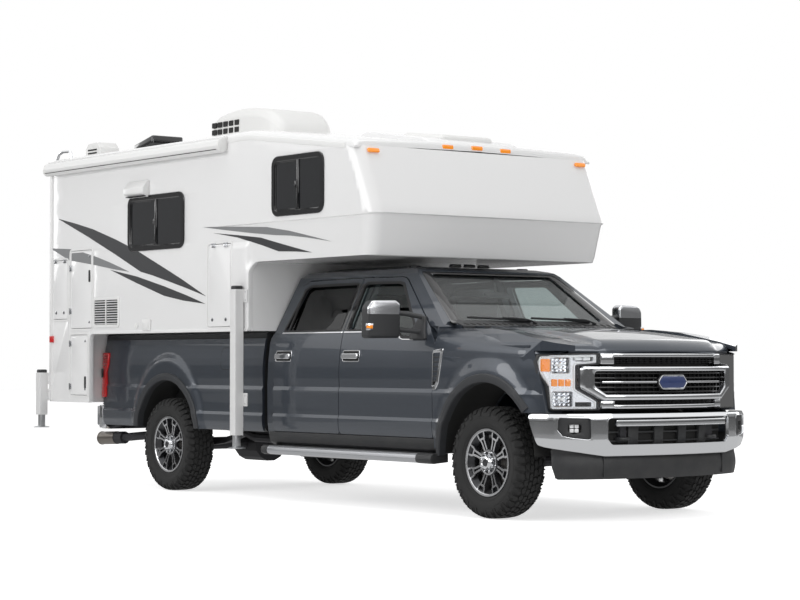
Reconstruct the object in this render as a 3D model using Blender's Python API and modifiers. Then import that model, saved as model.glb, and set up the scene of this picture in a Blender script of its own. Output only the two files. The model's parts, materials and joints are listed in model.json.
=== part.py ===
"""Crew cab pickup truck with a slide-in camper on its bed, as separate solid pieces.

Metres, +X forward, +Y to the left, +Z up. Stations along X are counted from the
front axle. The vehicle empty carries every piece and shifts it, so that the
origin lies on the ground under the middle of the whole outline.
"""
import math

import bmesh
import bpy
from mathutils import Matrix, Vector

# Chassis and wheels
WHEELBASE = 4.470
FRONT_OVERHANG = 0.985
TRACK = 1.730
TYRE_RADIUS = 0.412
TYRE_WIDTH = 0.270
RIM_RADIUS = 0.250
RIM_WIDTH = 0.216
HUB_RADIUS = 0.068
HUB_FACE = 0.030
WHEEL_STEPS = 28
KINGPIN_Y = TRACK / 2 - 0.165
KINGPIN_RADIUS = 0.035
FRONT_ARCH_RADIUS = 0.535
REAR_ARCH_RADIUS = 0.500
FRONT_ARCH_X = 0.040
REAR_ARCH_X = 0.040
ARCH_Z = 0.475
RAIL_Y = 0.430
RAIL_WIDTH = 0.070
RAIL_LOW = 0.570
RAIL_HIGH = 0.745

# Cab
BODY_HALF = 1.000
CAB_FRONT = -0.460
CAB_BACK = -2.840
DOOR_FRONT = -0.603
DOOR_SPLIT = -1.811
DOOR_BACK = -2.745
SILL_Z = 0.500
DOOR_LOW = 0.575
FLOOR_Z = 0.840
BELT_Z = 1.385
ROOF_Z = 1.925
DOOR_GAP = 0.006
DOOR_THICKNESS = 0.115
SILL_IN = BODY_HALF - DOOR_THICKNESS

NOSE_REACH = 0.055
HINGE_X = {"front": DOOR_FRONT - NOSE_REACH, "rear": DOOR_SPLIT - DOOR_GAP / 2 - NOSE_REACH}
HINGE_Y = 0.975
HINGE_Z = (0.900, 1.130)
MOVING_GAP = 0.0052
NOSE_ROUND = ((0.545, 0.0617), (0.950, 0.0617), (1.150, 0.0583), (1.300, 0.0550), (1.420, 0.0550))
PILLAR_BACK = -1.845
PILLAR_FRONT = -1.777

# Front of the truck
HOOD_BACK_Z = 1.425
HOOD_FRONT_Z = 1.235
HOOD_HALF = 0.800
HOOD_FRONT_X = 0.860
HOOD_BACK_X = -0.500
HOOD_THICKNESS = 0.035
HOOD_PIVOT = (-0.506, 0.0, 1.416)
GRILLE_X = 0.900
GRILLE_HALF = 0.660
BUMPER_HIGH = 0.777
BUMPER_LOW = 0.478
LAMP_EDGE = [(0.640, 0.7835), (0.590, 1.060), (0.545, 1.228)]

# Cargo bed
BED_FRONT = -2.905
BED_BACK = -5.600
BED_HALF = 0.985
BED_INSIDE = 0.860
BED_FLOOR_Z = 0.850
RAIL_TOP_Z = 1.385
REAR_BUMPER_BACK = -5.790

# Camper
CAMPER_HALF = 1.220
CAMPER_BACK = -6.230
CAMPER_FRONT = -2.800
CAMPER_WALL = 0.042
WING_Z = 1.405
TUB_HALF = 0.600
TUB_Z = 0.872
REAR_BOX_Z = 0.770
REAR_BOX_X = -5.470
OVERCAB_Z = 1.975
ROOF_EDGE_Z = 3.050
BELT_LINE_Z = 2.300
NOSE_TOP_X = -1.300
NOSE_TOP_Z = 2.860
NOSE_BELT_X = -1.060
NOSE_LOW_X = -1.150
NOSE_CORNER = 0.110
FRONT_JACK_X = -2.895
REAR_JACK_X = -6.290
JACK_TUBE = 0.085
JACK_OUT = 0.052
FOOT_RADIUS = 0.075
SEAT_GAP = 0.0004
PIN_RADIUS = 0.007
PIN_OUT = PIN_RADIUS + SEAT_GAP
PIN_SIDE = 0.006
LADDER_Y = (-1.090, -0.780)
LADDER_STANDOFF = 0.085
LADDER_TUBE = 0.0125
WALL_REACH = 0.150
ROOF_CROWN = 0.048
ROOF_SECTION = ((0.0, ROOF_CROWN), (CAMPER_HALF / 2, ROOF_CROWN - 0.006),
                (CAMPER_HALF - 0.120, ROOF_CROWN - 0.020), (CAMPER_HALF, ROOF_CROWN - 0.036))

REARMOST = REAR_JACK_X - FOOT_RADIUS
FRONT_AXLE_X = -(REARMOST + FRONT_OVERHANG) / 2.0

SIDES = {"right": -1.0, "left": 1.0}

FINISHES = {
    "body_paint": ((0.055, 0.085, 0.125), 0.28, 0.6),
    "camper_white": ((0.80, 0.80, 0.80), 0.32, 0.0),
    "chrome": ((0.80, 0.81, 0.83), 0.10, 1.0),
    "black_plastic": ((0.022, 0.022, 0.024), 0.55, 0.0),
    "tyre_rubber": ((0.018, 0.018, 0.018), 0.80, 0.0),
    "wheel_alloy": ((0.62, 0.63, 0.65), 0.25, 1.0),
    "frame_steel": ((0.035, 0.035, 0.038), 0.60, 0.4),
    "axle_iron": ((0.060, 0.060, 0.062), 0.65, 0.6),
    "glass": ((0.050, 0.060, 0.065), 0.05, 0.0),
    "lamp_clear": ((0.75, 0.77, 0.80), 0.08, 0.0),
    "lamp_red": ((0.55, 0.010, 0.012), 0.15, 0.0),
    "brushed_metal": ((0.55, 0.56, 0.58), 0.35, 1.0),
    "cabin_trim": ((0.16, 0.155, 0.15), 0.70, 0.0),
    "window_frame": ((0.020, 0.021, 0.023), 0.25, 0.0),
}


def clear_scene():
    """Remove what the new file starts with."""
    for thing in list(bpy.data.objects):
        bpy.data.objects.remove(thing, do_unlink=True)


def new_group(name):
    """Add a collection to the scene."""
    group = bpy.data.collections.new(name)
    bpy.context.scene.collection.children.link(group)
    return group


def finish(name):
    """Return the material of that name, making it the first time."""
    known = bpy.data.materials.get(name)
    if known:
        return known
    colour, roughness, metallic = FINISHES[name]
    made = bpy.data.materials.new(name)
    made.use_nodes = True
    shader = made.node_tree.nodes["Principled BSDF"]
    shader.inputs["Base Color"].default_value = (*colour, 1.0)
    shader.inputs["Roughness"].default_value = roughness
    shader.inputs["Metallic"].default_value = metallic
    return made


def prism(outline, low, high, axis):
    """Push a flat outline from low to high along an axis."""
    spots = {
        "X": lambda u, v: (low, u, v),
        "Y": lambda u, v: (u, low, v),
        "Z": lambda u, v: (u, v, low),
    }
    shift = Vector((0.0, 0.0, 0.0))
    shift["XYZ".index(axis)] = high - low
    bm = bmesh.new()
    face = bm.faces.new([bm.verts.new(spots[axis](u, v)) for u, v in outline])
    grown = bmesh.ops.extrude_face_region(bm, geom=[face])
    moved = [part for part in grown["geom"] if isinstance(part, bmesh.types.BMVert)]
    bmesh.ops.translate(bm, vec=shift, verts=moved)
    bmesh.ops.recalc_face_normals(bm, faces=bm.faces)
    return bm


def block(low, high):
    """Make a box between two corners."""
    size = [high[i] - low[i] for i in range(3)]
    middle = [(high[i] + low[i]) / 2.0 for i in range(3)]
    bm = bmesh.new()
    bmesh.ops.create_cube(bm, size=1.0)
    bmesh.ops.scale(bm, vec=size, verts=bm.verts)
    bmesh.ops.translate(bm, vec=middle, verts=bm.verts)
    return bm


def rod(start, end, radius, sides=12, end_radius=None):
    """Make a round bar or cone between two points."""
    start, end = Vector(start), Vector(end)
    way = end - start
    turn = Vector((0.0, 0.0, 1.0)).rotation_difference(way.normalized()).to_matrix().to_4x4()
    bm = bmesh.new()
    bmesh.ops.create_cone(
        bm, cap_ends=True, segments=sides, radius1=radius,
        radius2=radius if end_radius is None else end_radius, depth=way.length)
    bmesh.ops.transform(bm, matrix=Matrix.Translation((start + end) / 2.0) @ turn, verts=bm.verts)
    return bm


def loft(rings):
    """Skin closed rings that have the same number of points, with flat ends."""
    bm = bmesh.new()
    loops = [[bm.verts.new(spot) for spot in ring] for ring in rings]
    count = len(rings[0])
    for near, far in zip(loops, loops[1:]):
        for i in range(count):
            j = (i + 1) % count
            bm.faces.new((near[i], near[j], far[j], far[i]))
    bm.faces.new(loops[0])
    bm.faces.new(loops[-1])
    bmesh.ops.recalc_face_normals(bm, faces=bm.faces)
    return bm


def rounded(outline, radius, steps=3):
    """Round the corners of an outline with arcs."""
    result = []
    count = len(outline)
    for i in range(count):
        corner = Vector(outline[i])
        to_last = Vector(outline[i - 1]) - corner
        to_next = Vector(outline[(i + 1) % count]) - corner
        angle = to_last.angle(to_next)
        reach = min(radius / math.tan(angle / 2.0), to_last.length * 0.45, to_next.length * 0.45)
        first = corner + to_last.normalized() * reach
        last = corner + to_next.normalized() * reach
        for k in range(steps + 1):
            t = k / steps
            spot = first * (1 - t) ** 2 + corner * (2 * t * (1 - t)) + last * t ** 2
            result.append((spot.x, spot.y))
    return result


def grown(outline, gap):
    """Move each edge of an outline outwards by a gap."""
    count = len(outline)
    area = sum(outline[i - 1][0] * outline[i][1] - outline[i][0] * outline[i - 1][1] for i in range(count))
    side = 1.0 if area > 0 else -1.0
    result = []
    for i in range(count):
        corner = Vector(outline[i])
        before = (corner - Vector(outline[i - 1])).normalized()
        after = (Vector(outline[(i + 1) % count]) - corner).normalized()
        out_before = Vector((before.y, -before.x)) * side
        out_after = Vector((after.y, -after.x)) * side
        middle = (out_before + out_after).normalized()
        spot = corner + middle * (gap / max(middle.dot(out_before), 0.3))
        result.append((spot.x, spot.y))
    return result


def rectangle(low_u, high_u, low_v, high_v):
    """Corners of an upright rectangle."""
    return [(low_u, low_v), (high_u, low_v), (high_u, high_v), (low_u, high_v)]


def both_halves(half):
    """Complete an outline from the points of its +Y half, bottom to top."""
    return [(u, v) for u, v in half] + [(-u, v) for u, v in reversed(half)]


class Workshop:
    """Puts meshes into the scene and joins or cuts them."""

    def __init__(self):
        self.pieces = new_group("truck_camper")
        self.shapers = new_group("shapers")
        self.vehicle = bpy.data.objects.new("vehicle", None)
        self.vehicle.location = (FRONT_AXLE_X, 0.0, 0.0)
        self.pieces.objects.link(self.vehicle)
        self.count = 0

    def add(self, name, bm, look, origin=(0.0, 0.0, 0.0)):
        """Make a piece whose own origin is at a given place."""
        bmesh.ops.translate(bm, vec=-Vector(origin), verts=bm.verts)
        mesh = bpy.data.meshes.new(name)
        bm.to_mesh(mesh)
        bm.free()
        mesh.materials.append(finish(look))
        thing = bpy.data.objects.new(name, mesh)
        thing.location = origin
        thing.parent = self.vehicle
        self.pieces.objects.link(thing)
        return thing

    def shaper(self, bm):
        """Make a hidden solid that cuts or completes a piece."""
        self.count += 1
        mesh = bpy.data.meshes.new("shaper")
        bm.to_mesh(mesh)
        bm.free()
        thing = bpy.data.objects.new(f"shaper_{self.count:03d}", mesh)
        thing.parent = self.vehicle
        thing.hide_render = True
        thing.display_type = "WIRE"
        self.shapers.objects.link(thing)
        return thing

    def combine(self, piece, tool, operation):
        """Add one boolean step with a mesh or a hidden solid."""
        if isinstance(tool, bmesh.types.BMesh):
            tool = self.shaper(tool)
        step = piece.modifiers.new(operation.lower(), "BOOLEAN")
        step.operation = operation
        step.object = tool
        step.solver = "EXACT"

    def cut(self, piece, *tools):
        """Take solids away from a piece."""
        for tool in tools:
            self.combine(piece, tool, "DIFFERENCE")

    def fuse(self, piece, *tools):
        """Join solids to a piece."""
        for tool in tools:
            self.combine(piece, tool, "UNION")

    def keep(self, piece, *tools):
        """Keep only what a piece shares with solids."""
        for tool in tools:
            self.combine(piece, tool, "INTERSECT")

    def settled(self, thing):
        """Return the mesh that a thing's modifiers give."""
        bpy.context.view_layer.update()
        graph = bpy.context.evaluated_depsgraph_get()
        return bpy.data.meshes.new_from_object(thing.evaluated_get(graph))

    def settle(self, thing):
        """Put the result of a thing's modifiers into its own mesh."""
        mesh = self.settled(thing)
        thing.modifiers.clear()
        thing.data = mesh
        return thing

    def copy(self, name, mesh, look, origin, turn):
        """Place another copy of a finished mesh."""
        thing = bpy.data.objects.new(name, mesh)
        thing.location = origin
        thing.rotation_euler = turn
        thing.parent = self.vehicle
        self.pieces.objects.link(thing)
        if not mesh.materials:
            mesh.materials.append(finish(look))
        return thing

    def tube(self, points, radius, sides=2):
        """Bend a round tube through points and return it as a mesh."""
        curve = bpy.data.curves.new("tube", "CURVE")
        curve.dimensions = "3D"
        curve.bevel_depth = radius
        curve.bevel_resolution = sides
        curve.use_fill_caps = True
        line = curve.splines.new("POLY")
        line.points.add(len(points) - 1)
        for spot, place in zip(line.points, points):
            spot.co = (*place, 1.0)
        holder = bpy.data.objects.new("tube", curve)
        self.shapers.objects.link(holder)
        mesh = self.settled(holder)
        bpy.data.objects.remove(holder, do_unlink=True)
        bm = bmesh.new()
        bm.from_mesh(mesh)
        bmesh.ops.remove_doubles(bm, verts=bm.verts, dist=0.00001)
        bmesh.ops.recalc_face_normals(bm, faces=bm.faces)
        return bm

    def turned(self, profile, steps):
        """Turn a closed profile of (radius, height) points about Z."""
        bm = bmesh.new()
        spots = [bm.verts.new((radius, 0.0, height)) for radius, height in profile]
        for i, spot in enumerate(spots):
            bm.edges.new((spot, spots[(i + 1) % len(spots)]))
        thing = self.shaper(bm)
        spin = thing.modifiers.new("turn", "SCREW")
        spin.steps = steps
        spin.render_steps = steps
        spin.use_merge_vertices = True
        spin.merge_threshold = 0.0001
        spin.use_normal_calculate = True
        self.settle(thing)
        bm = bmesh.new()
        bm.from_mesh(thing.data)
        bmesh.ops.recalc_face_normals(bm, faces=bm.faces)
        bpy.data.objects.remove(thing, do_unlink=True)
        return bm


def flipped(outline, side):
    """Mirror an outline's first coordinate for the left or right side."""
    return [(u * side, v) for u, v in outline]


def slab(inner, outer, side):
    """Order two distances from the middle as low and high along Y."""
    return (inner, outer) if side > 0 else (-outer, -inner)


def side_prism(outline, inner, outer, side):
    """Push an outline in XZ between two distances from the middle."""
    low, high = slab(inner, outer, side)
    return prism(outline, low, high, "Y")


def side_block(x, inner, outer, z, side):
    """Make a box between two distances from the middle."""
    low, high = slab(inner, outer, side)
    return block((x[0], low, z[0]), (x[1], high, z[1]))


# The cab's two outlines: seen from the side, and across.

def cab_side():
    """Outer outline of the cab in XZ."""
    return [
        (CAB_FRONT, 0.640), (CAB_FRONT, 1.418), (-0.560, 1.432), (-1.165, 1.872), (-1.300, 1.900),
        (-1.500, 1.915), (-1.950, ROOF_Z), (-2.450, 1.918), (-2.660, 1.890), (-2.740, 1.845),
        (-2.800, BELT_Z), (CAB_BACK, 1.340), (CAB_BACK, SILL_Z), (-0.640, SILL_Z)]


def cab_section():
    """Outer outline of the cab in YZ."""
    return both_halves([
        (0.740, 0.780), (0.740, SILL_Z), (0.930, SILL_Z), (0.985, 0.545), (BODY_HALF, 0.640),
        (BODY_HALF + 0.003, 0.950), (0.994, 1.150), (0.975, 1.300), (0.955, BELT_Z), (0.735, 1.845),
        (0.690, 1.885), (0.550, 1.915), (0.250, 1.932)])


def cab_inside():
    """Inner outline of the cab in XZ."""
    return [
        (-0.500, FLOOR_Z), (-0.500, 1.340), (-0.640, 1.395), (-1.215, 1.825), (-1.340, 1.855),
        (-1.950, 1.875), (-2.450, 1.868), (-2.640, 1.835), (-2.735, 1.380), (-2.765, 1.300),
        (-2.765, FLOOR_Z)]


def cab_inside_section():
    """Inner outline of the cab in YZ."""
    return both_halves([
        (0.870, FLOOR_Z), (BODY_HALF - DOOR_THICKNESS, 0.950), (0.880, 1.150), (0.868, 1.330),
        (0.862, BELT_Z), (0.672, 1.800), (0.620, 1.850), (0.400, 1.878)])


def skin_distance(z):
    """Distance of the cab's side surface from the middle at a height."""
    section = cab_section()
    for (low_y, low_z), (high_y, high_z) in zip(section[3:], section[4:]):
        if low_z <= z <= high_z:
            return low_y + (high_y - low_y) * (z - low_z) / (high_z - low_z)
    return BODY_HALF


def door_solid(outline, place, side):
    """Door outline pushed inwards, its rear face leaning along the path it takes when it opens."""
    pivot = HINGE_X[place]
    spots = []
    for i, (x, z) in enumerate(outline):
        x_next, z_next = outline[(i + 1) % len(outline)]
        steps = max(1, round(abs(z_next - z) / 0.095)) if max(x, x_next) < pivot - 0.650 else 1
        spots += [(x + (x_next - x) * k / steps, z + (z_next - z) * k / steps) for k in range(steps)]
    outer = [(x, side * 1.100, z) for x, z in spots]
    skin = [(x, side * skin_distance(z), z) for x, z in spots]
    inner = []
    for x, z in spots:
        surface = skin_distance(z)
        lean = max(0.0, HINGE_Y - surface + 0.050) / (pivot - x) + 0.010 if x < pivot - 0.650 else 0.0
        inner.append((x + lean * (surface - 0.600), side * 0.600, z))
    return loft([outer, skin, inner])


def nose_room(place, side, gap):
    """Stack of short cones about a door's hinge line that its front edge turns in."""
    x = HINGE_X[place]
    rings = []
    for z, radius in NOSE_ROUND:
        rings.append([(x + (radius + gap) * math.cos(k * math.tau / 24), side * HINGE_Y
                       + (radius + gap) * math.sin(k * math.tau / 24), z) for k in range(24)])
    return loft(rings)


def front_door_outline():
    """Outline of a front door in XZ."""
    return [
        (DOOR_FRONT, DOOR_LOW), (DOOR_FRONT, 1.300), (-0.690, 1.400), (-1.230, 1.800),
        (-1.290, 1.815), (DOOR_SPLIT + DOOR_GAP / 2, 1.822), (DOOR_SPLIT + DOOR_GAP / 2, DOOR_LOW)]


def rear_door_outline():
    """Outline of a rear door in XZ."""
    return [
        (DOOR_SPLIT - DOOR_GAP / 2, DOOR_LOW), (DOOR_SPLIT - DOOR_GAP / 2, 1.822), (-2.560, 1.815),
        (-2.640, 1.780), (-2.715, BELT_Z), (DOOR_BACK, 1.300), (DOOR_BACK, DOOR_LOW)]


def front_window_outline():
    """Opening of a front door's window in XZ."""
    return [(-0.830, 1.345), (-1.255, 1.752), (-1.310, 1.765), (-1.760, 1.770), (-1.760, 1.405),
            (-1.150, 1.405), (-1.050, 1.350)]


def rear_window_outline():
    """Opening of a rear door's window in XZ."""
    return [(-1.862, 1.405), (-1.862, 1.770), (-2.520, 1.765), (-2.570, 1.740), (-2.650, 1.405)]


def build_cab(shop):
    """Cab shell, its doors, glass, seats and steering wheel."""
    whole = shop.shaper(prism(cab_side(), -1.1, 1.1, "Y"))
    shop.keep(whole, prism(cab_section(), CAB_BACK - 0.2, CAB_FRONT + 0.2, "X"))
    shop.settle(whole)
    hollow = shop.shaper(prism(cab_inside(), -1.1, 1.1, "Y"))
    shop.keep(hollow, prism(cab_inside_section(), CAB_BACK - 0.2, CAB_FRONT + 0.2, "X"))
    shop.settle(hollow)

    shell_mesh = bmesh.new()
    shell_mesh.from_mesh(whole.data)
    shell = shop.add("cab_shell", shell_mesh, "body_paint")
    shop.cut(shell, hollow)
    for side in SIDES.values():
        for outline in (front_door_outline(), rear_door_outline()):
            hole = shop.shaper(side_prism(grown(outline, DOOR_GAP), 0.60, 1.10, side))
            shop.cut(hole, side_block((CAB_BACK, CAB_FRONT), 0.50, SILL_IN - DOOR_GAP, (0.400, FLOOR_Z + 0.012), side))
            shop.cut(shell, hole)
        shop.cut(shell, nose_room("front", side, MOVING_GAP))
        skin = shop.shaper(prism(grown(nose_section(), 0.060), -0.5990, -0.400, "X"))
        shop.cut(skin, prism(grown(nose_section(), -0.0315), -0.700, -0.300, "X"))
        shop.cut(skin, side_block((-0.700, -0.300), -1.20, HOOD_HALF, (0.200, 1.600), side))
        shop.cut(shell, skin)
        shop.cut(shell, side_block((-0.599, -0.400), 0.967, 1.200, (0.200, 1.600), side))
        shop.cut(shell, rod((FRONT_ARCH_X, side * 0.540, ARCH_Z), (FRONT_ARCH_X, side * 1.100, ARCH_Z),
                            FRONT_ARCH_RADIUS + 0.0185, 40))
    shop.cut(shell, block((-0.512, -HOOD_HALF - 0.010, 1.372), (-0.400, HOOD_HALF + 0.010, 1.500)))
    screen = [(-0.745, 1.462), (0.745, 1.462), (0.615, 1.838), (-0.615, 1.838)]
    shop.cut(shell, prism(rounded(screen, 0.05), -1.30, -0.30, "X"))
    backlight = [(-0.62, 1.43), (0.62, 1.43), (0.56, 1.80), (-0.56, 1.80)]
    shop.cut(shell, prism(rounded(backlight, 0.05), -3.0, -2.5, "X"))

    slope = (Vector((-1.165, 1.872)) - Vector((-0.560, 1.432))).normalized()
    inward = Vector((-slope.y, slope.x)) * -1.0
    if inward.y > 0:
        inward = -inward
    low = Vector((-0.560, 1.432)) + inward * 0.010
    high = Vector((-1.165, 1.872)) + inward * 0.010
    pane = [tuple(low), tuple(high), tuple(high + inward * 0.006), tuple(low + inward * 0.006)]
    glass = shop.add("windshield", prism(pane, -0.9, 0.9, "Y"), "glass")
    shop.keep(glass, prism(rounded(grown(screen, -SEAT_GAP), 0.05), -1.30, -0.30, "X"))

    for side in SIDES.values():
        pillar = [(0.790, 0.800), (0.850, 0.800), (0.862, 0.950), (0.857, 1.150), (0.845, 1.330), (0.839, 1.385),
                  (0.646, 1.800), (0.600, 1.866), (0.560, 1.866), (0.600, 1.790), (0.780, 1.380)]
        shop.fuse(shell, prism(flipped(pillar, side), PILLAR_BACK, PILLAR_FRONT, "X"))
    outlines = {"front": front_door_outline(), "rear": rear_door_outline()}
    windows = {"front": front_window_outline(), "rear": rear_window_outline()}
    for place in ("front", "rear"):
        for word, side in SIDES.items():
            pivot = (HINGE_X[place], side * HINGE_Y, 0.0)
            door = shop.add(f"{place}_door_{word}", door_solid(outlines[place], place, side), "body_paint", pivot)
            shop.keep(door, whole)
            trim = shop.shaper(side_block((pivot[0], pivot[0] + 0.100), 0.60, 1.10, (0.500, BELT_Z - 0.020), side))
            shop.cut(trim, nose_room(place, side, 0.0))
            shop.cut(door, trim)
            if place == "front":
                shop.cut(door, nose_room("rear", side, MOVING_GAP))
            shop.cut(door, side_block((CAB_BACK, CAB_FRONT), 0.50, SILL_IN, (0.400, FLOOR_Z + 0.020), side))
            shop.cut(door, hollow, side_prism(rounded(windows[place], 0.03), 0.60, 1.10, side))
            x = HINGE_X[place]
            root = (x - 0.005, x + 0.070) if place == "front" else (x - 0.005, x + 0.045)
            for z in HINGE_Z:
                shop.cut(door, side_block((x - 0.028, x + 0.060), 0.800, HINGE_Y + 0.015, (z - 0.030, z + 0.030), side))
                shop.fuse(door, rod((x, side * HINGE_Y, z - 0.040), (x, side * HINGE_Y, z + 0.040), 0.008, 8))
                shop.fuse(shell, side_block(root, 0.835, HINGE_Y - 0.066, (z - 0.015, z + 0.015), side))
                shop.fuse(shell, side_block((x - 0.004, x + 0.008), HINGE_Y - 0.070, HINGE_Y - 0.0086,
                                            (z - 0.014, z + 0.014), side))
            band = [(0.960, 1.3327), (0.7405, 1.7923), (0.7345, 1.7895), (0.954, 1.3299)]
            pane = shop.add(f"{place}_door_glass_{word}",
                            side_prism(rounded(grown(windows[place], -SEAT_GAP), 0.03), 0.60, 1.10, side),
                            "glass", pivot)
            shop.keep(pane, prism(flipped(band, side), CAB_BACK, CAB_FRONT, "X"))

    build_cabin(shop)


def build_cabin(shop):
    """Floor, seats, console and dashboard as one piece, and the steering wheel."""
    base = FLOOR_Z + SEAT_GAP
    inside = shop.add("cab_interior", block((-2.74, -0.84, base), (-0.62, 0.84, base + 0.025)), "cabin_trim")
    dash = [(-0.62, 1.00), (-0.84, 1.00), (-0.93, 1.12), (-0.93, 1.27), (-0.86, 1.335), (-0.70, 1.330),
            (-0.62, 1.300)]
    seat = [(-1.28, 0.90), (-1.26, 1.06), (-1.35, 1.115), (-1.72, 1.085), (-1.84, 1.50), (-1.81, 1.68),
            (-1.90, 1.70), (-1.97, 1.52), (-1.90, 1.05), (-1.86, 0.90)]
    bench = [(x - 0.71 if x < -1.7 else x - 0.78, z) for x, z in seat]
    for side in SIDES.values():
        shop.cut(inside, side_block((PILLAR_BACK - 0.005, PILLAR_FRONT + 0.005), 0.785, 0.90, (0.80, 0.90), side))
    shop.fuse(inside, prism(rounded(dash, 0.03), -0.80, 0.80, "Y"))
    shop.fuse(inside, block((-1.86, -0.14, base), (-0.66, 0.14, 1.12)))
    for middle in (-0.42, 0.42):
        shop.fuse(inside, prism(rounded(seat, 0.04), middle - 0.225, middle + 0.225, "Y"))
        shop.fuse(inside, block((-1.80, middle - 0.20, base), (-1.36, middle + 0.20, 1.00)))
    shop.fuse(inside, prism(rounded(bench, 0.04), -0.66, 0.66, "Y"))
    shop.fuse(inside, block((-2.56, -0.60, base), (-2.16, 0.60, 1.00)))

    centre = Vector((-1.130, 0.420, 1.240))
    axis = Vector((-0.900, 0.0, 0.436)).normalized()
    dash_seat = Vector((-0.9402, 0.420, 1.1481))
    wheel = shop.turned([(0.190 + 0.015 * math.cos(k * math.tau / 6), 0.015 * math.sin(k * math.tau / 6))
                         for k in range(6)], 20)
    turn = Vector((0.0, 0.0, 1.0)).rotation_difference(axis).to_matrix().to_4x4()
    bmesh.ops.transform(wheel, matrix=Matrix.Translation(centre) @ turn, verts=wheel.verts)
    steering = shop.add("steering_wheel", wheel, "black_plastic", tuple(centre))
    shop.fuse(steering, rod(centre - axis * 0.045, centre + axis * 0.012, 0.055))
    for angle in (0.0, 180.0, 270.0):
        out = turn.to_3x3() @ Vector((math.sin(math.radians(angle + 90)), math.cos(math.radians(angle + 90)), 0.0))
        shop.fuse(steering, rod(centre - axis * 0.010, centre + out * 0.188, 0.016, 8))
    shop.fuse(steering, rod(centre - axis * 0.030, dash_seat, 0.022, 12))


def nose_side():
    """Outer outline of the truck's front in XZ."""
    return [
        (-0.590, 0.500), (-0.590, 1.428), (-0.400, HOOD_BACK_Z), (0.200, 1.372), (0.600, 1.305),
        (0.800, 1.262), (0.880, 1.222), (0.930, 1.150), (0.945, 0.950), (0.930, 0.790), (0.600, 0.780),
        (0.560, 0.500)]


def nose_plan():
    """Outer outline of the truck's front in XY."""
    half = [
        (-0.590, 1.000), (-0.200, 1.010), (0.150, 1.015), (0.450, 1.003), (0.600, 0.975), (0.700, 0.915),
        (0.790, 0.800), (0.860, 0.620), (0.905, 0.400), (0.930, 0.180)]
    return [(x, y) for x, y in half] + [(x, -y) for x, y in reversed(half)]


def nose_section():
    """Outer outline of the truck's front in YZ."""
    return both_halves([
        (1.005, 0.480), (1.012, 0.700), (1.015, 1.000), (1.005, 1.180), (0.975, 1.290), (0.925, 1.355),
        (0.850, 1.395), (0.700, 1.415), (0.300, 1.440)])


def build_front(shop):
    """Fenders, hood, grille, lamps and bumper."""
    whole = shop.shaper(prism(nose_side(), -1.1, 1.1, "Y"))
    shop.keep(whole, prism(nose_plan(), 0.3, 1.6, "Z"), prism(nose_section(), -0.8, 1.2, "X"))
    shop.settle(whole)
    open_side = [(x - 0.10 if x < -0.55 else x, z) for x, z in nose_side()]
    open_plan = [(x - 0.10 if x < -0.55 else x, y) for x, y in nose_plan()]
    inner = shop.shaper(prism(grown(open_side, -0.030), -1.1, 1.1, "Y"))
    shop.keep(inner, prism(grown(open_plan, -0.030), 0.2, 1.7, "Z"))
    shop.keep(inner, prism(grown(nose_section(), -0.030), -1.0, 1.4, "X"))
    shop.settle(inner)

    for word, side in SIDES.items():
        skin = bmesh.new()
        skin.from_mesh(whole.data)
        fender = shop.add(f"fender_{word}", skin, "body_paint")
        shop.cut(fender, inner)
        keep_low, keep_high = slab(HOOD_HALF + DOOR_GAP, 1.2, side)
        shop.keep(fender, block((-0.597, keep_low, 0.30), (0.790, keep_high, 1.60)))
        shop.cut(fender, side_prism([(0.472, 0.30), (0.472, 0.7835)] + LAMP_EDGE + [(1.2, 1.228), (1.2, 0.30)],
                                    0.70, 1.2, side))
        liner = rod((FRONT_ARCH_X, side * 0.560, ARCH_Z), (FRONT_ARCH_X, side * 0.990, ARCH_Z),
                    FRONT_ARCH_RADIUS + 0.018, 40)
        lining = shop.shaper(liner)
        shop.cut(lining, block((-2.0, -1.2, -1.0), (2.0, 1.2, 0.62)))
        shop.fuse(fender, lining)
        shop.cut(fender, nose_room("front", side, MOVING_GAP))
        shop.fuse(fender, side_block((-0.42, 0.50), 0.560, 0.585, (0.90, 1.262), side))
        shop.fuse(fender, side_block((-0.42, 0.50), 0.560, 0.990, (1.250, 1.268), side))
        shop.cut(fender, rod((FRONT_ARCH_X, side * 0.40, ARCH_Z), (FRONT_ARCH_X, side * 1.20, ARCH_Z),
                             FRONT_ARCH_RADIUS, 40))

    plate = bmesh.new()
    plate.from_mesh(whole.data)
    hood = shop.add("hood", plate, "body_paint", HOOD_PIVOT)
    under = [(x, z - HOOD_THICKNESS) for x, z in nose_side()]
    shop.keep(hood, block((HOOD_BACK_X, -HOOD_HALF, 1.10), (HOOD_FRONT_X, HOOD_HALF, 1.60)))
    shop.cut(hood, prism([(-0.70, 0.30), (-0.70, under[1][1])] + under[2:6] + [(0.90, 1.205), (0.90, 0.30)],
                         -1.1, 1.1, "Y"))

    for side in SIDES.values():
        ends = [(HOOD_PIVOT[0], side * y, HOOD_PIVOT[2]) for y in (0.600, 0.680)]
        shop.fuse(hood, side_block((HOOD_PIVOT[0], -0.485), 0.605, 0.675, (1.411, 1.419), side), rod(*ends, 0.0055, 12))

    build_lamps(shop)
    build_bumper(shop)


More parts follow.
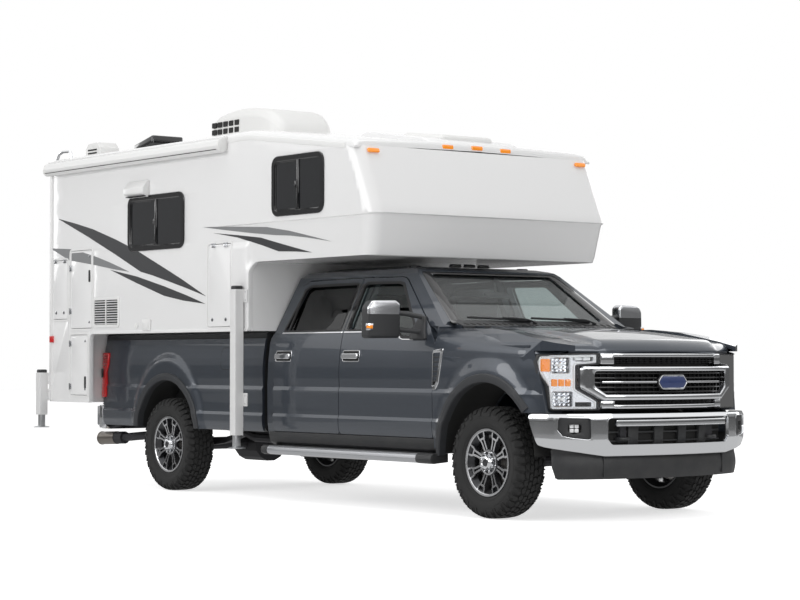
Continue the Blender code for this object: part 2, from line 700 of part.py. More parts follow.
def build_lamps(shop):
    """Grille and headlamps."""
    frame = rounded(rectangle(-0.72, 0.72, 0.880, 1.132), 0.05)
    grille = shop.add("grille", prism(frame, GRILLE_X - 0.100, GRILLE_X + 0.045, "X"), "chrome")
    shop.cut(grille, prism(rounded(rectangle(-0.655, 0.655, 0.925, 1.090), 0.03), 0.5, 1.2, "X"))
    for low, high in ((1.128, 1.200), (0.805, 0.884)):
        shop.fuse(grille, block((GRILLE_X - 0.030, -0.580, low), (GRILLE_X + 0.020, 0.580, high)))
    for k in range(9):
        middle = -0.56 + 0.14 * k
        shop.fuse(grille, block((GRILLE_X - 0.015, middle - 0.010, 0.915), (GRILLE_X + 0.005, middle + 0.010, 1.100)))
    for level in (0.980, 1.035):
        shop.fuse(grille, block((GRILLE_X - 0.012, -0.670, level - 0.008), (GRILLE_X + 0.010, 0.670, level + 0.008)))

    for word, side in SIDES.items():
        outline = [(0.590, 1.210), (0.985, 1.210), (0.985, 1.060), (0.945, 0.815), (0.590, 0.815)]
        lamp = shop.add(f"headlamp_{word}", prism(flipped(outline, side), 0.500, 0.860, "X"), "lamp_clear")
        edge = [(x + 0.0006, z) for x, z in LAMP_EDGE]
        shop.keep(lamp, side_prism(edge + [(0.90, 1.228), (0.90, 0.7835)], 0.3, 1.2, side))
        shop.keep(lamp, prism(flipped_plan(side), 0.60, 1.40, "Z"))
        shop.cut(lamp, side_block((0.5, 1.2), 0.0, 0.7204, (0.870, 1.142), side))


def flipped_plan(side):
    """Plan of the headlamp's front, from the middle to the corner."""
    half = [(0.560, 0.560), (0.560, 0.965), (0.612, 0.955), (0.700, 0.905), (0.790, 0.790), (0.850, 0.640),
            (0.865, 0.560)]
    return [(x, y * side) for x, y in half]


def build_bumper(shop):
    """Chrome front bumper with its openings, and the air dam under it."""
    outer = [(0.480, 1.016), (0.600, 1.010), (0.720, 0.950), (0.840, 0.790), (0.920, 0.560), (0.965, 0.300),
             (0.985, 0.100)]
    inner = [(x - 0.050, y - 0.055) for x, y in outer]
    plan = ([(x, y) for x, y in outer] + [(x, -y) for x, y in reversed(outer)]
            + [(x, -y) for x, y in inner] + [(x, y) for x, y in reversed(inner)])
    bumper = shop.add("front_bumper", prism(plan, BUMPER_LOW, BUMPER_HIGH, "Z"), "chrome")
    shop.cut(bumper, prism(rounded(rectangle(-0.600, 0.600, 0.560, 0.688), 0.04), 0.5, 1.3, "X"))
    for side in SIDES.values():
        shop.cut(bumper, rod((FRONT_ARCH_X, side * 0.800, ARCH_Z), (FRONT_ARCH_X, side * 1.100, ARCH_Z),
                             FRONT_ARCH_RADIUS + 0.0185, 40))
        window = [(side * 0.740, 0.600), (side * 0.880, 0.600), (side * 0.880, 0.750), (side * 0.740, 0.750)]
        shop.cut(bumper, prism(rounded(window, 0.04), 0.60, 1.3, "X"))
    low = [(x - 0.020, y - 0.020) for x, y in outer[1:]]
    inside = [(x - 0.025, y - 0.030) for x, y in low]
    plan = ([(x, y) for x, y in low] + [(x, -y) for x, y in reversed(low)]
            + [(x, -y) for x, y in inside] + [(x, y) for x, y in reversed(inside)])
    shop.add("air_dam", prism(plan, 0.310, BUMPER_LOW - SEAT_GAP, "Z"), "black_plastic")


def build_bed(shop):
    """Cargo bed without its tailgate, tail lamps, rear bumper and running boards."""
    section = [
        (BED_HALF - 0.03, 0.560), (BED_HALF, 0.600), (BED_HALF + 0.003, 0.950), (BED_HALF - 0.010, 1.200),
        (BED_HALF - 0.030, RAIL_TOP_Z), (BED_INSIDE, RAIL_TOP_Z), (BED_INSIDE, BED_FLOOR_Z),
        (-BED_INSIDE, BED_FLOOR_Z), (-BED_INSIDE, RAIL_TOP_Z), (-BED_HALF + 0.030, RAIL_TOP_Z),
        (-BED_HALF + 0.010, 1.200), (-BED_HALF - 0.003, 0.950), (-BED_HALF, 0.600), (-BED_HALF + 0.03, 0.560),
        (-BED_INSIDE - 0.05, 0.560), (-BED_INSIDE - 0.05, 0.790), (BED_INSIDE + 0.05, 0.790),
        (BED_INSIDE + 0.05, 0.560)]
    bed = shop.add("cargo_bed", prism(section, BED_BACK, BED_FRONT, "X"), "body_paint")
    shop.fuse(bed, block((BED_FRONT - 0.050, -0.90, 0.80), (BED_FRONT - 0.0002, 0.90, RAIL_TOP_Z - 0.002)))
    axle = -WHEELBASE + REAR_ARCH_X
    for side in SIDES.values():
        shop.fuse(bed, side_block((axle - 0.52, axle + 0.52), 0.650, 0.90, (0.80, 1.060), side))
        well = rod((axle, side * 0.700, ARCH_Z + 0.02), (axle, side * 1.20, ARCH_Z + 0.02), REAR_ARCH_RADIUS, 40)
        shop.cut(bed, well)
        lip = shop.shaper(rod((axle, side * 0.94, ARCH_Z + 0.02), (axle, side * 1.008, ARCH_Z + 0.02),
                              REAR_ARCH_RADIUS + 0.080, 40))
        shop.cut(lip, rod((axle, side * 0.5, ARCH_Z + 0.02), (axle, side * 1.2, ARCH_Z + 0.02),
                          REAR_ARCH_RADIUS - 0.004, 40))
        shop.cut(lip, block((axle - 1, -1.2, -0.5), (axle + 1, 1.2, 0.562)))
        shop.fuse(bed, lip)
        pocket = side_block((BED_BACK - 0.1, BED_BACK + 0.105), 0.870, 1.2, (0.818, 1.232), side)
        shop.cut(bed, pocket)
    for word, side in SIDES.items():
        lamp = rounded([(0.8704, 0.8184), (0.990, 0.8184), (0.985, 1.2316), (0.8704, 1.2316)], 0.02)
        shop.add(f"tail_lamp_{word}", prism(flipped(lamp, side), BED_BACK + 0.001, BED_BACK + 0.1046, "X"),
                 "lamp_red")
    bumper = [(-0.950, 0.560), (-0.900, 0.520), (0.900, 0.520), (0.950, 0.560), (0.950, 0.730), (0.620, 0.755),
              (0.350, 0.755), (0.300, 0.690), (-0.300, 0.690), (-0.350, 0.755), (-0.620, 0.755), (-0.950, 0.730)]
    rear = shop.add("rear_bumper", prism(bumper, REAR_BUMPER_BACK, BED_BACK - 0.030, "X"), "chrome")
    shop.cut(rear, block((-6.0, -0.0358, 0.500), (-5.5, 0.0358, 0.6308)))
    for word, side in SIDES.items():
        board = [(0.930, 0.395), (1.080, 0.385), (1.105, 0.405), (1.105, 0.440), (1.080, 0.460), (0.930, 0.460)]
        step = shop.add(f"running_board_{word}", prism(flipped(board, side), -2.78, -0.50, "X"), "brushed_metal")
        for x in (-2.45, -1.65, -0.85):
            shop.fuse(step, side_block((x - 0.03, x + 0.03), 0.800, 0.96, (0.400, 0.440), side))
            shop.fuse(step, side_block((x - 0.03, x + 0.03), 0.800, 0.860, (0.420, SILL_Z - SEAT_GAP), side))


def build_chassis(shop):
    """Frame, drivetrain, axles, knuckles and wheels."""
    front, back = 0.860, -5.560
    frame = shop.add("chassis_frame", block((back, RAIL_Y - RAIL_WIDTH / 2, RAIL_LOW),
                                            (front, RAIL_Y + RAIL_WIDTH / 2, RAIL_HIGH)), "frame_steel")
    shop.fuse(frame, block((back, -RAIL_Y - RAIL_WIDTH / 2, RAIL_LOW),
                           (front, -RAIL_Y + RAIL_WIDTH / 2, RAIL_HIGH)))
    for x in (0.60, -2.00, -3.20, -3.95, -5.10):
        shop.fuse(frame, block((x - 0.04, -RAIL_Y, 0.655), (x + 0.04, RAIL_Y, 0.725)))
    shop.fuse(frame, block((-5.54, -RAIL_Y, 0.600), (-5.46, RAIL_Y, 0.700)))
    for x in (-0.55, -1.60, -2.70):
        for side in SIDES.values():
            shop.fuse(frame, side_block((x - 0.05, x + 0.05), RAIL_Y, 0.66, (0.700, 0.7797), side))
    for x in (-3.10, -4.45, -5.40):
        for side in SIDES.values():
            shop.fuse(frame, side_block((x - 0.05, x + 0.05), RAIL_Y - 0.03, 0.56, (0.700, 0.7897), side))
    shop.fuse(frame, block((-3.60, 0.440, 0.440), (-2.30, 0.720, 0.690)))
    shop.fuse(frame, block((-5.880, -0.035, 0.560), (-5.48, 0.035, 0.630)))
    shop.cut(frame, block((-5.90, -0.026, 0.569), (-5.70, 0.026, 0.621)))
    shop.fuse(frame, block((-1.52, -RAIL_Y, 0.523), (-1.38, RAIL_Y, 0.545 - SEAT_GAP)))
    for side in SIDES.values():
        shop.fuse(frame, side_block((-1.51, -1.39), RAIL_Y - 0.025, RAIL_Y + 0.025, (0.530, 0.600), side))
        shop.fuse(frame, side_block((-0.05, 0.10), 0.3204, RAIL_Y, (0.660, 0.735), side))
        shop.fuse(frame, side_block((-0.03, 0.13), RAIL_Y - 0.02, RAIL_Y + 0.034, (0.700, 0.930), side))
        shop.fuse(frame, side_block((-0.03, 0.13), RAIL_Y - 0.02, 0.555, (0.900 + SEAT_GAP, 0.930), side))
        shop.fuse(frame, side_block((-1.02, -0.9548), RAIL_Y - 0.030, RAIL_Y + 0.030, (0.495, 0.600), side))
        shop.fuse(frame, side_block((-5.6294, -5.54), RAIL_Y - 0.02, RAIL_Y + 0.02, (0.60, 0.70), side))
        shop.fuse(frame, side_block((0.80, 0.877), RAIL_Y - 0.03, RAIL_Y + 0.03, (0.60, 0.72), side))

    drive = shop.add("drivetrain", block((-0.36, -0.32, 0.62), (0.52, 0.32, 1.20)), "axle_iron")
    shop.fuse(drive, rod((-0.34, 0.0, 0.630), (-1.30, 0.0, 0.620), 0.140, 16, 0.110))
    shop.fuse(drive, block((-1.62, -0.20, 0.545), (-1.24, 0.16, 0.762)))
    shop.fuse(drive, rod((-1.58, 0.0, 0.620), (-4.276, 0.0, 0.430), 0.045, 12))
    shop.fuse(drive, shop.tube([(-0.20, -0.25, 0.70), (-0.50, -0.300, 0.540), (-1.30, -0.330, 0.480),
                                (-3.40, -0.520, 0.480), (-3.58, -0.627, 0.490), (-3.90, -0.627, 0.570),
                                (-4.40, -0.627, 0.600), (-4.85, -0.635, 0.550), (-5.15, -0.780, 0.470),
                                (-5.50, -0.860, 0.440)], 0.038))
    shop.fuse(drive, rod((-2.20, -0.411, 0.445), (-3.05, -0.488, 0.445), 0.110, 16))
    shop.fuse(drive, rod((-5.45, -0.850, 0.442), (-5.78, -0.900, 0.430), 0.058, 16))

    build_axles(shop)
    build_wheels(shop)


def build_axles(shop):
    """Solid axles with their springs, and the steered knuckles."""
    z = TYRE_RADIUS
    end = KINGPIN_Y - KINGPIN_RADIUS - SEAT_GAP
    axle = shop.add("front_axle", rod((0.0, -end, z), (0.0, end, z), 0.045), "axle_iron")
    shop.fuse(axle, rod((-0.150, 0.30, z), (0.150, 0.30, z), 0.135))
    for side in SIDES.values():
        shop.fuse(axle, rod((0.05, side * 0.530, z), (0.05, side * 0.530, 0.900), 0.062))
        shop.fuse(axle, rod((0.0, side * 0.50, z), (-0.95, side * 0.430, 0.530), 0.030, 10))
    back = -WHEELBASE
    drum = (TRACK / 2 - 0.145, TRACK / 2 - 0.065)
    rear = shop.add("rear_axle", rod((back, -drum[0] - 0.070, z), (back, drum[0] + 0.070, z), 0.055), "axle_iron")
    shop.fuse(rear, rod((back - 0.170, 0.0, z), (back + 0.190, 0.0, z), 0.170, 14))
    for side in SIDES.values():
        spring = [(back - 0.80, 0.600), (back - 0.30, 0.475), (back, 0.440), (back + 0.30, 0.475),
                  (back + 0.75, 0.560), (back + 0.75, 0.535), (back + 0.30, 0.425), (back, 0.390),
                  (back - 0.30, 0.425), (back - 0.80, 0.575)]
        shop.fuse(rear, side_prism(spring, 0.500, 0.570, side))
        shop.fuse(rear, side_block((back - 0.81, back - 0.77), 0.4654, 0.55, (0.560, 0.700), side))
        shop.fuse(rear, side_block((back + 0.72, back + 0.77), 0.4654, 0.55, (0.520, 0.700), side))
        shop.fuse(rear, rod((back, side * drum[0], z), (back, side * drum[1], z), 0.170, 16))
        shop.fuse(rear, rod((back, side * (drum[1] - 0.020), z), (back, side * (TRACK / 2 + HUB_FACE - SEAT_GAP), z),
                            HUB_RADIUS, 12))
    for word, side in SIDES.items():
        pin = (0.0, side * KINGPIN_Y, z)
        body = rod((0.0, side * (KINGPIN_Y + 0.005), z), (0.0, side * (KINGPIN_Y + 0.045), z), 0.080, 12)
        knuckle = shop.add(f"knuckle_{word}", body, "axle_iron", pin)
        shop.fuse(knuckle, rod((0.0, side * (KINGPIN_Y + 0.029), z), (0.0, side * (KINGPIN_Y + 0.075), z), 0.170, 20))
        stub = (0.0, side * (TRACK / 2 + HUB_FACE - SEAT_GAP), z)
        shop.fuse(knuckle, rod((0.0, side * (KINGPIN_Y + 0.060), z), stub, HUB_RADIUS, 12))
        shop.fuse(knuckle, rod((0.0, side * KINGPIN_Y, z - 0.110), (0.0, side * KINGPIN_Y, z + 0.110),
                               KINGPIN_RADIUS, 12))
        shop.fuse(knuckle, side_block((-0.185, -0.110), KINGPIN_Y, KINGPIN_Y + 0.100, (z - 0.055, z + 0.055), side))
        shop.fuse(knuckle, side_block((-0.180, -0.012), KINGPIN_Y + 0.008, KINGPIN_Y + 0.040,
                                      (z - 0.045, z + 0.045), side))


def build_wheels(shop):
    """Alloy wheels with cut-out faces, and their tyres."""
    outer = RIM_WIDTH / 2
    profile = [
        (RIM_RADIUS, outer), (RIM_RADIUS, outer - 0.012), (0.222, outer - 0.030), (0.205, -0.030),
        (0.222, -outer + 0.030), (RIM_RADIUS, -outer + 0.012), (RIM_RADIUS, -outer),
        (0.208, -outer + 0.030), (0.192, -0.020), (0.150, 0.040), (0.075, HUB_FACE), (0.020, HUB_FACE),
        (0.020, HUB_FACE + 0.055), (0.095, HUB_FACE + 0.055), (0.130, HUB_FACE + 0.045), (0.205, 0.086),
        (0.238, outer)]
    rim = shop.shaper(shop.turned(profile, WHEEL_STEPS))
    for k in range(8):
        turn = Matrix.Rotation(math.tau * (k / 8 + 1 / 80), 4, "Z")
        window = prism([(0.112, -0.016), (0.176, -0.044), (0.186, 0.0), (0.176, 0.044), (0.112, 0.016)],
                       -0.15, 0.20, "Z")
        bmesh.ops.transform(window, matrix=turn, verts=window.verts)
        shop.cut(rim, window)
    rim_mesh = shop.settled(rim)
    half = TYRE_WIDTH / 2
    crown = TYRE_RADIUS
    bead = RIM_RADIUS - 0.0275
    tyre = shop.turned([
        (crown, 0.070), (crown - 0.006, 0.100), (crown - 0.030, half - 0.010), (0.340, half), (0.290, half - 0.010),
        (RIM_RADIUS + 0.004, outer - 0.004), (RIM_RADIUS + 0.0004, outer - 0.013), (bead, outer - 0.0304),
        (0.2056, -0.030), (bead, -outer + 0.0304), (RIM_RADIUS + 0.0004, -outer + 0.013),
        (RIM_RADIUS + 0.004, -outer + 0.004), (0.290, -half + 0.010), (0.340, -half),
        (crown - 0.030, -half + 0.010), (crown - 0.006, -0.100), (crown, -0.070)], WHEEL_STEPS)
    tyre_mesh = bpy.data.meshes.new("tyre")
    tyre.to_mesh(tyre_mesh)
    tyre.free()
    for place, x in (("front", 0.0), ("rear", -WHEELBASE)):
        for word, side in SIDES.items():
            turn = (math.radians(-90.0 * side), 0.0, 0.0)
            centre = (x, side * TRACK / 2, TYRE_RADIUS)
            shop.copy(f"wheel_{place}_{word}", rim_mesh, "wheel_alloy", centre, turn)
            shop.copy(f"tyre_{place}_{word}", tyre_mesh, "tyre_rubber", centre, turn)


def camper_side_outline():
    """Outline of the camper's side wall in XZ."""
    return [
        (CAMPER_BACK, REAR_BOX_Z), (REAR_BOX_X, REAR_BOX_Z), (REAR_BOX_X, WING_Z), (CAMPER_FRONT, WING_Z),
        (CAMPER_FRONT, OVERCAB_Z), (NOSE_LOW_X - NOSE_CORNER, OVERCAB_Z),
        (NOSE_BELT_X - NOSE_CORNER, BELT_LINE_Z), (NOSE_TOP_X - NOSE_CORNER, NOSE_TOP_Z),
        (CAMPER_FRONT, ROOF_EDGE_Z), (CAMPER_BACK, ROOF_EDGE_Z)]


HATCHES = {
    "hatch_rear_high": (-6.170, -5.880, 1.550, 2.100),
    "hatch_rear_tall": (-5.825, -5.420, 1.460, 2.180),
    "hatch_rear_low": (-5.825, -5.495, 0.840, 1.395),
    "hatch_front": (-3.420, -3.070, 1.445, 2.140),
}
CAMPER_WINDOWS = {
    "right": {"camper_window_galley": (-4.743, -3.826, 2.155, 2.605), "camper_window_bunk": (-2.427, -1.734, 2.350, 2.797)},
    "left": {"camper_window_dinette": (-4.900, -3.900, 2.050, 2.600), "camper_window_bunk": (-2.427, -1.734, 2.350, 2.797)},
}


def build_camper(shop):
    """Walls, floor, roof and fittings of the camper."""
    for word, side in SIDES.items():
        wall = shop.add(f"camper_side_{word}", side_prism(camper_side_outline(), CAMPER_HALF - CAMPER_WALL,
                                                          CAMPER_HALF, side), "camper_white")
        for low_x, high_x, low_z, high_z in CAMPER_WINDOWS[word].values():
            hole = rounded(rectangle(low_x, high_x, low_z, high_z), 0.07)
            shop.cut(wall, side_prism(hole, CAMPER_HALF - WALL_REACH, CAMPER_HALF + WALL_REACH, side))
        if word == "right":
            for low_x, high_x, low_z, high_z in HATCHES.values():
                hole = rounded(grown(rectangle(low_x, high_x, low_z, high_z), 0.005), 0.035)
                shop.cut(wall, side_prism(hole, CAMPER_HALF - WALL_REACH, CAMPER_HALF + WALL_REACH, side))
        add_jack(shop, wall, FRONT_JACK_X, side, 1.780, 0.540, 0.436)
        add_jack(shop, wall, REAR_JACK_X, side, 1.075, 0.645, 0.532)
        for name, (low_x, high_x, low_z, high_z) in CAMPER_WINDOWS[word].items():
            pane = rounded(rectangle(low_x, high_x, low_z, high_z), 0.07)
            window = shop.add(f"{name}_{word}",
                              side_prism(grown(pane, -SEAT_GAP), CAMPER_HALF - CAMPER_WALL, CAMPER_HALF + 0.004, side),
                              "window_frame")
            shop.fuse(window, side_prism(grown(pane, 0.022), CAMPER_HALF + SEAT_GAP, CAMPER_HALF + 0.012, side))

    for name, (low_x, high_x, low_z, high_z) in HATCHES.items():
        door = rounded(rectangle(low_x, high_x, low_z, high_z), 0.030)
        out = -CAMPER_HALF - PIN_OUT
        face = -CAMPER_HALF - 0.003
        across = name in ("hatch_rear_high", "hatch_front")
        middle = (low_x + high_x) / 2 if across else (low_z + high_z) / 2
        pivot = (middle, out, high_z + PIN_SIDE) if across else (low_x - PIN_SIDE, out, middle)
        hatch = shop.add(name, side_prism(door, CAMPER_HALF - 0.030, CAMPER_HALF + 0.004, -1.0), "camper_white", pivot)
        for k in (-0.09, 0.09) if across else (-0.20, 0.20):
            if across:
                leaf = block((middle + k - 0.026, out - 0.002, high_z - 0.014), (middle + k + 0.026, face, pivot[2]))
                pin = rod((middle + k - 0.030, out, pivot[2]), (middle + k + 0.030, out, pivot[2]), PIN_RADIUS, 8)
            else:
                leaf = block((pivot[0], out - 0.002, middle + k - 0.026), (low_x + 0.014, face, middle + k + 0.026))
                pin = rod((pivot[0], out, middle + k - 0.030), (pivot[0], out, middle + k + 0.030), PIN_RADIUS, 8)
            shop.fuse(hatch, leaf, pin)

    build_camper_floor(shop)
    build_camper_ends(shop)
    build_roof(shop)


def add_jack(shop, wall, x, side, top, bottom, foot):
    """Corner jack: square outer tube, inner leg and foot, on its bracket."""
    centre = CAMPER_HALF + JACK_OUT
    half = JACK_TUBE / 2
    shop.fuse(wall, side_block((x - half, x + half), centre - half, centre + half, (bottom, top), side))
    for level in (max(bottom + 0.12, 0.80), top - 0.12):
        shop.fuse(wall, side_block((x - 0.040, x + 0.090), CAMPER_HALF - 0.006, centre - half + 0.010,
                                   (level - 0.020, level + 0.090), side))
    shop.fuse(wall, side_block((x - 0.026, x + 0.026), centre - 0.026, centre + 0.026, (foot, bottom + 0.05), side))
    shop.fuse(wall, rod((x, side * centre, foot - 0.010), (x, side * centre, foot + 0.004), FOOT_RADIUS, 16))


def build_camper_floor(shop):
    """Tub that stands on the bed floor, wings over the rails, and overcab floor."""
    inside = CAMPER_HALF - CAMPER_WALL - SEAT_GAP
    wall = CAMPER_WALL
    tub_front = CAMPER_FRONT - 0.170
    floor = shop.add("camper_floor", block((CAMPER_BACK + wall + SEAT_GAP, -TUB_HALF, TUB_Z), (tub_front, TUB_HALF, TUB_Z + wall)),
                     "camper_white")
    for side in SIDES.values():
        shop.fuse(floor, side_block((CAMPER_BACK + wall + SEAT_GAP, tub_front), TUB_HALF - wall, TUB_HALF,
                                    (TUB_Z, WING_Z + wall), side))
        shop.fuse(floor, side_block((BED_BACK - 0.030, CAMPER_FRONT - SEAT_GAP), TUB_HALF - wall, inside,
                                    (WING_Z, WING_Z + wall), side))
        shop.fuse(floor, side_block((BED_BACK - 0.030 - wall, BED_BACK - 0.030), TUB_HALF - wall, inside,
                                    (REAR_BOX_Z, WING_Z + wall), side))
        shop.fuse(floor, side_block((CAMPER_BACK + wall + SEAT_GAP, BED_BACK - 0.030), TUB_HALF - wall, inside,
                                    (REAR_BOX_Z, REAR_BOX_Z + wall), side))
        shop.fuse(floor, side_block((-5.500, -3.050), 0.300, 0.500, (BED_FLOOR_Z + SEAT_GAP, TUB_Z + 0.010), side))
    shop.fuse(floor, block((tub_front - wall, -TUB_HALF, TUB_Z), (tub_front, TUB_HALF, WING_Z + wall)))
    shop.fuse(floor, block((tub_front - wall, -TUB_HALF, WING_Z), (CAMPER_FRONT - SEAT_GAP, TUB_HALF, WING_Z + wall)))
    shop.fuse(floor, block((CAMPER_FRONT - wall, -inside, WING_Z), (CAMPER_FRONT - SEAT_GAP, inside, OVERCAB_Z + wall)))
    shop.fuse(floor, block((CAMPER_FRONT - wall, -inside, OVERCAB_Z), (NOSE_LOW_X - NOSE_CORNER, inside, OVERCAB_Z + wall)))


def nose_rings(half_width, inset, back):
    """Sections of the rounded nose from bottom to top, each as points around the front."""
    rings = []
    stations = ((NOSE_LOW_X, OVERCAB_Z), (NOSE_BELT_X, BELT_LINE_Z), (NOSE_TOP_X, NOSE_TOP_Z))
    radius = NOSE_CORNER - inset
    for x, z in stations:
        centre = x - NOSE_CORNER
        half = [(centre - back, half_width)]
        for k in range(6):
            angle = math.radians(90.0 * (1.0 - k / 5.0))
            half.append((centre + SEAT_GAP + radius * math.cos(angle), half_width - radius + radius * math.sin(angle)))
        if back == 0.0:
            half = half[1:]
        rings.append([(px, py, z) for px, py in half] + [(px, -py, z) for px, py in reversed(half)])
    return rings


def build_camper_ends(shop):
    """Moulded nose and the rear wall with its door, ladder and step brackets."""
    nose = shop.add("camper_nose", loft(nose_rings(CAMPER_HALF, 0.0, 0.0)), "camper_white")
    hollow = nose_rings(CAMPER_HALF - CAMPER_WALL, CAMPER_WALL, 0.05)
    hollow[0] = [(px, py, OVERCAB_Z + CAMPER_WALL) for px, py, pz in hollow[0]]
    hollow[-1] = [(px - 0.05, py, NOSE_TOP_Z + 0.10) for px, py, pz in hollow[-1]]
    shop.cut(nose, loft(hollow))

    back = shop.add("camper_rear_wall", block((CAMPER_BACK, -CAMPER_HALF + CAMPER_WALL + SEAT_GAP, REAR_BOX_Z),
                                              (CAMPER_BACK + CAMPER_WALL, CAMPER_HALF - CAMPER_WALL - SEAT_GAP,
                                               ROOF_EDGE_Z)), "camper_white")
    door = rounded(rectangle(-0.480, 0.200, 0.930, 2.750), 0.06)
    shop.cut(back, prism(grown(door, 0.005), -6.5, -6.0, "X"))
    pane = rounded(rectangle(-0.340, 0.060, 1.900, 2.400), 0.05)
    entry = shop.add("camper_entry_door", prism(door, CAMPER_BACK - 0.004, CAMPER_BACK + CAMPER_WALL - 0.004, "X"),
                     "camper_white", (CAMPER_BACK - PIN_OUT, -0.480 - PIN_SIDE, 0.0))
    pin_x, pin_y = CAMPER_BACK - PIN_OUT, -0.480 - PIN_SIDE
    for z in (1.100, 1.840, 2.600):
        shop.fuse(entry, block((pin_x - 0.002, pin_y, z - 0.046), (CAMPER_BACK - 0.003, pin_y + 0.020, z + 0.046)))
        shop.fuse(entry, rod((pin_x, pin_y, z - 0.050), (pin_x, pin_y, z + 0.050), PIN_RADIUS, 8))
    shop.fuse(entry, prism(pane, CAMPER_BACK - 0.012, CAMPER_BACK, "X"))
    back_x = CAMPER_BACK - LADDER_STANDOFF
    top = ROOF_EDGE_Z
    reach = REARMOST + LADDER_TUBE
    hoop = [(back_x, top - 0.180), (reach, top - 0.095), (reach, top + 0.010), (back_x + 0.010, top + 0.085),
            (back_x + 0.090, top + 0.105), (back_x + 0.220, top + 0.100), (back_x + 0.250, top + 0.070)]
    for y in LADDER_Y:
        shop.fuse(back, rod((back_x, y, 0.950), (back_x, y, top - 0.170), LADDER_TUBE, 10))
        for start, stop in zip(hoop, hoop[1:]):
            lap = (Vector(stop) - Vector(start)).normalized() * 0.004
            shop.fuse(back, rod((start[0] - lap.x, y, start[1] - lap.y), (stop[0] + lap.x, y, stop[1] + lap.y),
                                LADDER_TUBE, 8))
        foot = (back_x + 0.250, y, top + roof_rise(y) + SEAT_GAP)
        shop.fuse(back, rod((foot[0], y, top + 0.073), foot, LADDER_TUBE, 8))
        for z in (1.000, 1.950, 2.840):
            shop.fuse(back, rod((CAMPER_BACK + 0.010, y, z), (back_x, y, z), 0.009, 8))
    for k in range(6):
        z = 1.150 + 0.310 * k
        shop.fuse(back, rod((back_x, LADDER_Y[0], z), (back_x, LADDER_Y[1], z), 0.010, 8))


def roof_rise(y):
    """Height of the roof's crown over its edge at a distance from the middle."""
    near, rise = ROOF_SECTION[0]
    for far, drop in ROOF_SECTION[1:]:
        if abs(y) <= far:
            return rise + (drop - rise) * (abs(y) - near) / (far - near)
        near, rise = far, drop
    return rise


def roof_edge(x):
    """Height of the roof's side edge at a station, level behind the overcab and falling to the nose."""
    share = max(0.0, (x - CAMPER_FRONT) / (NOSE_TOP_X - CAMPER_FRONT))
    return ROOF_EDGE_Z + (NOSE_TOP_Z - ROOF_EDGE_Z) * share


def build_roof(shop):
    """Roof with its crown, vents, air conditioner and awning."""
    flat = [(-CAMPER_HALF, SEAT_GAP), (CAMPER_HALF, SEAT_GAP)]
    flat += [(y, z) for y, z in reversed(ROOF_SECTION)] + [(-y, z) for y, z in ROOF_SECTION[1:]]
    rings = []
    for x in (CAMPER_BACK, CAMPER_FRONT, NOSE_TOP_X + 0.004):
        rings.append([(x, y, roof_edge(x) + z) for y, z in flat])
    roof = shop.add("camper_roof", loft(rings), "camper_white")
    front = NOSE_TOP_X - 0.025
    fairing = [(-2.300, roof_edge(-2.300) + 0.020), (-2.200, roof_edge(-2.200) + 0.085),
               (front - 0.095, roof_edge(front - 0.095) + 0.070), (front, roof_edge(front) + 0.047),
               (front, roof_edge(front) + 0.007)]
    shop.fuse(roof, prism(fairing, -0.470, 0.470, "Y"))
    skylight = [(-1.960, roof_edge(-1.960) + 0.015), (-1.960, roof_edge(-1.960) + 0.115),
                (-1.400, roof_edge(-1.400) + 0.115), (-1.400, roof_edge(-1.400) + 0.015)]
    shop.fuse(roof, prism(skylight, -0.280, 0.280, "Y"))
    shop.fuse(roof, block((-5.960, -0.480, ROOF_EDGE_Z + 0.030), (-5.600, -0.120, ROOF_EDGE_Z + 0.250)))
    shop.fuse(roof, block((-5.980, -0.980, ROOF_EDGE_Z + 0.010), (-5.700, -0.780, ROOF_EDGE_Z + 0.170)))

    low = ROOF_EDGE_Z + ROOF_CROWN + SEAT_GAP
    rings = []
    for x, half, high in ((-4.830, 0.300, 3.300), (-4.790, 0.340, 3.390), (-4.350, 0.355, 3.455),
                          (-3.950, 0.345, 3.430), (-3.740, 0.300, 3.330), (-3.700, 0.260, 3.200)):
        rings.append([(x, -half, low), (x, half, low), (x, half, high - 0.06), (x, half * 0.8, high),
                      (x, -half * 0.8, high), (x, -half, high - 0.06)])
    shop.add("air_conditioner", loft(rings), "camper_white")

    near, far = CAMPER_HALF + SEAT_GAP, CAMPER_HALF + 0.098
    case = rounded([(-near, 2.925), (-far, 2.935), (-far, 3.015), (-near - 0.02, 3.035), (-near, 3.035)], 0.02)
    shop.add("awning", prism(case, -6.210, -3.120, "X"), "camper_white")


def build_mirrors(shop):
    """Towing mirrors on the front doors."""
    for word, side in SIDES.items():
        pivot = (HINGE_X["front"], side * HINGE_Y, 0.0)
        head = [(1.120, 1.335), (1.395, 1.326), (1.415, 1.350), (1.412, 1.590), (1.390, 1.617), (1.140, 1.612)]
        mirror = shop.add(f"mirror_{word}", prism(flipped(rounded(head, 0.02), side), -0.930, -0.830, "X"),
                          "black_plastic", pivot)
        for z in (1.375, 1.500):
            shop.fuse(mirror, rod((-0.870, side * 1.14, z), (-0.790, side * 1.000, z - 0.01), 0.016, 10))
        shop.fuse(mirror, side_prism([(-0.72, 1.31), (-0.86, 1.31), (-0.86, 1.365), (-0.80, 1.365)],
                                     0.930, 1.02, side))
        shop.cut(mirror, prism(grown(cab_section(), SEAT_GAP), -1.20, -0.50, "X"))


def main():
    """Build every piece."""
    clear_scene()
    shop = Workshop()
    build_chassis(shop)
    build_cab(shop)
    build_front(shop)
    build_bed(shop)
    build_mirrors(shop)
    build_camper(shop)


main()
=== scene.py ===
"""Looks of a crew cab pickup truck with a slide-in camper.

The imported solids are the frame. Pieces built here stand in their place with
the curves, trim and finishes of the real vehicle. Stations along X are counted
from the front axle, and left and right share one form that is mirrored.
"""
from __future__ import annotations

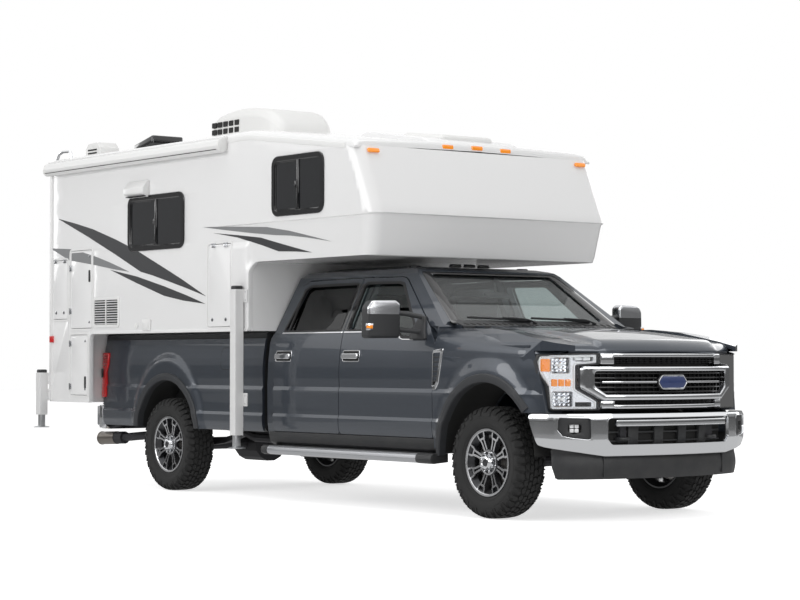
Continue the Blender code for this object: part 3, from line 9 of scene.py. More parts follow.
import json
import logging
import math
import random
from dataclasses import dataclass
from enum import Enum
from typing import Callable, Iterable, Sequence

import bmesh
import bpy
from mathutils import Matrix, Vector


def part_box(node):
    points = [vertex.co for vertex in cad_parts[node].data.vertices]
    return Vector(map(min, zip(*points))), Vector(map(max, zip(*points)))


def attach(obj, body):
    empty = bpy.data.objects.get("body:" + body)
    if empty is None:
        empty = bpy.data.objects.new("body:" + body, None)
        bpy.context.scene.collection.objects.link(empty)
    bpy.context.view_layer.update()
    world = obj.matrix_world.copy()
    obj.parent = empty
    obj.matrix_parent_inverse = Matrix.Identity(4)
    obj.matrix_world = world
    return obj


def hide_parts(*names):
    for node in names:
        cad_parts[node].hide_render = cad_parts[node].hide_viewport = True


LOG = logging.getLogger("truck_camper")
Point = Sequence[float]
Outline = list[tuple[float, float]]

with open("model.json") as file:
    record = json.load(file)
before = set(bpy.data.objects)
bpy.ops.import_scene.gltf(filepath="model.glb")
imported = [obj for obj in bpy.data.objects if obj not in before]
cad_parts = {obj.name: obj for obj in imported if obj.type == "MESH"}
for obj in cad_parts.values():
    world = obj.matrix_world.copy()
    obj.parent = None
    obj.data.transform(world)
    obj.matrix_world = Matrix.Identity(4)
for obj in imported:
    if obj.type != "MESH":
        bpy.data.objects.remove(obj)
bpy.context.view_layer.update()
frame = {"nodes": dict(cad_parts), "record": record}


class Side(Enum):
    """Which side of the vehicle a mirrored piece is on."""

    RIGHT = "right"
    LEFT = "left"


def axle_station() -> float:
    """Where the front axle lies along X in the frame."""
    low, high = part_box("tyre_front_right")
    return (low.x + high.x) / 2.0


AXLE_X = axle_station()


def lerp_table(table: Sequence[tuple[float, float]], at: float) -> float:
    """Read a value from a table of rising stations, with straight lines between.

    Args:
        table: Pairs of station and value.
        at: The station to read.

    Returns:
        The value there, held at the ends.
    """
    if at <= table[0][0]:
        return table[0][1]
    for (near, low), (far, high) in zip(table, table[1:]):
        if at <= far:
            return low + (high - low) * (at - near) / (far - near)
    return table[-1][1]


def smooth_table(table: Sequence[tuple[float, float]], at: float) -> float:
    """Read a value from a table with a curve through its points.

    Args:
        table: Pairs of rising station and value.
        at: The station to read.

    Returns:
        The value there, held at the ends.
    """
    if at <= table[0][0]:
        return table[0][1]
    if at >= table[-1][0]:
        return table[-1][1]
    i = next(k for k in range(len(table) - 1) if at <= table[k + 1][0])

    def slope(k: int) -> float:
        """Slope of the curve at a point of the table."""
        if 0 < k < len(table) - 1:
            before = (table[k][1] - table[k - 1][1]) / (table[k][0] - table[k - 1][0])
            after = (table[k + 1][1] - table[k][1]) / (table[k + 1][0] - table[k][0])
            return 0.0 if before * after <= 0 else 2.0 * before * after / (before + after)
        j = min(max(k, 1), len(table) - 1)
        return (table[j][1] - table[j - 1][1]) / (table[j][0] - table[j - 1][0])

    span = table[i + 1][0] - table[i][0]
    t = (at - table[i][0]) / span
    return ((2 * t ** 3 - 3 * t ** 2 + 1) * table[i][1] + (t ** 3 - 2 * t ** 2 + t) * span * slope(i)
            + (3 * t ** 2 - 2 * t ** 3) * table[i + 1][1] + (t ** 3 - t ** 2) * span * slope(i + 1))


def ease(low: float, high: float, at: float) -> float:
    """Rise smoothly from 0 to 1 between two stations."""
    t = min(max((at - low) / (high - low), 0.0), 1.0)
    return t * t * (3.0 - 2.0 * t)


def rounded(outline: Outline, radius: float | Sequence[float], steps: int = 6) -> Outline:
    """Round the corners of a closed outline.

    Args:
        outline: Corner points in order.
        radius: One radius, or one for each corner.
        steps: Straight pieces in each arc.

    Returns:
        The outline with arcs at its corners.
    """
    result: Outline = []
    count = len(outline)
    for i in range(count):
        reach = radius[i] if isinstance(radius, (list, tuple)) else radius
        corner = Vector(outline[i])
        if reach < 1e-5:
            result.append(tuple(corner))
            continue
        to_last = Vector(outline[i - 1]) - corner
        to_next = Vector(outline[(i + 1) % count]) - corner
        angle = to_last.angle(to_next)
        cut = min(reach / math.tan(angle / 2.0), to_last.length * 0.48, to_next.length * 0.48)
        first = corner + to_last.normalized() * cut
        last = corner + to_next.normalized() * cut
        for k in range(steps + 1):
            t = k / steps
            spot = first * (1 - t) ** 2 + corner * (2 * t * (1 - t)) + last * t ** 2
            result.append((spot.x, spot.y))
    return result


def rectangle(low_u: float, high_u: float, low_v: float, high_v: float) -> Outline:
    """Corners of an upright rectangle."""
    return [(low_u, low_v), (high_u, low_v), (high_u, high_v), (low_u, high_v)]


def grown(outline: Outline, gap: float) -> Outline:
    """Move each edge of an outline outwards.

    Args:
        outline: Corner points in order.
        gap: How far each edge moves, negative inwards.

    Returns:
        The larger or smaller outline.
    """
    count = len(outline)
    area = sum(outline[i - 1][0] * outline[i][1] - outline[i][0] * outline[i - 1][1] for i in range(count))
    turn = 1.0 if area > 0 else -1.0
    result: Outline = []
    for i in range(count):
        corner = Vector(outline[i])
        before = (corner - Vector(outline[i - 1])).normalized()
        after = (Vector(outline[(i + 1) % count]) - corner).normalized()
        out_before = Vector((before.y, -before.x)) * turn
        out_after = Vector((after.y, -after.x)) * turn
        middle = (out_before + out_after).normalized()
        spot = corner + middle * (gap / max(middle.dot(out_before), 0.3))
        result.append((spot.x, spot.y))
    return result


def put_node(tree: bpy.types.NodeTree, kind: str, values: dict | None = None, feeds: dict | None = None,
             **settings: object) -> bpy.types.Node:
    """Add a shader node.

    Args:
        tree: Where it goes.
        kind: Its type, without the word in front that all have.
        values: Value of each input that is fixed.
        feeds: The socket that feeds each other input.
        settings: The node's own settings.

    Returns:
        The node.
    """
    node = tree.nodes.new("ShaderNode" + kind)
    for key, value in settings.items():
        setattr(node, key, value)
    for key, value in (values or {}).items():
        node.inputs[key].default_value = value
    for key, socket in (feeds or {}).items():
        tree.links.new(socket, node.inputs[key])
    return node


def open_group(name: str, inputs: dict[str, tuple[str, float]], outputs: dict[str, str]
               ) -> tuple[bpy.types.NodeTree, bpy.types.NodeOutputs, bpy.types.NodeInputs]:
    """Open a group of nodes that several finishes share.

    Args:
        name: The group's name.
        inputs: Kind and default of each input.
        outputs: Kind of each output.

    Returns:
        The group, what comes into it and what leaves it.
    """
    tree = bpy.data.node_groups.new(name, "ShaderNodeTree")
    for label, (kind, value) in inputs.items():
        socket = tree.interface.new_socket(name=label, in_out="INPUT", socket_type="NodeSocket" + kind)
        if kind == "Float":
            socket.default_value = value
    for label, kind in outputs.items():
        tree.interface.new_socket(name=label, in_out="OUTPUT", socket_type="NodeSocket" + kind)
    return tree, tree.nodes.new("NodeGroupInput").outputs, tree.nodes.new("NodeGroupOutput").inputs


def grain_group() -> bpy.types.NodeTree:
    """Fine uneven height, for moulded plastic, rubber, castings and rippled panels."""
    tree, given, height = open_group(
        "fine_grain", {"Place": ("Vector", 0.0), "Scale": ("Float", 300.0), "Depth": ("Float", 1.0)},
        {"Height": "Float"})
    noise = put_node(tree, "TexNoise", {"Detail": 3.0, "Roughness": 0.55},
                     {"Vector": given["Place"], "Scale": given["Scale"]})
    size = put_node(tree, "Math", {}, {0: noise.outputs["Fac"], 1: given["Depth"]}, operation="MULTIPLY")
    tree.links.new(size.outputs["Value"], height["Height"])
    return tree


def dust_group() -> bpy.types.NodeTree:
    """Thin dust that gathers low on the vehicle, with its duller gloss."""
    tree, given, made = open_group(
        "road_dust", {"Place": ("Vector", 0.0), "Paint": ("Color", 0.0), "Gloss": ("Float", 0.3),
                      "Amount": ("Float", 0.1), "Reach": ("Float", 1.0)},
        {"Colour": "Color", "Roughness": "Float"})
    split = put_node(tree, "SeparateXYZ", {}, {0: given["Place"]})
    noise = put_node(tree, "TexNoise", {"Scale": 6.0, "Detail": 6.0, "Roughness": 0.65},
                     {"Vector": given["Place"]})
    low = put_node(tree, "MapRange", {"From Min": 0.0, "To Min": 1.0, "To Max": 0.0},
                   {"Value": split.outputs["Z"], "From Max": given["Reach"]})
    patch = put_node(tree, "MapRange", {"From Min": 0.35, "From Max": 0.75},
                     {"Value": noise.outputs["Fac"]})
    share = put_node(tree, "Math", {}, {0: low.outputs["Result"], 1: patch.outputs["Result"]},
                     operation="MULTIPLY")
    total = put_node(tree, "Math", {}, {0: share.outputs["Value"], 1: given["Amount"]},
                     operation="MULTIPLY")
    mix = put_node(tree, "Mix", {"B": (0.3, 0.275, 0.245, 1.0)},
                   {"Factor": total.outputs["Value"], "A": given["Paint"]}, data_type="RGBA")
    dull = put_node(tree, "Math", {1: 0.55}, {0: total.outputs["Value"], 2: given["Gloss"]},
                    operation="MULTIPLY_ADD", use_clamp=True)
    tree.links.new(mix.outputs["Result"], made["Colour"])
    tree.links.new(dull.outputs["Value"], made["Roughness"])
    return tree


def flake_group() -> bpy.types.NodeTree:
    """Metallic flake that lightens and darkens a paint in tiny cells."""
    tree, given, made = open_group(
        "paint_flake", {"Place": ("Vector", 0.0), "Paint": ("Color", 0.0), "Strength": ("Float", 0.2)},
        {"Colour": "Color"})
    cells = put_node(tree, "TexVoronoi", {"Scale": 900.0}, {"Vector": given["Place"]})
    level = put_node(tree, "MapRange", {"To Min": 0.35, "To Max": 1.9}, {"Value": cells.outputs["Color"]})
    mix = put_node(tree, "Mix", {}, {"B": level.outputs["Result"], "Factor": given["Strength"],
                                     "A": given["Paint"]}, data_type="RGBA", blend_type="MULTIPLY")
    tree.links.new(mix.outputs["Result"], made["Colour"])
    return tree


GROUPS = {"fine_grain": grain_group, "road_dust": dust_group, "paint_flake": flake_group}


def use_group(tree: bpy.types.NodeTree, name: str, values: dict, feeds: dict) -> bpy.types.Node:
    """Put a shared group in a material, and make the group the first time."""
    group = bpy.data.node_groups.get(name) or GROUPS[name]()
    return put_node(tree, "Group", values, feeds, node_tree=group)


RIPPLE_SCALE = 2.2


@dataclass(frozen=True)
class Finish:
    """One material of the vehicle and how it is made up."""

    name: str
    colour: tuple[float, float, float]
    roughness: float
    metallic: float = 0.0
    coat: float = 0.0
    coat_roughness: float = 0.03
    grain: float = 0.0
    grain_scale: float = 400.0
    dust: float = 0.05
    dust_reach: float = 1.1
    flake: float = 0.0
    transmission: float = 0.0
    ior: float = 1.5
    glow: float = 0.0
    wavy: float = 0.0

    def material(self) -> bpy.types.Material:
        """Return the Blender material, made the first time it is asked for."""
        known = bpy.data.materials.get(self.name)
        if known:
            return known
        made = bpy.data.materials.new(self.name)
        made.use_nodes = True
        tree = made.node_tree
        link = tree.links.new
        shader = tree.nodes["Principled BSDF"]
        place = put_node(tree, "TexCoord").outputs["Object"]
        colour = (*self.colour, 1.0)
        fixed = {"Base Color": colour, "Roughness": self.roughness, "Metallic": self.metallic,
                 "Coat Weight": self.coat, "Coat Roughness": self.coat_roughness,
                 "Transmission Weight": self.transmission, "IOR": self.ior}
        if self.glow > 0.0:
            fixed |= {"Emission Color": colour, "Emission Strength": self.glow}
        for key, value in fixed.items():
            shader.inputs[key].default_value = value
        feeds = {"Place": place}
        if self.flake > 0.0:
            flake = use_group(tree, "paint_flake", {"Paint": colour, "Strength": self.flake},
                              {"Place": place})
            link(flake.outputs["Colour"], shader.inputs["Base Color"])
            feeds["Paint"] = flake.outputs["Colour"]
        if self.dust > 0.0 and self.transmission == 0.0:
            dust = use_group(tree, "road_dust", {"Paint": colour, "Gloss": self.roughness,
                                                 "Amount": self.dust, "Reach": self.dust_reach}, feeds)
            link(dust.outputs["Colour"], shader.inputs["Base Color"])
            link(dust.outputs["Roughness"], shader.inputs["Roughness"])
        if self.grain > 0.0 or self.wavy > 0.0:
            scale, depth = (self.grain_scale, self.grain) if self.grain > 0.0 else (RIPPLE_SCALE, self.wavy)
            grain = use_group(tree, "fine_grain", {"Scale": scale, "Depth": depth}, {"Place": place})
            bump = put_node(tree, "Bump", {"Strength": 1.0, "Distance": 0.001},
                            {"Height": grain.outputs["Height"]})
            link(bump.outputs["Normal"], shader.inputs["Normal"])
        return made


PAINT = Finish("truck_paint", (0.043, 0.052, 0.067), 0.34, metallic=0.45, coat=0.9, flake=0.35, dust=0.05,
               dust_reach=0.9)
GELCOAT = Finish("camper_gelcoat", (0.8, 0.8, 0.8), 0.24, coat=0.6, coat_roughness=0.06, dust=0.04,
                 dust_reach=1.2, wavy=1.2)
TRIM_WHITE = Finish("white_trim", (0.76, 0.76, 0.755), 0.32, coat=0.3, dust=0.05, dust_reach=1.2)
WHITE_PLASTIC = Finish("white_plastic", (0.74, 0.74, 0.73), 0.42, grain=0.05, grain_scale=600.0, dust=0.03)
STRIPE_DARK = Finish("stripe_charcoal", (0.034, 0.035, 0.038), 0.4, coat=0.2, dust=0.0)
STRIPE_GREY = Finish("stripe_grey", (0.2, 0.205, 0.21), 0.4, coat=0.2, dust=0.0)
CHROME = Finish("chrome", (0.83, 0.84, 0.86), 0.06, metallic=1.0, dust=0.03, dust_reach=0.9)
CHROME_SATIN = Finish("chrome_satin", (0.62, 0.63, 0.65), 0.22, metallic=1.0, dust=0.03)
BLACK = Finish("black_moulded", (0.022, 0.023, 0.025), 0.5, grain=0.25, grain_scale=900.0, dust=0.08)
BLACK_GLOSS = Finish("black_gloss", (0.008, 0.008, 0.009), 0.1, coat=0.6, dust=0.02)
# Near-black finish, partly real black plastic (arch liners) and partly painted shade: sheets, discs and
# slots in openings, cups and vents stand for the dark hollows behind them.
BLACK_AND_PAINTED_SHADE = Finish("black_and_painted_shade", (0.006, 0.006, 0.006), 0.75, grain=0.15, grain_scale=500.0, dust=0.04)
MOULDING = Finish("arch_moulding", (0.022, 0.024, 0.028), 0.58, metallic=0.0, coat=0.0, dust=0.08)
RUBBER = Finish("tyre_rubber", (0.013, 0.013, 0.014), 0.68, grain=0.35, grain_scale=700.0, dust=0.1,
                dust_reach=1.3)
SEAL = Finish("window_seal", (0.012, 0.012, 0.013), 0.6, grain=0.1, dust=0.03)
ALLOY = Finish("wheel_machined", (0.66, 0.665, 0.68), 0.2, metallic=1.0, dust=0.1)
ALLOY_DARK = Finish("wheel_pocket", (0.035, 0.037, 0.042), 0.35, metallic=0.5, coat=0.4, dust=0.12)
STEEL = Finish("frame_steel", (0.03, 0.03, 0.032), 0.55, metallic=0.4, grain=0.35, grain_scale=250.0,
               dust=0.35)
IRON = Finish("axle_iron", (0.055, 0.053, 0.05), 0.65, metallic=0.6, grain=0.8, grain_scale=180.0,
              dust=0.4)
STEEL_BARE = Finish("brake_steel", (0.42, 0.41, 0.4), 0.35, metallic=1.0, grain=0.2, grain_scale=500.0,
                    dust=0.15)
EXHAUST = Finish("exhaust_steel", (0.24, 0.22, 0.2), 0.32, metallic=1.0, grain=0.1, grain_scale=500.0,
                 dust=0.25)
ALUMINIUM = Finish("brushed_aluminium", (0.55, 0.56, 0.58), 0.3, metallic=1.0, grain=0.12,
                   grain_scale=800.0, dust=0.08)
JACK_STEEL = Finish("jack_enamel", (0.7, 0.7, 0.7), 0.35, coat=0.4, dust=0.1, dust_reach=1.4)
ZINC = Finish("zinc_plate", (0.55, 0.56, 0.57), 0.38, metallic=1.0, grain=0.25, grain_scale=300.0,
              dust=0.12)
SCREEN_GLASS = Finish("clear_glass", (0.62, 0.68, 0.68), 0.0, transmission=1.0, ior=1.45, dust=0.0)
DOOR_GLASS = Finish("door_glass", (0.36, 0.42, 0.41), 0.0, transmission=1.0, ior=1.45, dust=0.0)
PRIVACY_GLASS = Finish("privacy_glass", (0.045, 0.05, 0.052), 0.0, transmission=1.0, ior=1.45, dust=0.0)
CAMPER_GLASS = Finish("camper_dark_glass", (0.01, 0.011, 0.013), 0.04, coat=0.8, dust=0.0)
LENS = Finish("lamp_lens", (0.95, 0.96, 0.97), 0.0, transmission=1.0, ior=1.45, dust=0.0)
LENS_WHITE = Finish("lamp_white", (0.88, 0.89, 0.9), 0.15, coat=0.8, glow=0.12, dust=0.0)
REFLECTOR = Finish("lamp_reflector", (0.8, 0.81, 0.83), 0.16, metallic=1.0, dust=0.0)
AMBER = Finish("amber_lens", (0.9, 0.27, 0.005), 0.14, coat=1.0, glow=0.25, dust=0.0)
RED_LENS = Finish("red_lens", (0.52, 0.012, 0.014), 0.12, coat=1.0, glow=0.12, dust=0.0)
MIRROR = Finish("mirror_glass", (0.72, 0.75, 0.77), 0.02, metallic=1.0, dust=0.0)
CABIN = Finish("cabin_plastic", (0.03, 0.03, 0.032), 0.62, grain=0.4, grain_scale=350.0, dust=0.0)
BLANK_PLATE = Finish("plate_slate", (0.035, 0.055, 0.16), 0.25, metallic=0.2, coat=0.9, dust=0.0)


class Form:
    """A mesh that is being shaped in axle stations, before it becomes a piece."""

    count = 0
    triangles = 0

    def __init__(self) -> None:
        """Start with an empty mesh."""
        self.bm = bmesh.new()

    def take(self, other: bmesh.types.BMesh) -> Form:
        """Move another mesh into this one."""
        mesh = bpy.data.meshes.new("part")
        other.to_mesh(mesh)
        other.free()
        self.bm.from_mesh(mesh)
        bpy.data.meshes.remove(mesh)
        return self

    def add(self, *forms: Form) -> Form:
        """Move other forms into this one."""
        for form in forms:
            self.take(form.bm)
        return self

    def copy(self) -> Form:
        """Return a second form with the same mesh."""
        made = Form()
        made.bm.free()
        made.bm = self.bm.copy()
        return made

    def move(self, matrix: Matrix) -> Form:
        """Place the mesh by a matrix."""
        bmesh.ops.transform(self.bm, matrix=matrix, verts=self.bm.verts)
        return self

    def shift(self, way: Point) -> Form:
        """Move the mesh along a vector."""
        bmesh.ops.translate(self.bm, vec=Vector(way), verts=self.bm.verts)
        return self

    def bend(self, rule: Callable[[Vector], Sequence[float]]) -> Form:
        """Send every point through a rule."""
        for vert in self.bm.verts:
            vert.co = rule(vert.co)
        return self

    def paint(self, index: int) -> Form:
        """Give every face a material number."""
        for face in self.bm.faces:
            face.material_index = index
        return self

    def soften(self, width: float, segments: int = 2, angle: float = 30.0) -> Form:
        """Bevel the edges that are sharper than an angle."""
        if width > 0.0:
            sharp = [edge for edge in self.bm.edges
                     if len(edge.link_faces) == 2 and edge.calc_face_angle(0.0) > math.radians(angle)]
            bmesh.ops.bevel(self.bm, geom=sharp, offset=width, offset_type="OFFSET", segments=segments,
                            profile=0.5, affect="EDGES", clamp_overlap=True, material=-1)
        return self

    def outwards(self) -> Form:
        """Turn the faces outwards."""
        bmesh.ops.recalc_face_normals(self.bm, faces=self.bm.faces)
        return self

    def smooth_joins(self) -> Form:
        """Merge touching points and turn the faces outwards."""
        bmesh.ops.remove_doubles(self.bm, verts=self.bm.verts, dist=0.00002)
        return self.outwards()

    def sliced(self, axis: int, low: float, high: float, step: float, extra: Iterable[float] = ()) -> Form:
        """Cut the faces into even strips across an axis.

        Args:
            axis: 0, 1 or 2 for X, Y or Z.
            low: Where the strips start.
            high: Where they end.
            step: Their width.
            extra: Further places to cut at.

        Returns:
            The same form.
        """
        normal = Vector((0.0, 0.0, 0.0))
        normal[axis] = 1.0
        count = max(1, math.ceil((high - low) / step))
        places = [low + (high - low) * k / count for k in range(1, count)] + list(extra)
        for place in sorted(places):
            spot = normal * place
            geom = self.bm.verts[:] + self.bm.edges[:] + self.bm.faces[:]
            bmesh.ops.bisect_plane(self.bm, geom=geom, dist=0.00001, plane_co=spot, plane_no=normal)
        return self

    def thickened(self, rule: Callable[[Vector], Sequence[float]]) -> Form:
        """Give a sheet a second side by a rule that moves the copied points.

        Args:
            rule: Maps a point of the sheet to the point behind it.

        Returns:
            The same form, closed.
        """
        grown_part = bmesh.ops.extrude_face_region(self.bm, geom=self.bm.faces[:], use_keep_orig=True)
        moved = {part for part in grown_part["geom"] if isinstance(part, bmesh.types.BMVert)}
        for vert in moved:
            vert.co = rule(vert.co)
        return self.outwards()

    def as_object(self) -> bpy.types.Object:
        """Turn the form into a scene object of its own."""
        mesh = bpy.data.meshes.new("tool")
        self.bm.to_mesh(mesh)
        self.bm.free()
        thing = bpy.data.objects.new("tool", mesh)
        bpy.context.scene.collection.objects.link(thing)
        return thing

    def joined_by(self, operation: str, *tools: Form) -> Form:
        """Cut, join or keep what is shared with other solids.

        Args:
            operation: DIFFERENCE, UNION or INTERSECT.
            tools: The other solids, which are used up.

        Returns:
            The same form with the result.
        """
        body = self.as_object()
        others = [tool.as_object() for tool in tools]
        for other in others:
            step = body.modifiers.new("join", "BOOLEAN")
            step.operation = operation
            step.object = other
            step.solver = "EXACT"
        graph = bpy.context.evaluated_depsgraph_get()
        mesh = bpy.data.meshes.new_from_object(body.evaluated_get(graph))
        self.bm = bmesh.new()
        self.bm.from_mesh(mesh)
        bpy.data.meshes.remove(mesh)
        for thing in [body, *others]:
            old = thing.data
            bpy.data.objects.remove(thing)
            bpy.data.meshes.remove(old)
        return self

    def cut(self, *tools: Form) -> Form:
        """Take other solids away."""
        return self.joined_by("DIFFERENCE", *tools)

    def keep(self, *tools: Form) -> Form:
        """Keep what is shared with other solids."""
        return self.joined_by("INTERSECT", *tools)

    def both_sides(self) -> Form:
        """Add the mirror image on the other side of the middle."""
        twin = self.copy()
        return self.add(twin.sided(Side.RIGHT))

    def sided(self, side: Side) -> Form:
        """Mirror a form that was made for the left when it is for the right."""
        if side is Side.RIGHT:
            bmesh.ops.scale(self.bm, vec=(1.0, -1.0, 1.0), verts=self.bm.verts)
            bmesh.ops.reverse_faces(self.bm, faces=self.bm.faces)
        return self

    def piece(self, name: str, finishes: Finish | Sequence[Finish], body: str = "chassis",
              replaces: Sequence[str] = (), slot: str = "", sharp: float = 32.0) -> bpy.types.Object:
        """Make the shown piece.

        Args:
            name: Name of the piece.
            finishes: Its finish, or one for each material number.
            body: The body it moves with.
            replaces: The solids it stands for.
            slot: Material slot of the record; not used.
            sharp: Angle in degrees past which an edge stays sharp.

        Returns:
            The object, at the origin.
        """
        self.shift((AXLE_X, 0.0, 0.0))
        mesh = bpy.data.meshes.new(name)
        self.bm.to_mesh(mesh)
        self.bm.free()
        for finish in [finishes] if isinstance(finishes, Finish) else finishes:
            mesh.materials.append(finish.material())
        mesh.shade_smooth()
        mesh.set_sharp_from_angle(angle=math.radians(sharp))
        thing = bpy.data.objects.new(name, mesh)
        bpy.context.scene.collection.objects.link(thing)
        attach(thing, body)
        if replaces:
            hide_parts(*replaces)
        mesh.calc_loop_triangles()
        Form.count += 1
        Form.triangles += len(mesh.loop_triangles)
        LOG.info("%s: %d triangles on %s", name, len(mesh.loop_triangles), body)
        return thing


def box(low: Point, high: Point, soft: float = 0.0, segments: int = 2) -> Form:
    """Make a box between two corners with softened edges."""
    form = Form()
    bmesh.ops.create_cube(form.bm, size=1.0)
    bmesh.ops.scale(form.bm, vec=[high[i] - low[i] for i in range(3)], verts=form.bm.verts)
    form.shift([(high[i] + low[i]) / 2.0 for i in range(3)])
    return form.soften(soft, segments)


def facing(way: Vector) -> Matrix:
    """Turn that takes Z to a direction."""
    return Vector((0.0, 0.0, 1.0)).rotation_difference(way.normalized()).to_matrix().to_4x4()


def rod(start: Point, end: Point, radius: float, sides: int = 24, end_radius: float | None = None,
        soft: float = 0.0) -> Form:
    """Make a round bar or cone between two points."""
    start, end = Vector(start), Vector(end)
    form = Form()
    bmesh.ops.create_cone(form.bm, cap_ends=True, segments=sides, radius1=radius,
                          radius2=radius if end_radius is None else end_radius, depth=(end - start).length)
    form.soften(soft, 2, 50.0)
    return form.move(Matrix.Translation((start + end) / 2.0) @ facing(end - start))


def plate(outline: Outline, axis: str, low: float, high: float, soft: float = 0.0,
          segments: int = 2) -> Form:
    """Push a flat outline along an axis between two stations.

    Args:
        outline: Corner points in the other two axes.
        axis: X, Y or Z.
        low: First station.
        high: Second station.
        soft: Width of the softened edges.
        segments: Steps of the softened edges.

    Returns:
        The closed form.
    """
    spots = {"X": lambda u, v: (low, u, v), "Y": lambda u, v: (u, low, v), "Z": lambda u, v: (u, v, low)}
    way = Vector((0.0, 0.0, 0.0))
    way["XYZ".index(axis)] = high - low
    form = Form()
    face = form.bm.faces.new([form.bm.verts.new(spots[axis](u, v)) for u, v in outline])
    made = bmesh.ops.extrude_face_region(form.bm, geom=[face])
    moved = [part for part in made["geom"] if isinstance(part, bmesh.types.BMVert)]
    bmesh.ops.translate(form.bm, vec=way, verts=moved)
    return form.outwards().soften(soft, segments)


def sheet(outline: Outline, axis: str = "Y", at: float = 0.0) -> Form:
    """Make one flat face with an outline."""
    spots = {"X": lambda u, v: (at, u, v), "Y": lambda u, v: (u, at, v), "Z": lambda u, v: (u, v, at)}
    form = Form()
    form.bm.faces.new([form.bm.verts.new(spots[axis](u, v)) for u, v in outline])
    return form


def skinned(rings: Sequence[Sequence[Point]], closed: bool = True, capped: bool = True) -> Form:
    """Bridge rows of points that have the same number of points.

    Args:
        rings: Rows of points in order.
        closed: True where each row is a ring.
        capped: True where the first and last ring get a face.

    Returns:
        The skin.
    """
    form = Form()
    rows = []
    for ring in rings:
        verts = [form.bm.verts.new(spot) for spot in ring]
        last = len(verts) if closed else len(verts) - 1
        rows.append((verts, [form.bm.edges.new((verts[i], verts[(i + 1) % len(verts)]))
                             for i in range(last)]))
    for (near, near_edges), (far, far_edges) in zip(rows, rows[1:]):
        bmesh.ops.bridge_loops(form.bm, edges=near_edges + far_edges)
    if closed and capped:
        form.bm.faces.new(rows[0][0])
        form.bm.faces.new(rows[-1][0])
    return form.outwards()


def looped(rows: Sequence[Sequence[Point]]) -> Form:
    """Join rings of points one after another, and the last one with the first."""
    form = Form()
    lines = [[form.bm.verts.new(spot) for spot in row] for row in rows]
    for near, far in zip(lines, lines[1:] + lines[:1]):
        for i in range(len(near)):
            j = (i + 1) % len(near)
            form.bm.faces.new((near[i], near[j], far[j], far[i]))
    return form.outwards()


def turned(profile: Outline, centre: Point, axis: Point, steps: int, angle: float = 360.0,
           closed: bool = True) -> Form:
    """Turn a profile of (radius, height) points about an axis.

    Args:
        profile: Radius from the axis and height along it.
        centre: Point on the axis at height 0.
        axis: Direction of the axis.
        steps: Steps of the turn.
        angle: How far it turns, in degrees.
        closed: True where the profile's last point joins its first.

    Returns:
        The turned form.
    """
    form = Form()
    verts = [form.bm.verts.new((radius, 0.0, height)) for radius, height in profile]
    last = len(verts) if closed else len(verts) - 1
    edges = [form.bm.edges.new((verts[i], verts[(i + 1) % len(verts)])) for i in range(last)]
    bmesh.ops.spin(form.bm, geom=verts + edges, cent=(0, 0, 0), axis=(0, 0, 1), angle=math.radians(angle),
                   steps=steps, use_merge=angle >= 360.0)
    form.smooth_joins()
    return form.move(Matrix.Translation(Vector(centre)) @ facing(Vector(axis)))


def pipe(points: Sequence[Point], radius: float, sides: int = 12, ends: bool = True) -> Form:
    """Bend a round bar through points, with its joints mitred."""
    spots = [Vector(point) for point in points]
    rings = []
    frame_up = None
    for i, spot in enumerate(spots):
        before = (spot - spots[i - 1]).normalized() if i else (spots[1] - spot).normalized()
        after = (spots[i + 1] - spot).normalized() if i + 1 < len(spots) else before
        way = (before + after).normalized()
        if frame_up is None:
            frame_up = way.orthogonal().normalized()
        frame_up = (frame_up - way * frame_up.dot(way)).normalized()
        across = way.cross(frame_up)
        wide = radius / max(0.5, way.dot(before))
        rings.append([spot + frame_up * (radius * math.cos(k * math.tau / sides))
                      + across * (wide * math.sin(k * math.tau / sides)) for k in range(sides)])
    return skinned(rings, capped=ends)


def smooth_path(points: Sequence[Point], steps: int = 6) -> list[Vector]:
    """Round a path of straight runs with a curve through its points."""
    spots = [Vector(point) for point in points]
    spots = [spots[0] * 2 - spots[1], *spots, spots[-1] * 2 - spots[-2]]
    result = []
    for a, b, c, d in zip(spots, spots[1:], spots[2:], spots[3:]):
        for k in range(steps):
            t = k / steps
            result.append(0.5 * (2 * b + (c - a) * t + (2 * a - 5 * b + 4 * c - d) * t ** 2
                                 + (3 * b - a - 3 * c + d) * t ** 3))
    return result + [spots[-2]]


def screw(at: Point, axis: Point, radius: float, height: float) -> Form:
    """Domed round fastener head on a face."""
    profile = [(0.0, height), (radius * 0.55, height * 0.9), (radius * 0.9, height * 0.5), (radius, 0.0),
               (0.0, 0.0)]
    return turned(profile, at, axis, 10)


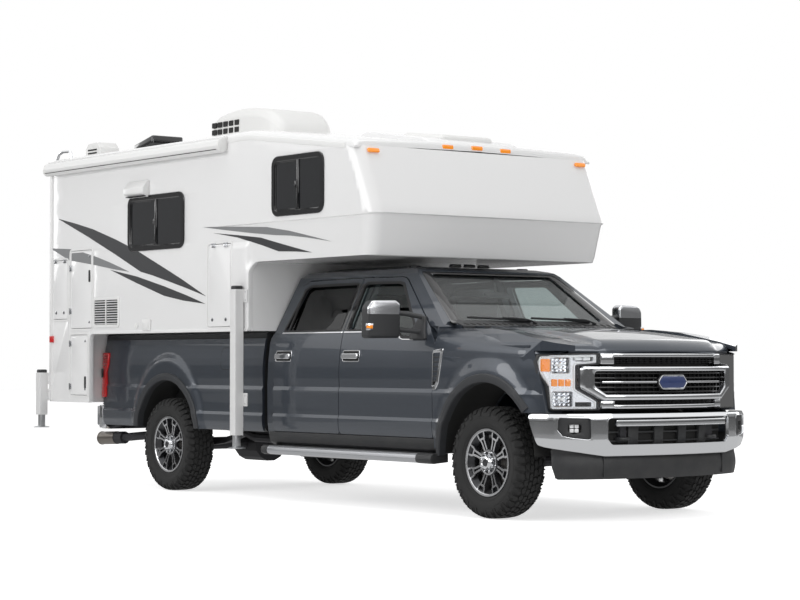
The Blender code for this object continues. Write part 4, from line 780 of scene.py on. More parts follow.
@dataclass
class CamperShape:
    """Main sizes of the camper body, and where its surface lies."""

    half: float = 1.22
    back: float = -6.23
    front: float = -2.8
    wall: float = 0.042
    box_low: float = 0.77
    box_front: float = -5.47
    wing_low: float = 1.405
    overcab_low: float = 1.975
    belt: float = 2.292
    roof_edge: float = 3.05
    nose_corner: float = 0.11
    nose_top_z: float = 2.86
    roof_round: float = 0.045

    def nose_x(self, z: float) -> float:
        """Station of the nose's front at a height."""
        table = [(1.975, -1.16), (2.01, -1.142), (2.279, -1.078), (2.292, -1.072), (2.3, -1.06),
                 (2.33, -1.066), (2.86, -1.3)]
        return lerp_table(table, z)

    def edge_z(self, x: float) -> float:
        """Height of the roof's side edge at a station."""
        share = max(0.0, (x - self.front) / (-1.3 - self.front))
        return self.roof_edge + (self.nose_top_z - self.roof_edge) * min(share, 1.0)

    def reach(self, x: float, z: float) -> float:
        """Half width of the body at a point of its side."""
        reach = self.half
        if z < self.belt:
            wing = ease(self.front - 0.06, self.front, x) * ease(1.88, 1.97, z)
            share = max(ease(2.09, 2.15, z), wing)
            reach -= 0.012 * share * ease(-3.49, -3.2, x) * (1.0 - ease(self.belt - 0.008, self.belt, z))
            reach -= 0.02 * wing * min((self.belt - z) / (self.belt - self.overcab_low), 1.0)
        over = z - (self.edge_z(x) - self.roof_round)
        if over > 0.0:
            reach -= self.roof_round - math.sqrt(max(self.roof_round ** 2 - over ** 2, 0.0))
        return reach

    def levels(self) -> list[float]:
        """Heights at which the nose and walls are divided."""
        low = [1.975 + 0.0434 * k for k in range(8)]
        high = [2.33 + (self.nose_top_z - 0.025 - 2.33) * k / 11 for k in range(12)]
        return low[:-1] + [2.279, 2.285, self.belt, 2.3, *high]


SHAPE = CamperShape()

HATCHES = {
    "hatch_rear_high": (-6.17, -5.88, 1.55, 2.1),
    "hatch_rear_tall": (-5.825, -5.42, 1.46, 2.18),
    "hatch_rear_low": (-5.825, -5.495, 0.84, 1.395),
    "hatch_front": (-3.42, -3.07, 1.445, 2.14),
}
WINDOWS = {
    Side.RIGHT: {"camper_window_galley": (-4.743, -3.826, 2.155, 2.605),
                 "camper_window_bunk": (-2.427, -1.734, 2.35, 2.797)},
    Side.LEFT: {"camper_window_dinette": (-4.9, -3.9, 2.05, 2.6),
                "camper_window_bunk": (-2.427, -1.734, 2.35, 2.797)},
}
DARK_STRIPES = [
    [(-6.078, 2.502), (-5.74, 2.44), (-5.405, 2.37), (-4.983, 2.256), (-4.608, 2.14), (-4.146, 1.973),
     (-3.827, 1.855), (-3.455, 1.707), (-3.827, 1.797), (-4.341, 1.912), (-4.54, 1.949), (-5.017, 2.13),
     (-5.513, 2.309)],
    [(-5.085, 1.984), (-4.607, 1.909), (-4.146, 1.811), (-3.764, 1.721), (-3.464, 1.642), (-3.827, 1.678),
     (-4.145, 1.727), (-4.606, 1.849)],
    [(-3.351, 2.24), (-2.979, 2.206), (-2.647, 2.171), (-2.325, 2.103), (-1.918, 2.02), (-2.133, 2.036),
     (-2.394, 2.048), (-2.633, 2.108), (-2.979, 2.186)],
]
GREY_STRIPES = [
    [(-6.222, 2.227), (-5.785, 2.201), (-5.404, 2.127), (-5.086, 2.051), (-4.742, 1.956), (-5.016, 1.987),
     (-5.368, 2.038), (-5.858, 2.1)],
    [(-3.503, 2.297), (-3.038, 2.28), (-2.548, 2.253), (-2.215, 2.206), (-1.945, 2.155), (-1.642, 2.096),
     (-1.971, 2.141), (-2.215, 2.168), (-2.436, 2.182), (-2.776, 2.214), (-3.216, 2.262)],
]


def on_side(form: Form, out: float) -> Form:
    """Lay a form drawn on the middle plane over the camper's side.

    Args:
        form: Its Y is the distance out from the wall.
        out: Further distance out.

    Returns:
        The same form, on the left side.
    """
    return form.bend(lambda v: (v.x, SHAPE.reach(v.x, v.z) + v.y + out, v.z))


def ring(outline: Outline, width: float, low: float, high: float, soft: float = 0.004) -> Form:
    """Make a flat frame inside an outline in XZ.

    Args:
        outline: Its outer edge.
        width: How wide the frame is.
        low: Where it starts along Y.
        high: Where it ends along Y.
        soft: Width of its softened edges.

    Returns:
        The closed frame.
    """
    inner = grown(outline, -width)
    return looped([[(u, low, w) for u, w in outline], [(u, high - soft, w) for u, w in outline],
                   [(u, high, w) for u, w in grown(outline, -soft)],
                   [(u, high, w) for u, w in grown(outline, -width + soft)],
                   [(u, high - soft, w) for u, w in inner], [(u, low, w) for u, w in inner]])


def louvres(low_x: float, high_x: float, low_z: float, high_z: float, columns: int, rows: int) -> Form:
    """White grille of slanted slats over a near-black sheet of painted shade for the hollow behind, in XZ
    with Y outwards.
    """
    frame_line = rounded(rectangle(low_x, high_x, low_z, high_z), 0.012, 4)
    form = ring(grown(frame_line, 0.028), 0.028, 0.0, 0.012, 0.004)
    # Near-black sheet behind the slats: painted shade of the vent's hollow.
    form.add(box((low_x - 0.002, -0.004, low_z - 0.002), (high_x + 0.002, 0.0015, high_z + 0.002)).paint(1))
    wide = (high_x - low_x) / columns
    step = (high_z - low_z) / rows
    for k in range(rows):
        z = low_z + step * (k + 0.5)
        slat = plate([(0.0015, z - step * 0.1), (0.0105, z - step * 0.36), (0.0115, z - step * 0.3),
                      (0.0015, z + step * 0.1)], "X", low_x, high_x)
        form.add(slat)
    for k in range(1, columns):
        x = low_x + wide * k
        form.add(box((x - 0.006, 0.0, low_z), (x + 0.006, 0.0125, high_z), 0.002))
    return form


@dataclass
class CamperBody:
    """Walls, nose, roof and what is fixed to them.

    Each jack has its station, the top and the bottom of its tube and the height of its foot.
    Each marker has its place on the nose.
    """

    jacks: tuple[tuple[float, float, float, float], ...] = (
        (-2.895, 1.78, 0.54, 0.436), (-6.29, 1.075, 0.645, 0.532))
    markers: tuple[tuple[float, float, float], ...] = (
        (-1.262, -1.075, 2.792), (-1.312, -0.3, 2.868), (-1.308, 0.0, 2.874), (-1.312, 0.3, 2.868),
        (-1.262, 1.075, 2.792))
    window_round: float = 0.07
    stripe_out: float = 0.002

    def side_outline(self) -> Outline:
        """Edge of a side wall, with its fillets."""
        s = SHAPE
        corners = [(s.back, s.box_low), (s.box_front, s.box_low), (s.box_front, s.wing_low),
                   (s.front, s.wing_low), (s.front, s.overcab_low)]
        line = rounded([*corners, (-1.9, s.overcab_low), (-1.9, 2.6), (s.back, 2.6)],
                       [0.02, 0.03, 0.07, 0.035, 0.09, 0.0, 0.0, 0.0], 7)[:-3]
        line += [(s.nose_x(z) - s.nose_corner, z) for z in s.levels()]
        last = s.nose_x(s.levels()[-1]) - s.nose_corner
        line += [(x, s.edge_z(x) - 0.028) for x in (last - 0.01, -1.9, -2.3, s.front, -3.6, -4.8, s.back)]
        return line

    def wall(self, side: Side) -> None:
        """One side wall with its openings and jacks."""
        s = SHAPE
        form = sheet(self.side_outline(), "Y", 0.0)
        form.sliced(2, 1.975, 3.02, 0.1, s.levels() + [1.88, 1.91, 1.94, 2.09, 2.11, 2.13, 2.15, 2.98,
                                                       3.0, 3.012])
        form.sliced(0, -3.6, -1.2, 0.05, [s.front - 0.04, s.front - 0.02, s.front]).sliced(0, s.back,
                                                                                             -3.6, 0.4)
        on_side(form, 0.0).thickened(lambda v: (v.x, v.y - s.wall, v.z))
        holes = [rounded(rectangle(*span), self.window_round) for span in WINDOWS[side].values()]
        if side is Side.RIGHT:
            holes += [rounded(grown(rectangle(*span), 0.004), 0.034) for span in HATCHES.values()]
        form.cut(*[plate(hole, "Y", s.half - 0.2, s.half + 0.2) for hole in holes])
        form.soften(0.004, 2, 60.0)
        for jack in self.jacks:
            form.add(self.jack(*jack))
        name = f"camper_side_{side.value}"
        form.sided(side).piece(name + "_skin", [GELCOAT, JACK_STEEL, ZINC, BLACK], replaces=[name],
                               slot="camper_white")

    def jack(self, x: float, top: float, bottom: float, foot: float) -> Form:
        """Corner jack: square tube, inner leg, foot, motor head and brackets."""
        y = SHAPE.half + 0.052
        half = 0.0425
        tube = plate(rounded(rectangle(x - half, x + half, y - half, y + half), 0.01, 3), "Z", bottom,
                     top - 0.03)
        form = tube.soften(0.002, 1, 60.0).paint(1)
        form.add(box((x - half + 0.004, y - half + 0.004, top - 0.034),
                     (x + half - 0.004, y + half - 0.004, top), 0.012, 3).paint(3))
        form.add(box((x - 0.026, y - 0.026, foot + 0.004), (x + 0.026, y + 0.026, bottom + 0.02),
                     0.005).paint(2))
        form.add(turned([(0.0, -0.006), (0.075, -0.006), (0.075, -0.001), (0.06, 0.004), (0.03, 0.01),
                         (0.0, 0.01)], (x, y, foot), (0, 0, 1), 28).paint(2))
        for level in (max(bottom + 0.12, 0.8), top - 0.12):
            form.add(box((x - 0.04, SHAPE.half - 0.002, level - 0.02),
                         (x + 0.09, y - half + 0.004, level + 0.09), 0.004).paint(1))
            for dx in (-0.018, 0.068):
                for dz in (0.0, 0.068):
                    form.add(rod((x + dx, SHAPE.half, level + dz), (x + dx, SHAPE.half + 0.014, level + dz),
                                 0.008, 6).paint(2))
        return form

    def nose(self) -> None:
        """Moulded nose with its corners, ledge and front crown."""
        s = SHAPE
        rings = []
        for z in s.levels():
            centre = s.nose_x(z) - s.nose_corner
            half = s.reach(centre, z)
            row = [(centre, half, z)]
            for k in range(1, 9):
                angle = math.radians(90.0 * (1.0 - k / 8.0))
                row.append((centre + s.nose_corner * math.cos(angle),
                            half - s.nose_corner + s.nose_corner * math.sin(angle), z))
            row += [(centre + s.nose_corner + 0.004 * (1 - (y / 1.11) ** 2), y, z) for y in (0.9, 0.6, 0.3)]
            twin = [(px, -py, pz) for px, py, pz in reversed(row)]
            rings.append([*row, (centre + s.nose_corner + 0.004, 0.0, z), *twin])
        form = skinned(rings, closed=False)
        form.thickened(lambda v: (v.x - s.wall, v.y * (1.0 - s.wall / s.half), v.z))
        form.piece("camper_nose_skin", GELCOAT, replaces=["camper_nose"], slot="camper_white", sharp=24.0)

    def roof(self) -> None:
        """Crowned roof with rounded edges, its front fairing and the edge mouldings."""
        s = SHAPE
        stations = [s.back, s.back + 0.008, s.back + 0.022, s.back + 0.045]
        stations += [-6.18 + (s.front + 6.18) * k / 12 for k in range(1, 13)]
        stations += [-2.65, -2.4, -2.1, -1.8, -1.5, -1.36, -1.33, -1.314, -1.304, -1.3]
        sides = [0.0, 0.2, 0.4, 0.61, 0.8, 0.98, 1.1, 1.15, 1.175, 1.19, 1.203, 1.212, 1.218, 1.22]
        spread = sorted({-y for y in sides} | set(sides))

        def height(x: float, y: float) -> float:
            """Height of the roof at a point."""
            rise = lerp_table([(0.0, 0.047), (0.61, 0.041), (1.1, 0.027), (1.22, 0.012)], abs(y))
            over = max(0.0, abs(y) - (s.half - s.roof_round)) / s.roof_round
            front = max(0.0, x + 1.345) / 0.045
            rear = max(0.0, (s.back + 0.045 - x)) / 0.045
            worst = min(1.0, math.hypot(over, front, rear))
            return s.edge_z(x) + rise - s.roof_round * (1.0 - math.sqrt(1.0 - worst * worst))

        rows = [[(x, y, height(x, y)) for y in spread] for x in stations]
        form = skinned(rows, closed=False)
        form.thickened(lambda v: (v.x, v.y * 0.999, v.z - 0.016))
        front = -1.325
        fairing = [(-2.3, s.edge_z(-2.3) + 0.025), (-2.24, s.edge_z(-2.24) + 0.06),
                   (-2.18, s.edge_z(-2.18) + 0.082), (front - 0.11, s.edge_z(front - 0.11) + 0.072),
                   (front - 0.04, s.edge_z(front) + 0.062), (front, s.edge_z(front) + 0.04),
                   (front, s.edge_z(front) + 0.005)]
        form.add(plate(fairing, "Y", -0.465, 0.465).soften(0.016, 3, 25.0))
        dome = box((-1.955, -0.275, s.edge_z(-1.95) - 0.02), (-1.405, 0.275, s.edge_z(-1.95) + 0.1),
                   0.045, 4)
        dome.bend(lambda v: (v.x, v.y, v.z + (s.edge_z(v.x) - s.edge_z(-1.95)) * 0.9))
        form.add(dome.paint(1))
        form.add(box((-1.985, -0.305, s.edge_z(-1.95)), (-1.375, 0.305, s.edge_z(-1.95) + 0.062), 0.01)
                 .bend(lambda v: (v.x, v.y, v.z + (s.edge_z(v.x) - s.edge_z(-1.95)))).paint(0))
        self.fan(form)
        form.piece("camper_roof_skin", [GELCOAT, WHITE_PLASTIC, BLACK_GLOSS, BLACK_AND_PAINTED_SHADE, STEEL_BARE],
                   replaces=["camper_roof"], slot="camper_white", sharp=30.0)

    def fan(self, form: Form) -> None:
        """Black fan lid and white vent cap at the back of the roof."""
        z = SHAPE.roof_edge
        form.add(box((-5.965, -0.485, z + 0.03), (-5.595, -0.115, z + 0.105), 0.012).paint(1))
        lid = box((-5.955, -0.475, z + 0.11), (-5.605, -0.125, z + 0.185), 0.02, 3)
        lid.bend(lambda v: (v.x, v.y, v.z + 0.075 * max(0.0, (v.x + 5.955) / 0.35)
                            * (1.0 if v.z > z + 0.15 else 0.72)))
        form.add(lid.paint(2))
        cap = plate(rounded([(-5.985, z + 0.02), (-5.985, z + 0.12), (-5.93, z + 0.165),
                             (-5.76, z + 0.17), (-5.7, z + 0.12), (-5.7, z + 0.02)], 0.02, 4),
                    "Y", -0.985, -0.775)
        form.add(cap.soften(0.014, 3, 50.0).paint(1))
        # Near-black slots in the vent cap: painted shade of its openings.
        for level in (0.062, 0.092):
            form.add(box((-5.93, -0.9875, z + level), (-5.76, -0.975, z + level + 0.016), 0.003).paint(3))
        form.add(rod((-4.2, 0.75, z), (-4.2, 0.75, z + 0.105), 0.03, 20, soft=0.004).paint(1))
        form.add(rod((-4.2, 0.75, z + 0.098), (-4.2, 0.75, z + 0.112), 0.042, 20, soft=0.004).paint(1))

    def mouldings(self) -> None:
        """Edge mouldings of the roof, the rear corners and the wing."""
        s = SHAPE
        form = Form()
        rows = []
        for x in [s.back + 0.02] + [s.back + 0.1 + (s.front - s.back - 0.1) * k / 10 for k in range(11)] + \
                [-2.6, -2.3, -2.0, -1.7, -1.43]:
            z = s.edge_z(x)
            rows.append([(x, s.half - 0.004, z - 0.062), (x, s.half + 0.003, z - 0.06),
                         (x, s.half + 0.0045, z - 0.04), (x, s.half + 0.002, z - 0.022),
                         (x, s.half - 0.01, z - 0.01), (x, s.half - 0.024, z - 0.02)])
        form.add(skinned(rows))
        corner = [(s.back - 0.003, s.half - 0.052), (s.back - 0.0045, s.half - 0.03),
                  (s.back - 0.003, s.half - 0.01), (s.back + 0.004, s.half + 0.001),
                  (s.back + 0.012, s.half + 0.004), (s.back + 0.034, s.half + 0.0045),
                  (s.back + 0.052, s.half + 0.003), (s.back + 0.052, s.half - 0.006),
                  (s.back + 0.006, s.half - 0.006), (s.back + 0.006, s.half - 0.052)]
        form.add(plate(corner, "Z", s.box_low + 0.01, s.roof_edge - 0.035))
        lip = [(s.half + 0.003, s.wing_low - 0.003), (s.half + 0.004, s.wing_low + 0.02),
               (s.half + 0.001, s.wing_low + 0.026), (s.half - 0.006, s.wing_low + 0.026),
               (s.half - 0.03, s.wing_low - 0.003)]
        form.add(plate(lip, "X", s.box_front + 0.085, s.front - 0.04))
        form.both_sides().piece("camper_mouldings", TRIM_WHITE, slot="camper_white")

    def stripes(self) -> None:
        """Bands of colour on both walls, cut where the hatches open."""
        for side in Side:
            for finish, bands, word in ((STRIPE_DARK, DARK_STRIPES, "dark"),
                                        (STRIPE_GREY, GREY_STRIPES, "grey")):
                form = Form()
                for band in bands:
                    strip = sheet(band).sliced(0, -3.6, -1.3, 0.05).sliced(0, -6.3, -3.6, 0.25)
                    strip.sliced(2, 1.975, 2.3, 0.05, [2.09, 2.11, 2.13, 2.15, 2.284, 2.2921])
                    form.add(on_side(strip, self.stripe_out))
                form.thickened(lambda v: (v.x, v.y - 0.003, v.z))
                if side is Side.RIGHT:
                    holes = [rounded(grown(rectangle(*span), 0.024), 0.05) for span in HATCHES.values()]
                    form.cut(*[plate(hole, "Y", 1.0, 1.4) for hole in holes])
                form.sided(side).piece(f"camper_stripe_{word}_{side.value}", finish, slot="camper_white")

    def window(self, name: str, span: tuple[float, float, float, float], side: Side) -> None:
        """Black framed window with a sliding pane and a fixed one."""
        low_x, high_x, low_z, high_z = span
        outline = rounded(rectangle(*span), self.window_round, 8)
        form = ring(grown(outline, 0.022), 0.044, 0.0006, 0.0115, 0.004).paint(0)
        form.add(ring(grown(outline, -0.0015), 0.024, -0.04, 0.0045, 0.003).paint(0))
        middle = low_x + (high_x - low_x) * 0.5
        form.add(box((middle - 0.014, -0.02, low_z + 0.012), (middle + 0.014, 0.0065, high_z - 0.012),
                     0.003).paint(0))
        form.add(plate(grown(outline, -0.012), "Y", -0.01, -0.004).paint(1))
        sash = rounded(rectangle(low_x + 0.02, middle, low_z + 0.02, high_z - 0.02), 0.045, 6)
        form.add(ring(sash, 0.014, -0.008, 0.003, 0.003).paint(0))
        form.add(box((middle - 0.04, 0.0, (low_z + high_z) / 2 - 0.03),
                     (middle - 0.02, 0.0065, (low_z + high_z) / 2 + 0.03), 0.003).paint(0))
        on_side(form, 0.0).sided(side)
        form.piece(f"{name}_{side.value}_glazing", [BLACK_GLOSS, CAMPER_GLASS],
                   replaces=[f"{name}_{side.value}"], slot="window_glass")

    def hatches(self) -> None:
        """Baggage hatches with their frames, hinges and latches."""
        frames = Form()
        for name, span in HATCHES.items():
            outline = rounded(rectangle(*span), 0.03, 7)
            frames.add(ring(rounded(grown(rectangle(*span), 0.022), 0.05, 7), 0.0175, -0.004, 0.0045,
                            0.0015))
            door = plate(outline, "Y", -0.029, 0.0018).soften(0.0016, 2, 60.0)
            door.add(ring(grown(outline, -0.001), 0.014, 0.001, 0.004, 0.0014))
            self.hatch_fittings(door, name, span)
            form = on_side(door, 0.0)
            if name == "hatch_rear_tall":
                band = sheet(GREY_STRIPES[0]).sliced(0, -6.3, -3.6, 0.25)
                band = on_side(band, 0.003).thickened(lambda v: (v.x, v.y - 0.004, v.z))
                form.add(band.keep(plate(grown(outline, -0.0165), "Y", 1.0, 1.4)).paint(3))
            form.sided(Side.RIGHT)
            form.piece(f"{name}_door", [GELCOAT, CHROME_SATIN, BLACK, STRIPE_GREY], body=name,
                       replaces=[name], slot="camper_white")
        on_side(frames, 0.0).sided(Side.RIGHT).piece("hatch_frames", TRIM_WHITE, slot="camper_white")

    def hatch_fittings(self, form: Form, name: str, span: tuple[float, float, float, float]) -> None:
        """Add the hinge knuckles and latches of one hatch."""
        low_x, high_x, low_z, high_z = span
        out = 0.0074
        if name in ("hatch_rear_high", "hatch_front"):
            middle = (low_x + high_x) / 2
            for k in (-0.09, 0.09):
                form.add(rod((middle + k - 0.03, out, high_z + 0.006),
                             (middle + k + 0.03, out, high_z + 0.006), 0.0066, 14).paint(1))
                form.add(box((middle + k - 0.026, 0.0015, high_z - 0.024),
                             (middle + k + 0.026, out + 0.002, high_z + 0.006), 0.001).paint(1))
            latch_z = low_z + 0.06
            for x in (low_x + 0.07, high_x - 0.07):
                form.add(rod((x, 0.001, latch_z), (x, 0.006, latch_z), 0.017, 24, soft=0.001).paint(1))
                form.add(rod((x, 0.001, latch_z), (x, 0.0075, latch_z), 0.008, 16, soft=0.001).paint(2))
        else:
            middle = (low_z + high_z) / 2
            for k in (-0.2, 0.2):
                form.add(rod((low_x - 0.006, out, middle + k - 0.03),
                             (low_x - 0.006, out, middle + k + 0.03), 0.0066, 14).paint(1))
                form.add(box((low_x - 0.006, 0.0015, middle + k - 0.026),
                             (low_x + 0.024, out + 0.002, middle + k + 0.026), 0.001).paint(1))
            z = middle + (0.12 if name == "hatch_rear_tall" else -0.16)
            form.add(plate(rounded(rectangle(high_x - 0.062, high_x - 0.03, z - 0.055, z + 0.055), 0.01,
                                   4), "Y", 0.001, 0.007).soften(0.002, 2, 50.0).paint(2))
            form.add(box((high_x - 0.054, 0.0, z - 0.038), (high_x - 0.038, 0.0095, z + 0.012),
                         0.003).paint(2))
            for dz in (low_z + 0.055, high_z - 0.055):
                form.add(rod((high_x - 0.046, 0.001, dz), (high_x - 0.046, 0.006, dz), 0.013, 20,
                             soft=0.001).paint(1))

    def fittings(self) -> None:
        """Vents, hood cover, ports and marker lamps of the walls."""
        form = louvres(-5.366, -4.939, 1.487, 1.711, 2, 10)
        hood = plate(rounded([(0.0, 2.612), (0.012, 2.612), (0.07, 2.646), (0.072, 2.692),
                              (0.018, 2.76), (0.0, 2.76)], [0.0, 0.006, 0.014, 0.014, 0.01, 0.0], 4),
                     "X", -4.74, -4.4).soften(0.006, 2, 50.0)
        form.add(hood)
        form.add(box((-4.722, 0.01, 2.615), (-4.418, 0.056, 2.623), 0.002).paint(1))
        form.add(plate(rounded(rectangle(-4.5, -4.36, 1.425, 1.525), 0.016, 4), "Y", 0.0,
                       0.016).soften(0.004, 2, 50.0))
        form.add(plate(rounded(rectangle(-4.48, -4.38, 1.44, 1.512), 0.012, 4), "Y", 0.014,
                       0.022).soften(0.004, 2, 50.0))
        form.add(rod((-4.61, 0.0, 1.47), (-4.61, 0.01, 1.47), 0.028, 24, soft=0.003))
        on_side(form, 0.0).sided(Side.RIGHT).piece("camper_wall_fittings", [TRIM_WHITE, BLACK_AND_PAINTED_SHADE],
                                                   slot="camper_white")
        lamps = Form()
        for side in (-1.0, 1.0):
            lamps.add(plate(rounded(rectangle(-6.216, -6.15, 1.33, 1.392), 0.008, 3), "Y", side * 1.219,
                            side * 1.236).soften(0.004, 2, 50.0))
        lamps.piece("camper_side_markers", RED_LENS, slot="camper_white")
        amber = Form()
        slope = math.atan2(0.56, 0.24)
        for x, y, z in self.markers:
            lamp = plate(rounded(rectangle(-0.056, 0.056, -0.017, 0.017), 0.012, 4), "X", -0.004,
                         0.016).soften(0.006, 3, 50.0)
            turn = Matrix.Rotation(slope - math.pi / 2, 4, "Y") if abs(y) > 1.0 else Matrix.Identity(4)
            amber.add(lamp.move(Matrix.Translation((x, y, z)) @ turn))
        amber.piece("camper_amber_markers", AMBER, slot="camper_white")

    def awning(self) -> None:
        """Rolled awning in its case along the right roof edge."""
        near, far = SHAPE.half, SHAPE.half + 0.096
        case = rounded([(near + 0.004, 2.925), (near + 0.05, 2.905), (far - 0.008, 2.925), (far, 2.965),
                        (far - 0.012, 3.012), (near + 0.03, 3.034), (near + 0.004, 3.034)],
                       [0.004, 0.03, 0.03, 0.02, 0.03, 0.01, 0.002], 6)
        form = plate(case, "X", -6.19, -3.14).soften(0.002, 1, 60.0)
        form.add(plate(rounded([(near + 0.001, 3.02), (near + 0.04, 3.028), (near + 0.04, 3.04),
                                (near + 0.001, 3.046)], 0.004, 3), "X", -6.205, -3.125))
        for low, high in ((-6.208, -6.178), (-3.152, -3.122)):
            form.add(plate(grown(case, 0.0015), "X", low, high).soften(0.006, 2, 50.0).paint(1))
        # Near-black strip under the case: painted shade in the slot where the fabric leaves.
        form.add(box((-6.17, far - 0.018, 2.93), (-3.16, far + 0.0004, 2.9345), 0.001).paint(2))
        form.sided(Side.RIGHT).piece("awning_case", [TRIM_WHITE, WHITE_PLASTIC, BLACK_AND_PAINTED_SHADE],
                                     replaces=["awning"], slot="camper_white")

    def cooler(self) -> None:
        """Roof air conditioner with its moulded shroud and grilles."""
        base = SHAPE.roof_edge + 0.049
        stations = [(-4.83, 0.285, 3.27), (-4.815, 0.315, 3.33), (-4.78, 0.335, 3.385),
                    (-4.7, 0.345, 3.415), (-4.55, 0.352, 3.438), (-4.35, 0.355, 3.452),
                    (-4.15, 0.352, 3.445), (-3.98, 0.346, 3.425), (-3.86, 0.332, 3.39),
                    (-3.78, 0.312, 3.34), (-3.725, 0.285, 3.27), (-3.702, 0.262, 3.2)]
        rings = []
        for x, half, high in stations:
            section = rounded([(-half, base), (half, base), (half * 0.97, high - 0.075),
                               (half * 0.82, high), (-half * 0.82, high), (-half * 0.97, high - 0.075)],
                              [0.0, 0.0, 0.05, 0.06, 0.06, 0.05], 5)
            rings.append([(x, y, z) for y, z in section])
        form = skinned(rings)
        # Grille openings on the sides and front are near-black plates: painted shade of the hollows behind.
        for side in (-1.0, 1.0):
            for k in range(5):
                for level in (3.235, 3.3):
                    x = -4.74 + 0.095 * k
                    form.add(plate(rounded(rectangle(x, x + 0.072, level, level + 0.048), 0.008, 3), "Y",
                                   side * 0.325, side * 0.352).soften(0.001, 1, 50.0).paint(1))
        for k in range(6):
            y = -0.225 + 0.078 * k
            form.add(box((-4.834, y, 3.15), (-4.79, y + 0.058, 3.245), 0.004).paint(1))
        form.add(box((-4.8, -0.3, base - 0.0005), (-3.72, 0.3, base + 0.03), 0.006).paint(2))
        form.piece("air_conditioner_shroud", [WHITE_PLASTIC, BLACK_AND_PAINTED_SHADE, BLACK],
                   replaces=["air_conditioner"], slot="camper_white", sharp=40.0)

    def build(self) -> None:
        """Make every piece of the camper's outside."""
        for side in Side:
            self.wall(side)
            for name, span in WINDOWS[side].items():
                self.window(name, span, side)
        self.nose()
        self.roof()
        self.mouldings()
        self.stripes()
        self.hatches()
        self.fittings()
        self.awning()
        self.cooler()


@dataclass
class TruckShape:
    """Where the surface of the truck's body lies."""

    profile: tuple[tuple[float, float], ...] = ((0.47, 0.955), (0.52, 0.975), (0.56, 0.99),
                                                (0.59, 1.004), (0.62, 1.012), (0.66, 1.015),
                                                (0.697, 1.017), (0.722, 1.008), (0.76, 1.0085),
                                                (0.8, 1.009), (0.9, 1.012), (0.916, 1.0145),
                                                (0.946, 1.003), (1.0, 1.006), (1.05, 1.008),
                                                (1.12, 1.006), (1.18, 1.001), (1.24, 0.993),
                                                (1.3, 0.983), (1.345, 0.973), (1.385, 0.962),
                                                (1.4, 0.955), (1.845, 0.739))
    plan: tuple[tuple[float, float], ...] = ((-0.6, 0.0), (-0.4, 0.002), (-0.1, 0.006),
                                             (0.2, 0.008), (0.4, 0.004), (0.5, -0.008),
                                             (0.58, -0.03), (0.65, -0.067), (0.7, -0.1),
                                             (0.75, -0.148), (0.79, -0.198))
    top: tuple[tuple[float, float], ...] = ((-0.6, 1.434), (-0.4, 1.428), (-0.1, 1.411),
                                            (0.2, 1.387), (0.4, 1.367), (0.6, 1.34),
                                            (0.75, 1.318), (0.88, 1.297))
    lip: tuple[tuple[float, float], ...] = ((0.0, 0.874), (0.2, 0.864), (0.4, 0.846), (0.536, 0.822),
                                            (0.6, 0.797), (0.7, 0.755), (0.8, 0.706),
                                            (0.86, 0.664), (0.95, 0.585))
    lip_z: float = 1.222
    roll: float = 0.105
    hood_half: float = 0.8
    front_arch: tuple[float, float, float] = (0.04, 0.475, 0.535)
    rear_arch: tuple[float, float, float] = (-4.43, 0.495, 0.5)
    front_flare: tuple[float, float, float, float] = (0.64, 0.7, 0.84, 1.03)
    rear_flare: tuple[float, float, float, float] = (0.605, 0.7, 0.93, 1.05)
    bed_back: float = -5.6
    bed_front: float = -2.905

    def side_y(self, x: float, z: float) -> float:
        """Distance of the body side from the middle, with its creases, taper and arch flares."""
        width = lerp_table(self.profile, z)
        if x > -0.6:
            width += smooth_table(self.plan, x)
        for (centre_x, centre_z, _), (wide, tall, near, far) in ((self.front_arch, self.front_flare),
                                                                 (self.rear_arch, self.rear_flare)):
            away = math.hypot((x - centre_x) / wide, (z - centre_z) / tall)
            share = 1.0 - ease(near, far, away)
            if share > 0.0:
                base = 1.009 + (smooth_table(self.plan, x) if x > -0.6 else 0.0)
                width += (max(base, width) + 0.019 - width) * share
        return width

    def crown(self, x: float, y: float) -> float:
        """Height of the hood and the fender tops at a point, with the roll at their front."""
        y = abs(y)
        edge_line = 0.5 + 0.06 * ease(0.3, 0.75, x)
        height = smooth_table(self.top, x) - 0.01 * min(y / edge_line, 1.0) ** 2
        height -= (0.011 + 0.019 * ease(-0.3, 0.4, x)) * ease(edge_line, edge_line + 0.042, y)
        height -= 0.01 * ease(0.6, 0.95, y)
        roll = self.roll - 0.045 * ease(0.55, 0.64, y)
        near = min(max(1.0 - (smooth_table(self.lip, y) - x) / roll, 0.0), 1.0)
        return height - (height - self.lip_z) * (1.0 - math.sqrt(1.0 - near * near * 0.999))


BODY = TruckShape()

DOORS = {
    "front": [(-0.603, 0.575), (-0.603, 1.3), (-0.69, 1.4), (-1.23, 1.8), (-1.29, 1.815), (-1.808, 1.822),
              (-1.808, 0.575)],
    "rear": [(-1.814, 0.575), (-1.814, 1.822), (-2.56, 1.815), (-2.64, 1.78), (-2.715, 1.385),
             (-2.745, 1.3), (-2.745, 0.575)],
}
PANES = {
    "front": [(-0.83, 1.345), (-1.255, 1.752), (-1.31, 1.765), (-1.76, 1.77), (-1.76, 1.405),
              (-1.15, 1.405), (-1.05, 1.35)],
    "rear": [(-1.862, 1.405), (-1.862, 1.77), (-2.52, 1.765), (-2.57, 1.74), (-2.65, 1.405)],
}
HEIGHTS = [0.56, 0.59, 0.62, 0.66, 0.697, 0.722, 0.76, 0.8, 0.85, 0.9, 0.916, 0.946, 1.0, 1.05, 1.085,
           1.12, 1.15, 1.18, 1.21, 1.24, 1.27, 1.3, 1.345, 1.385, 1.4]
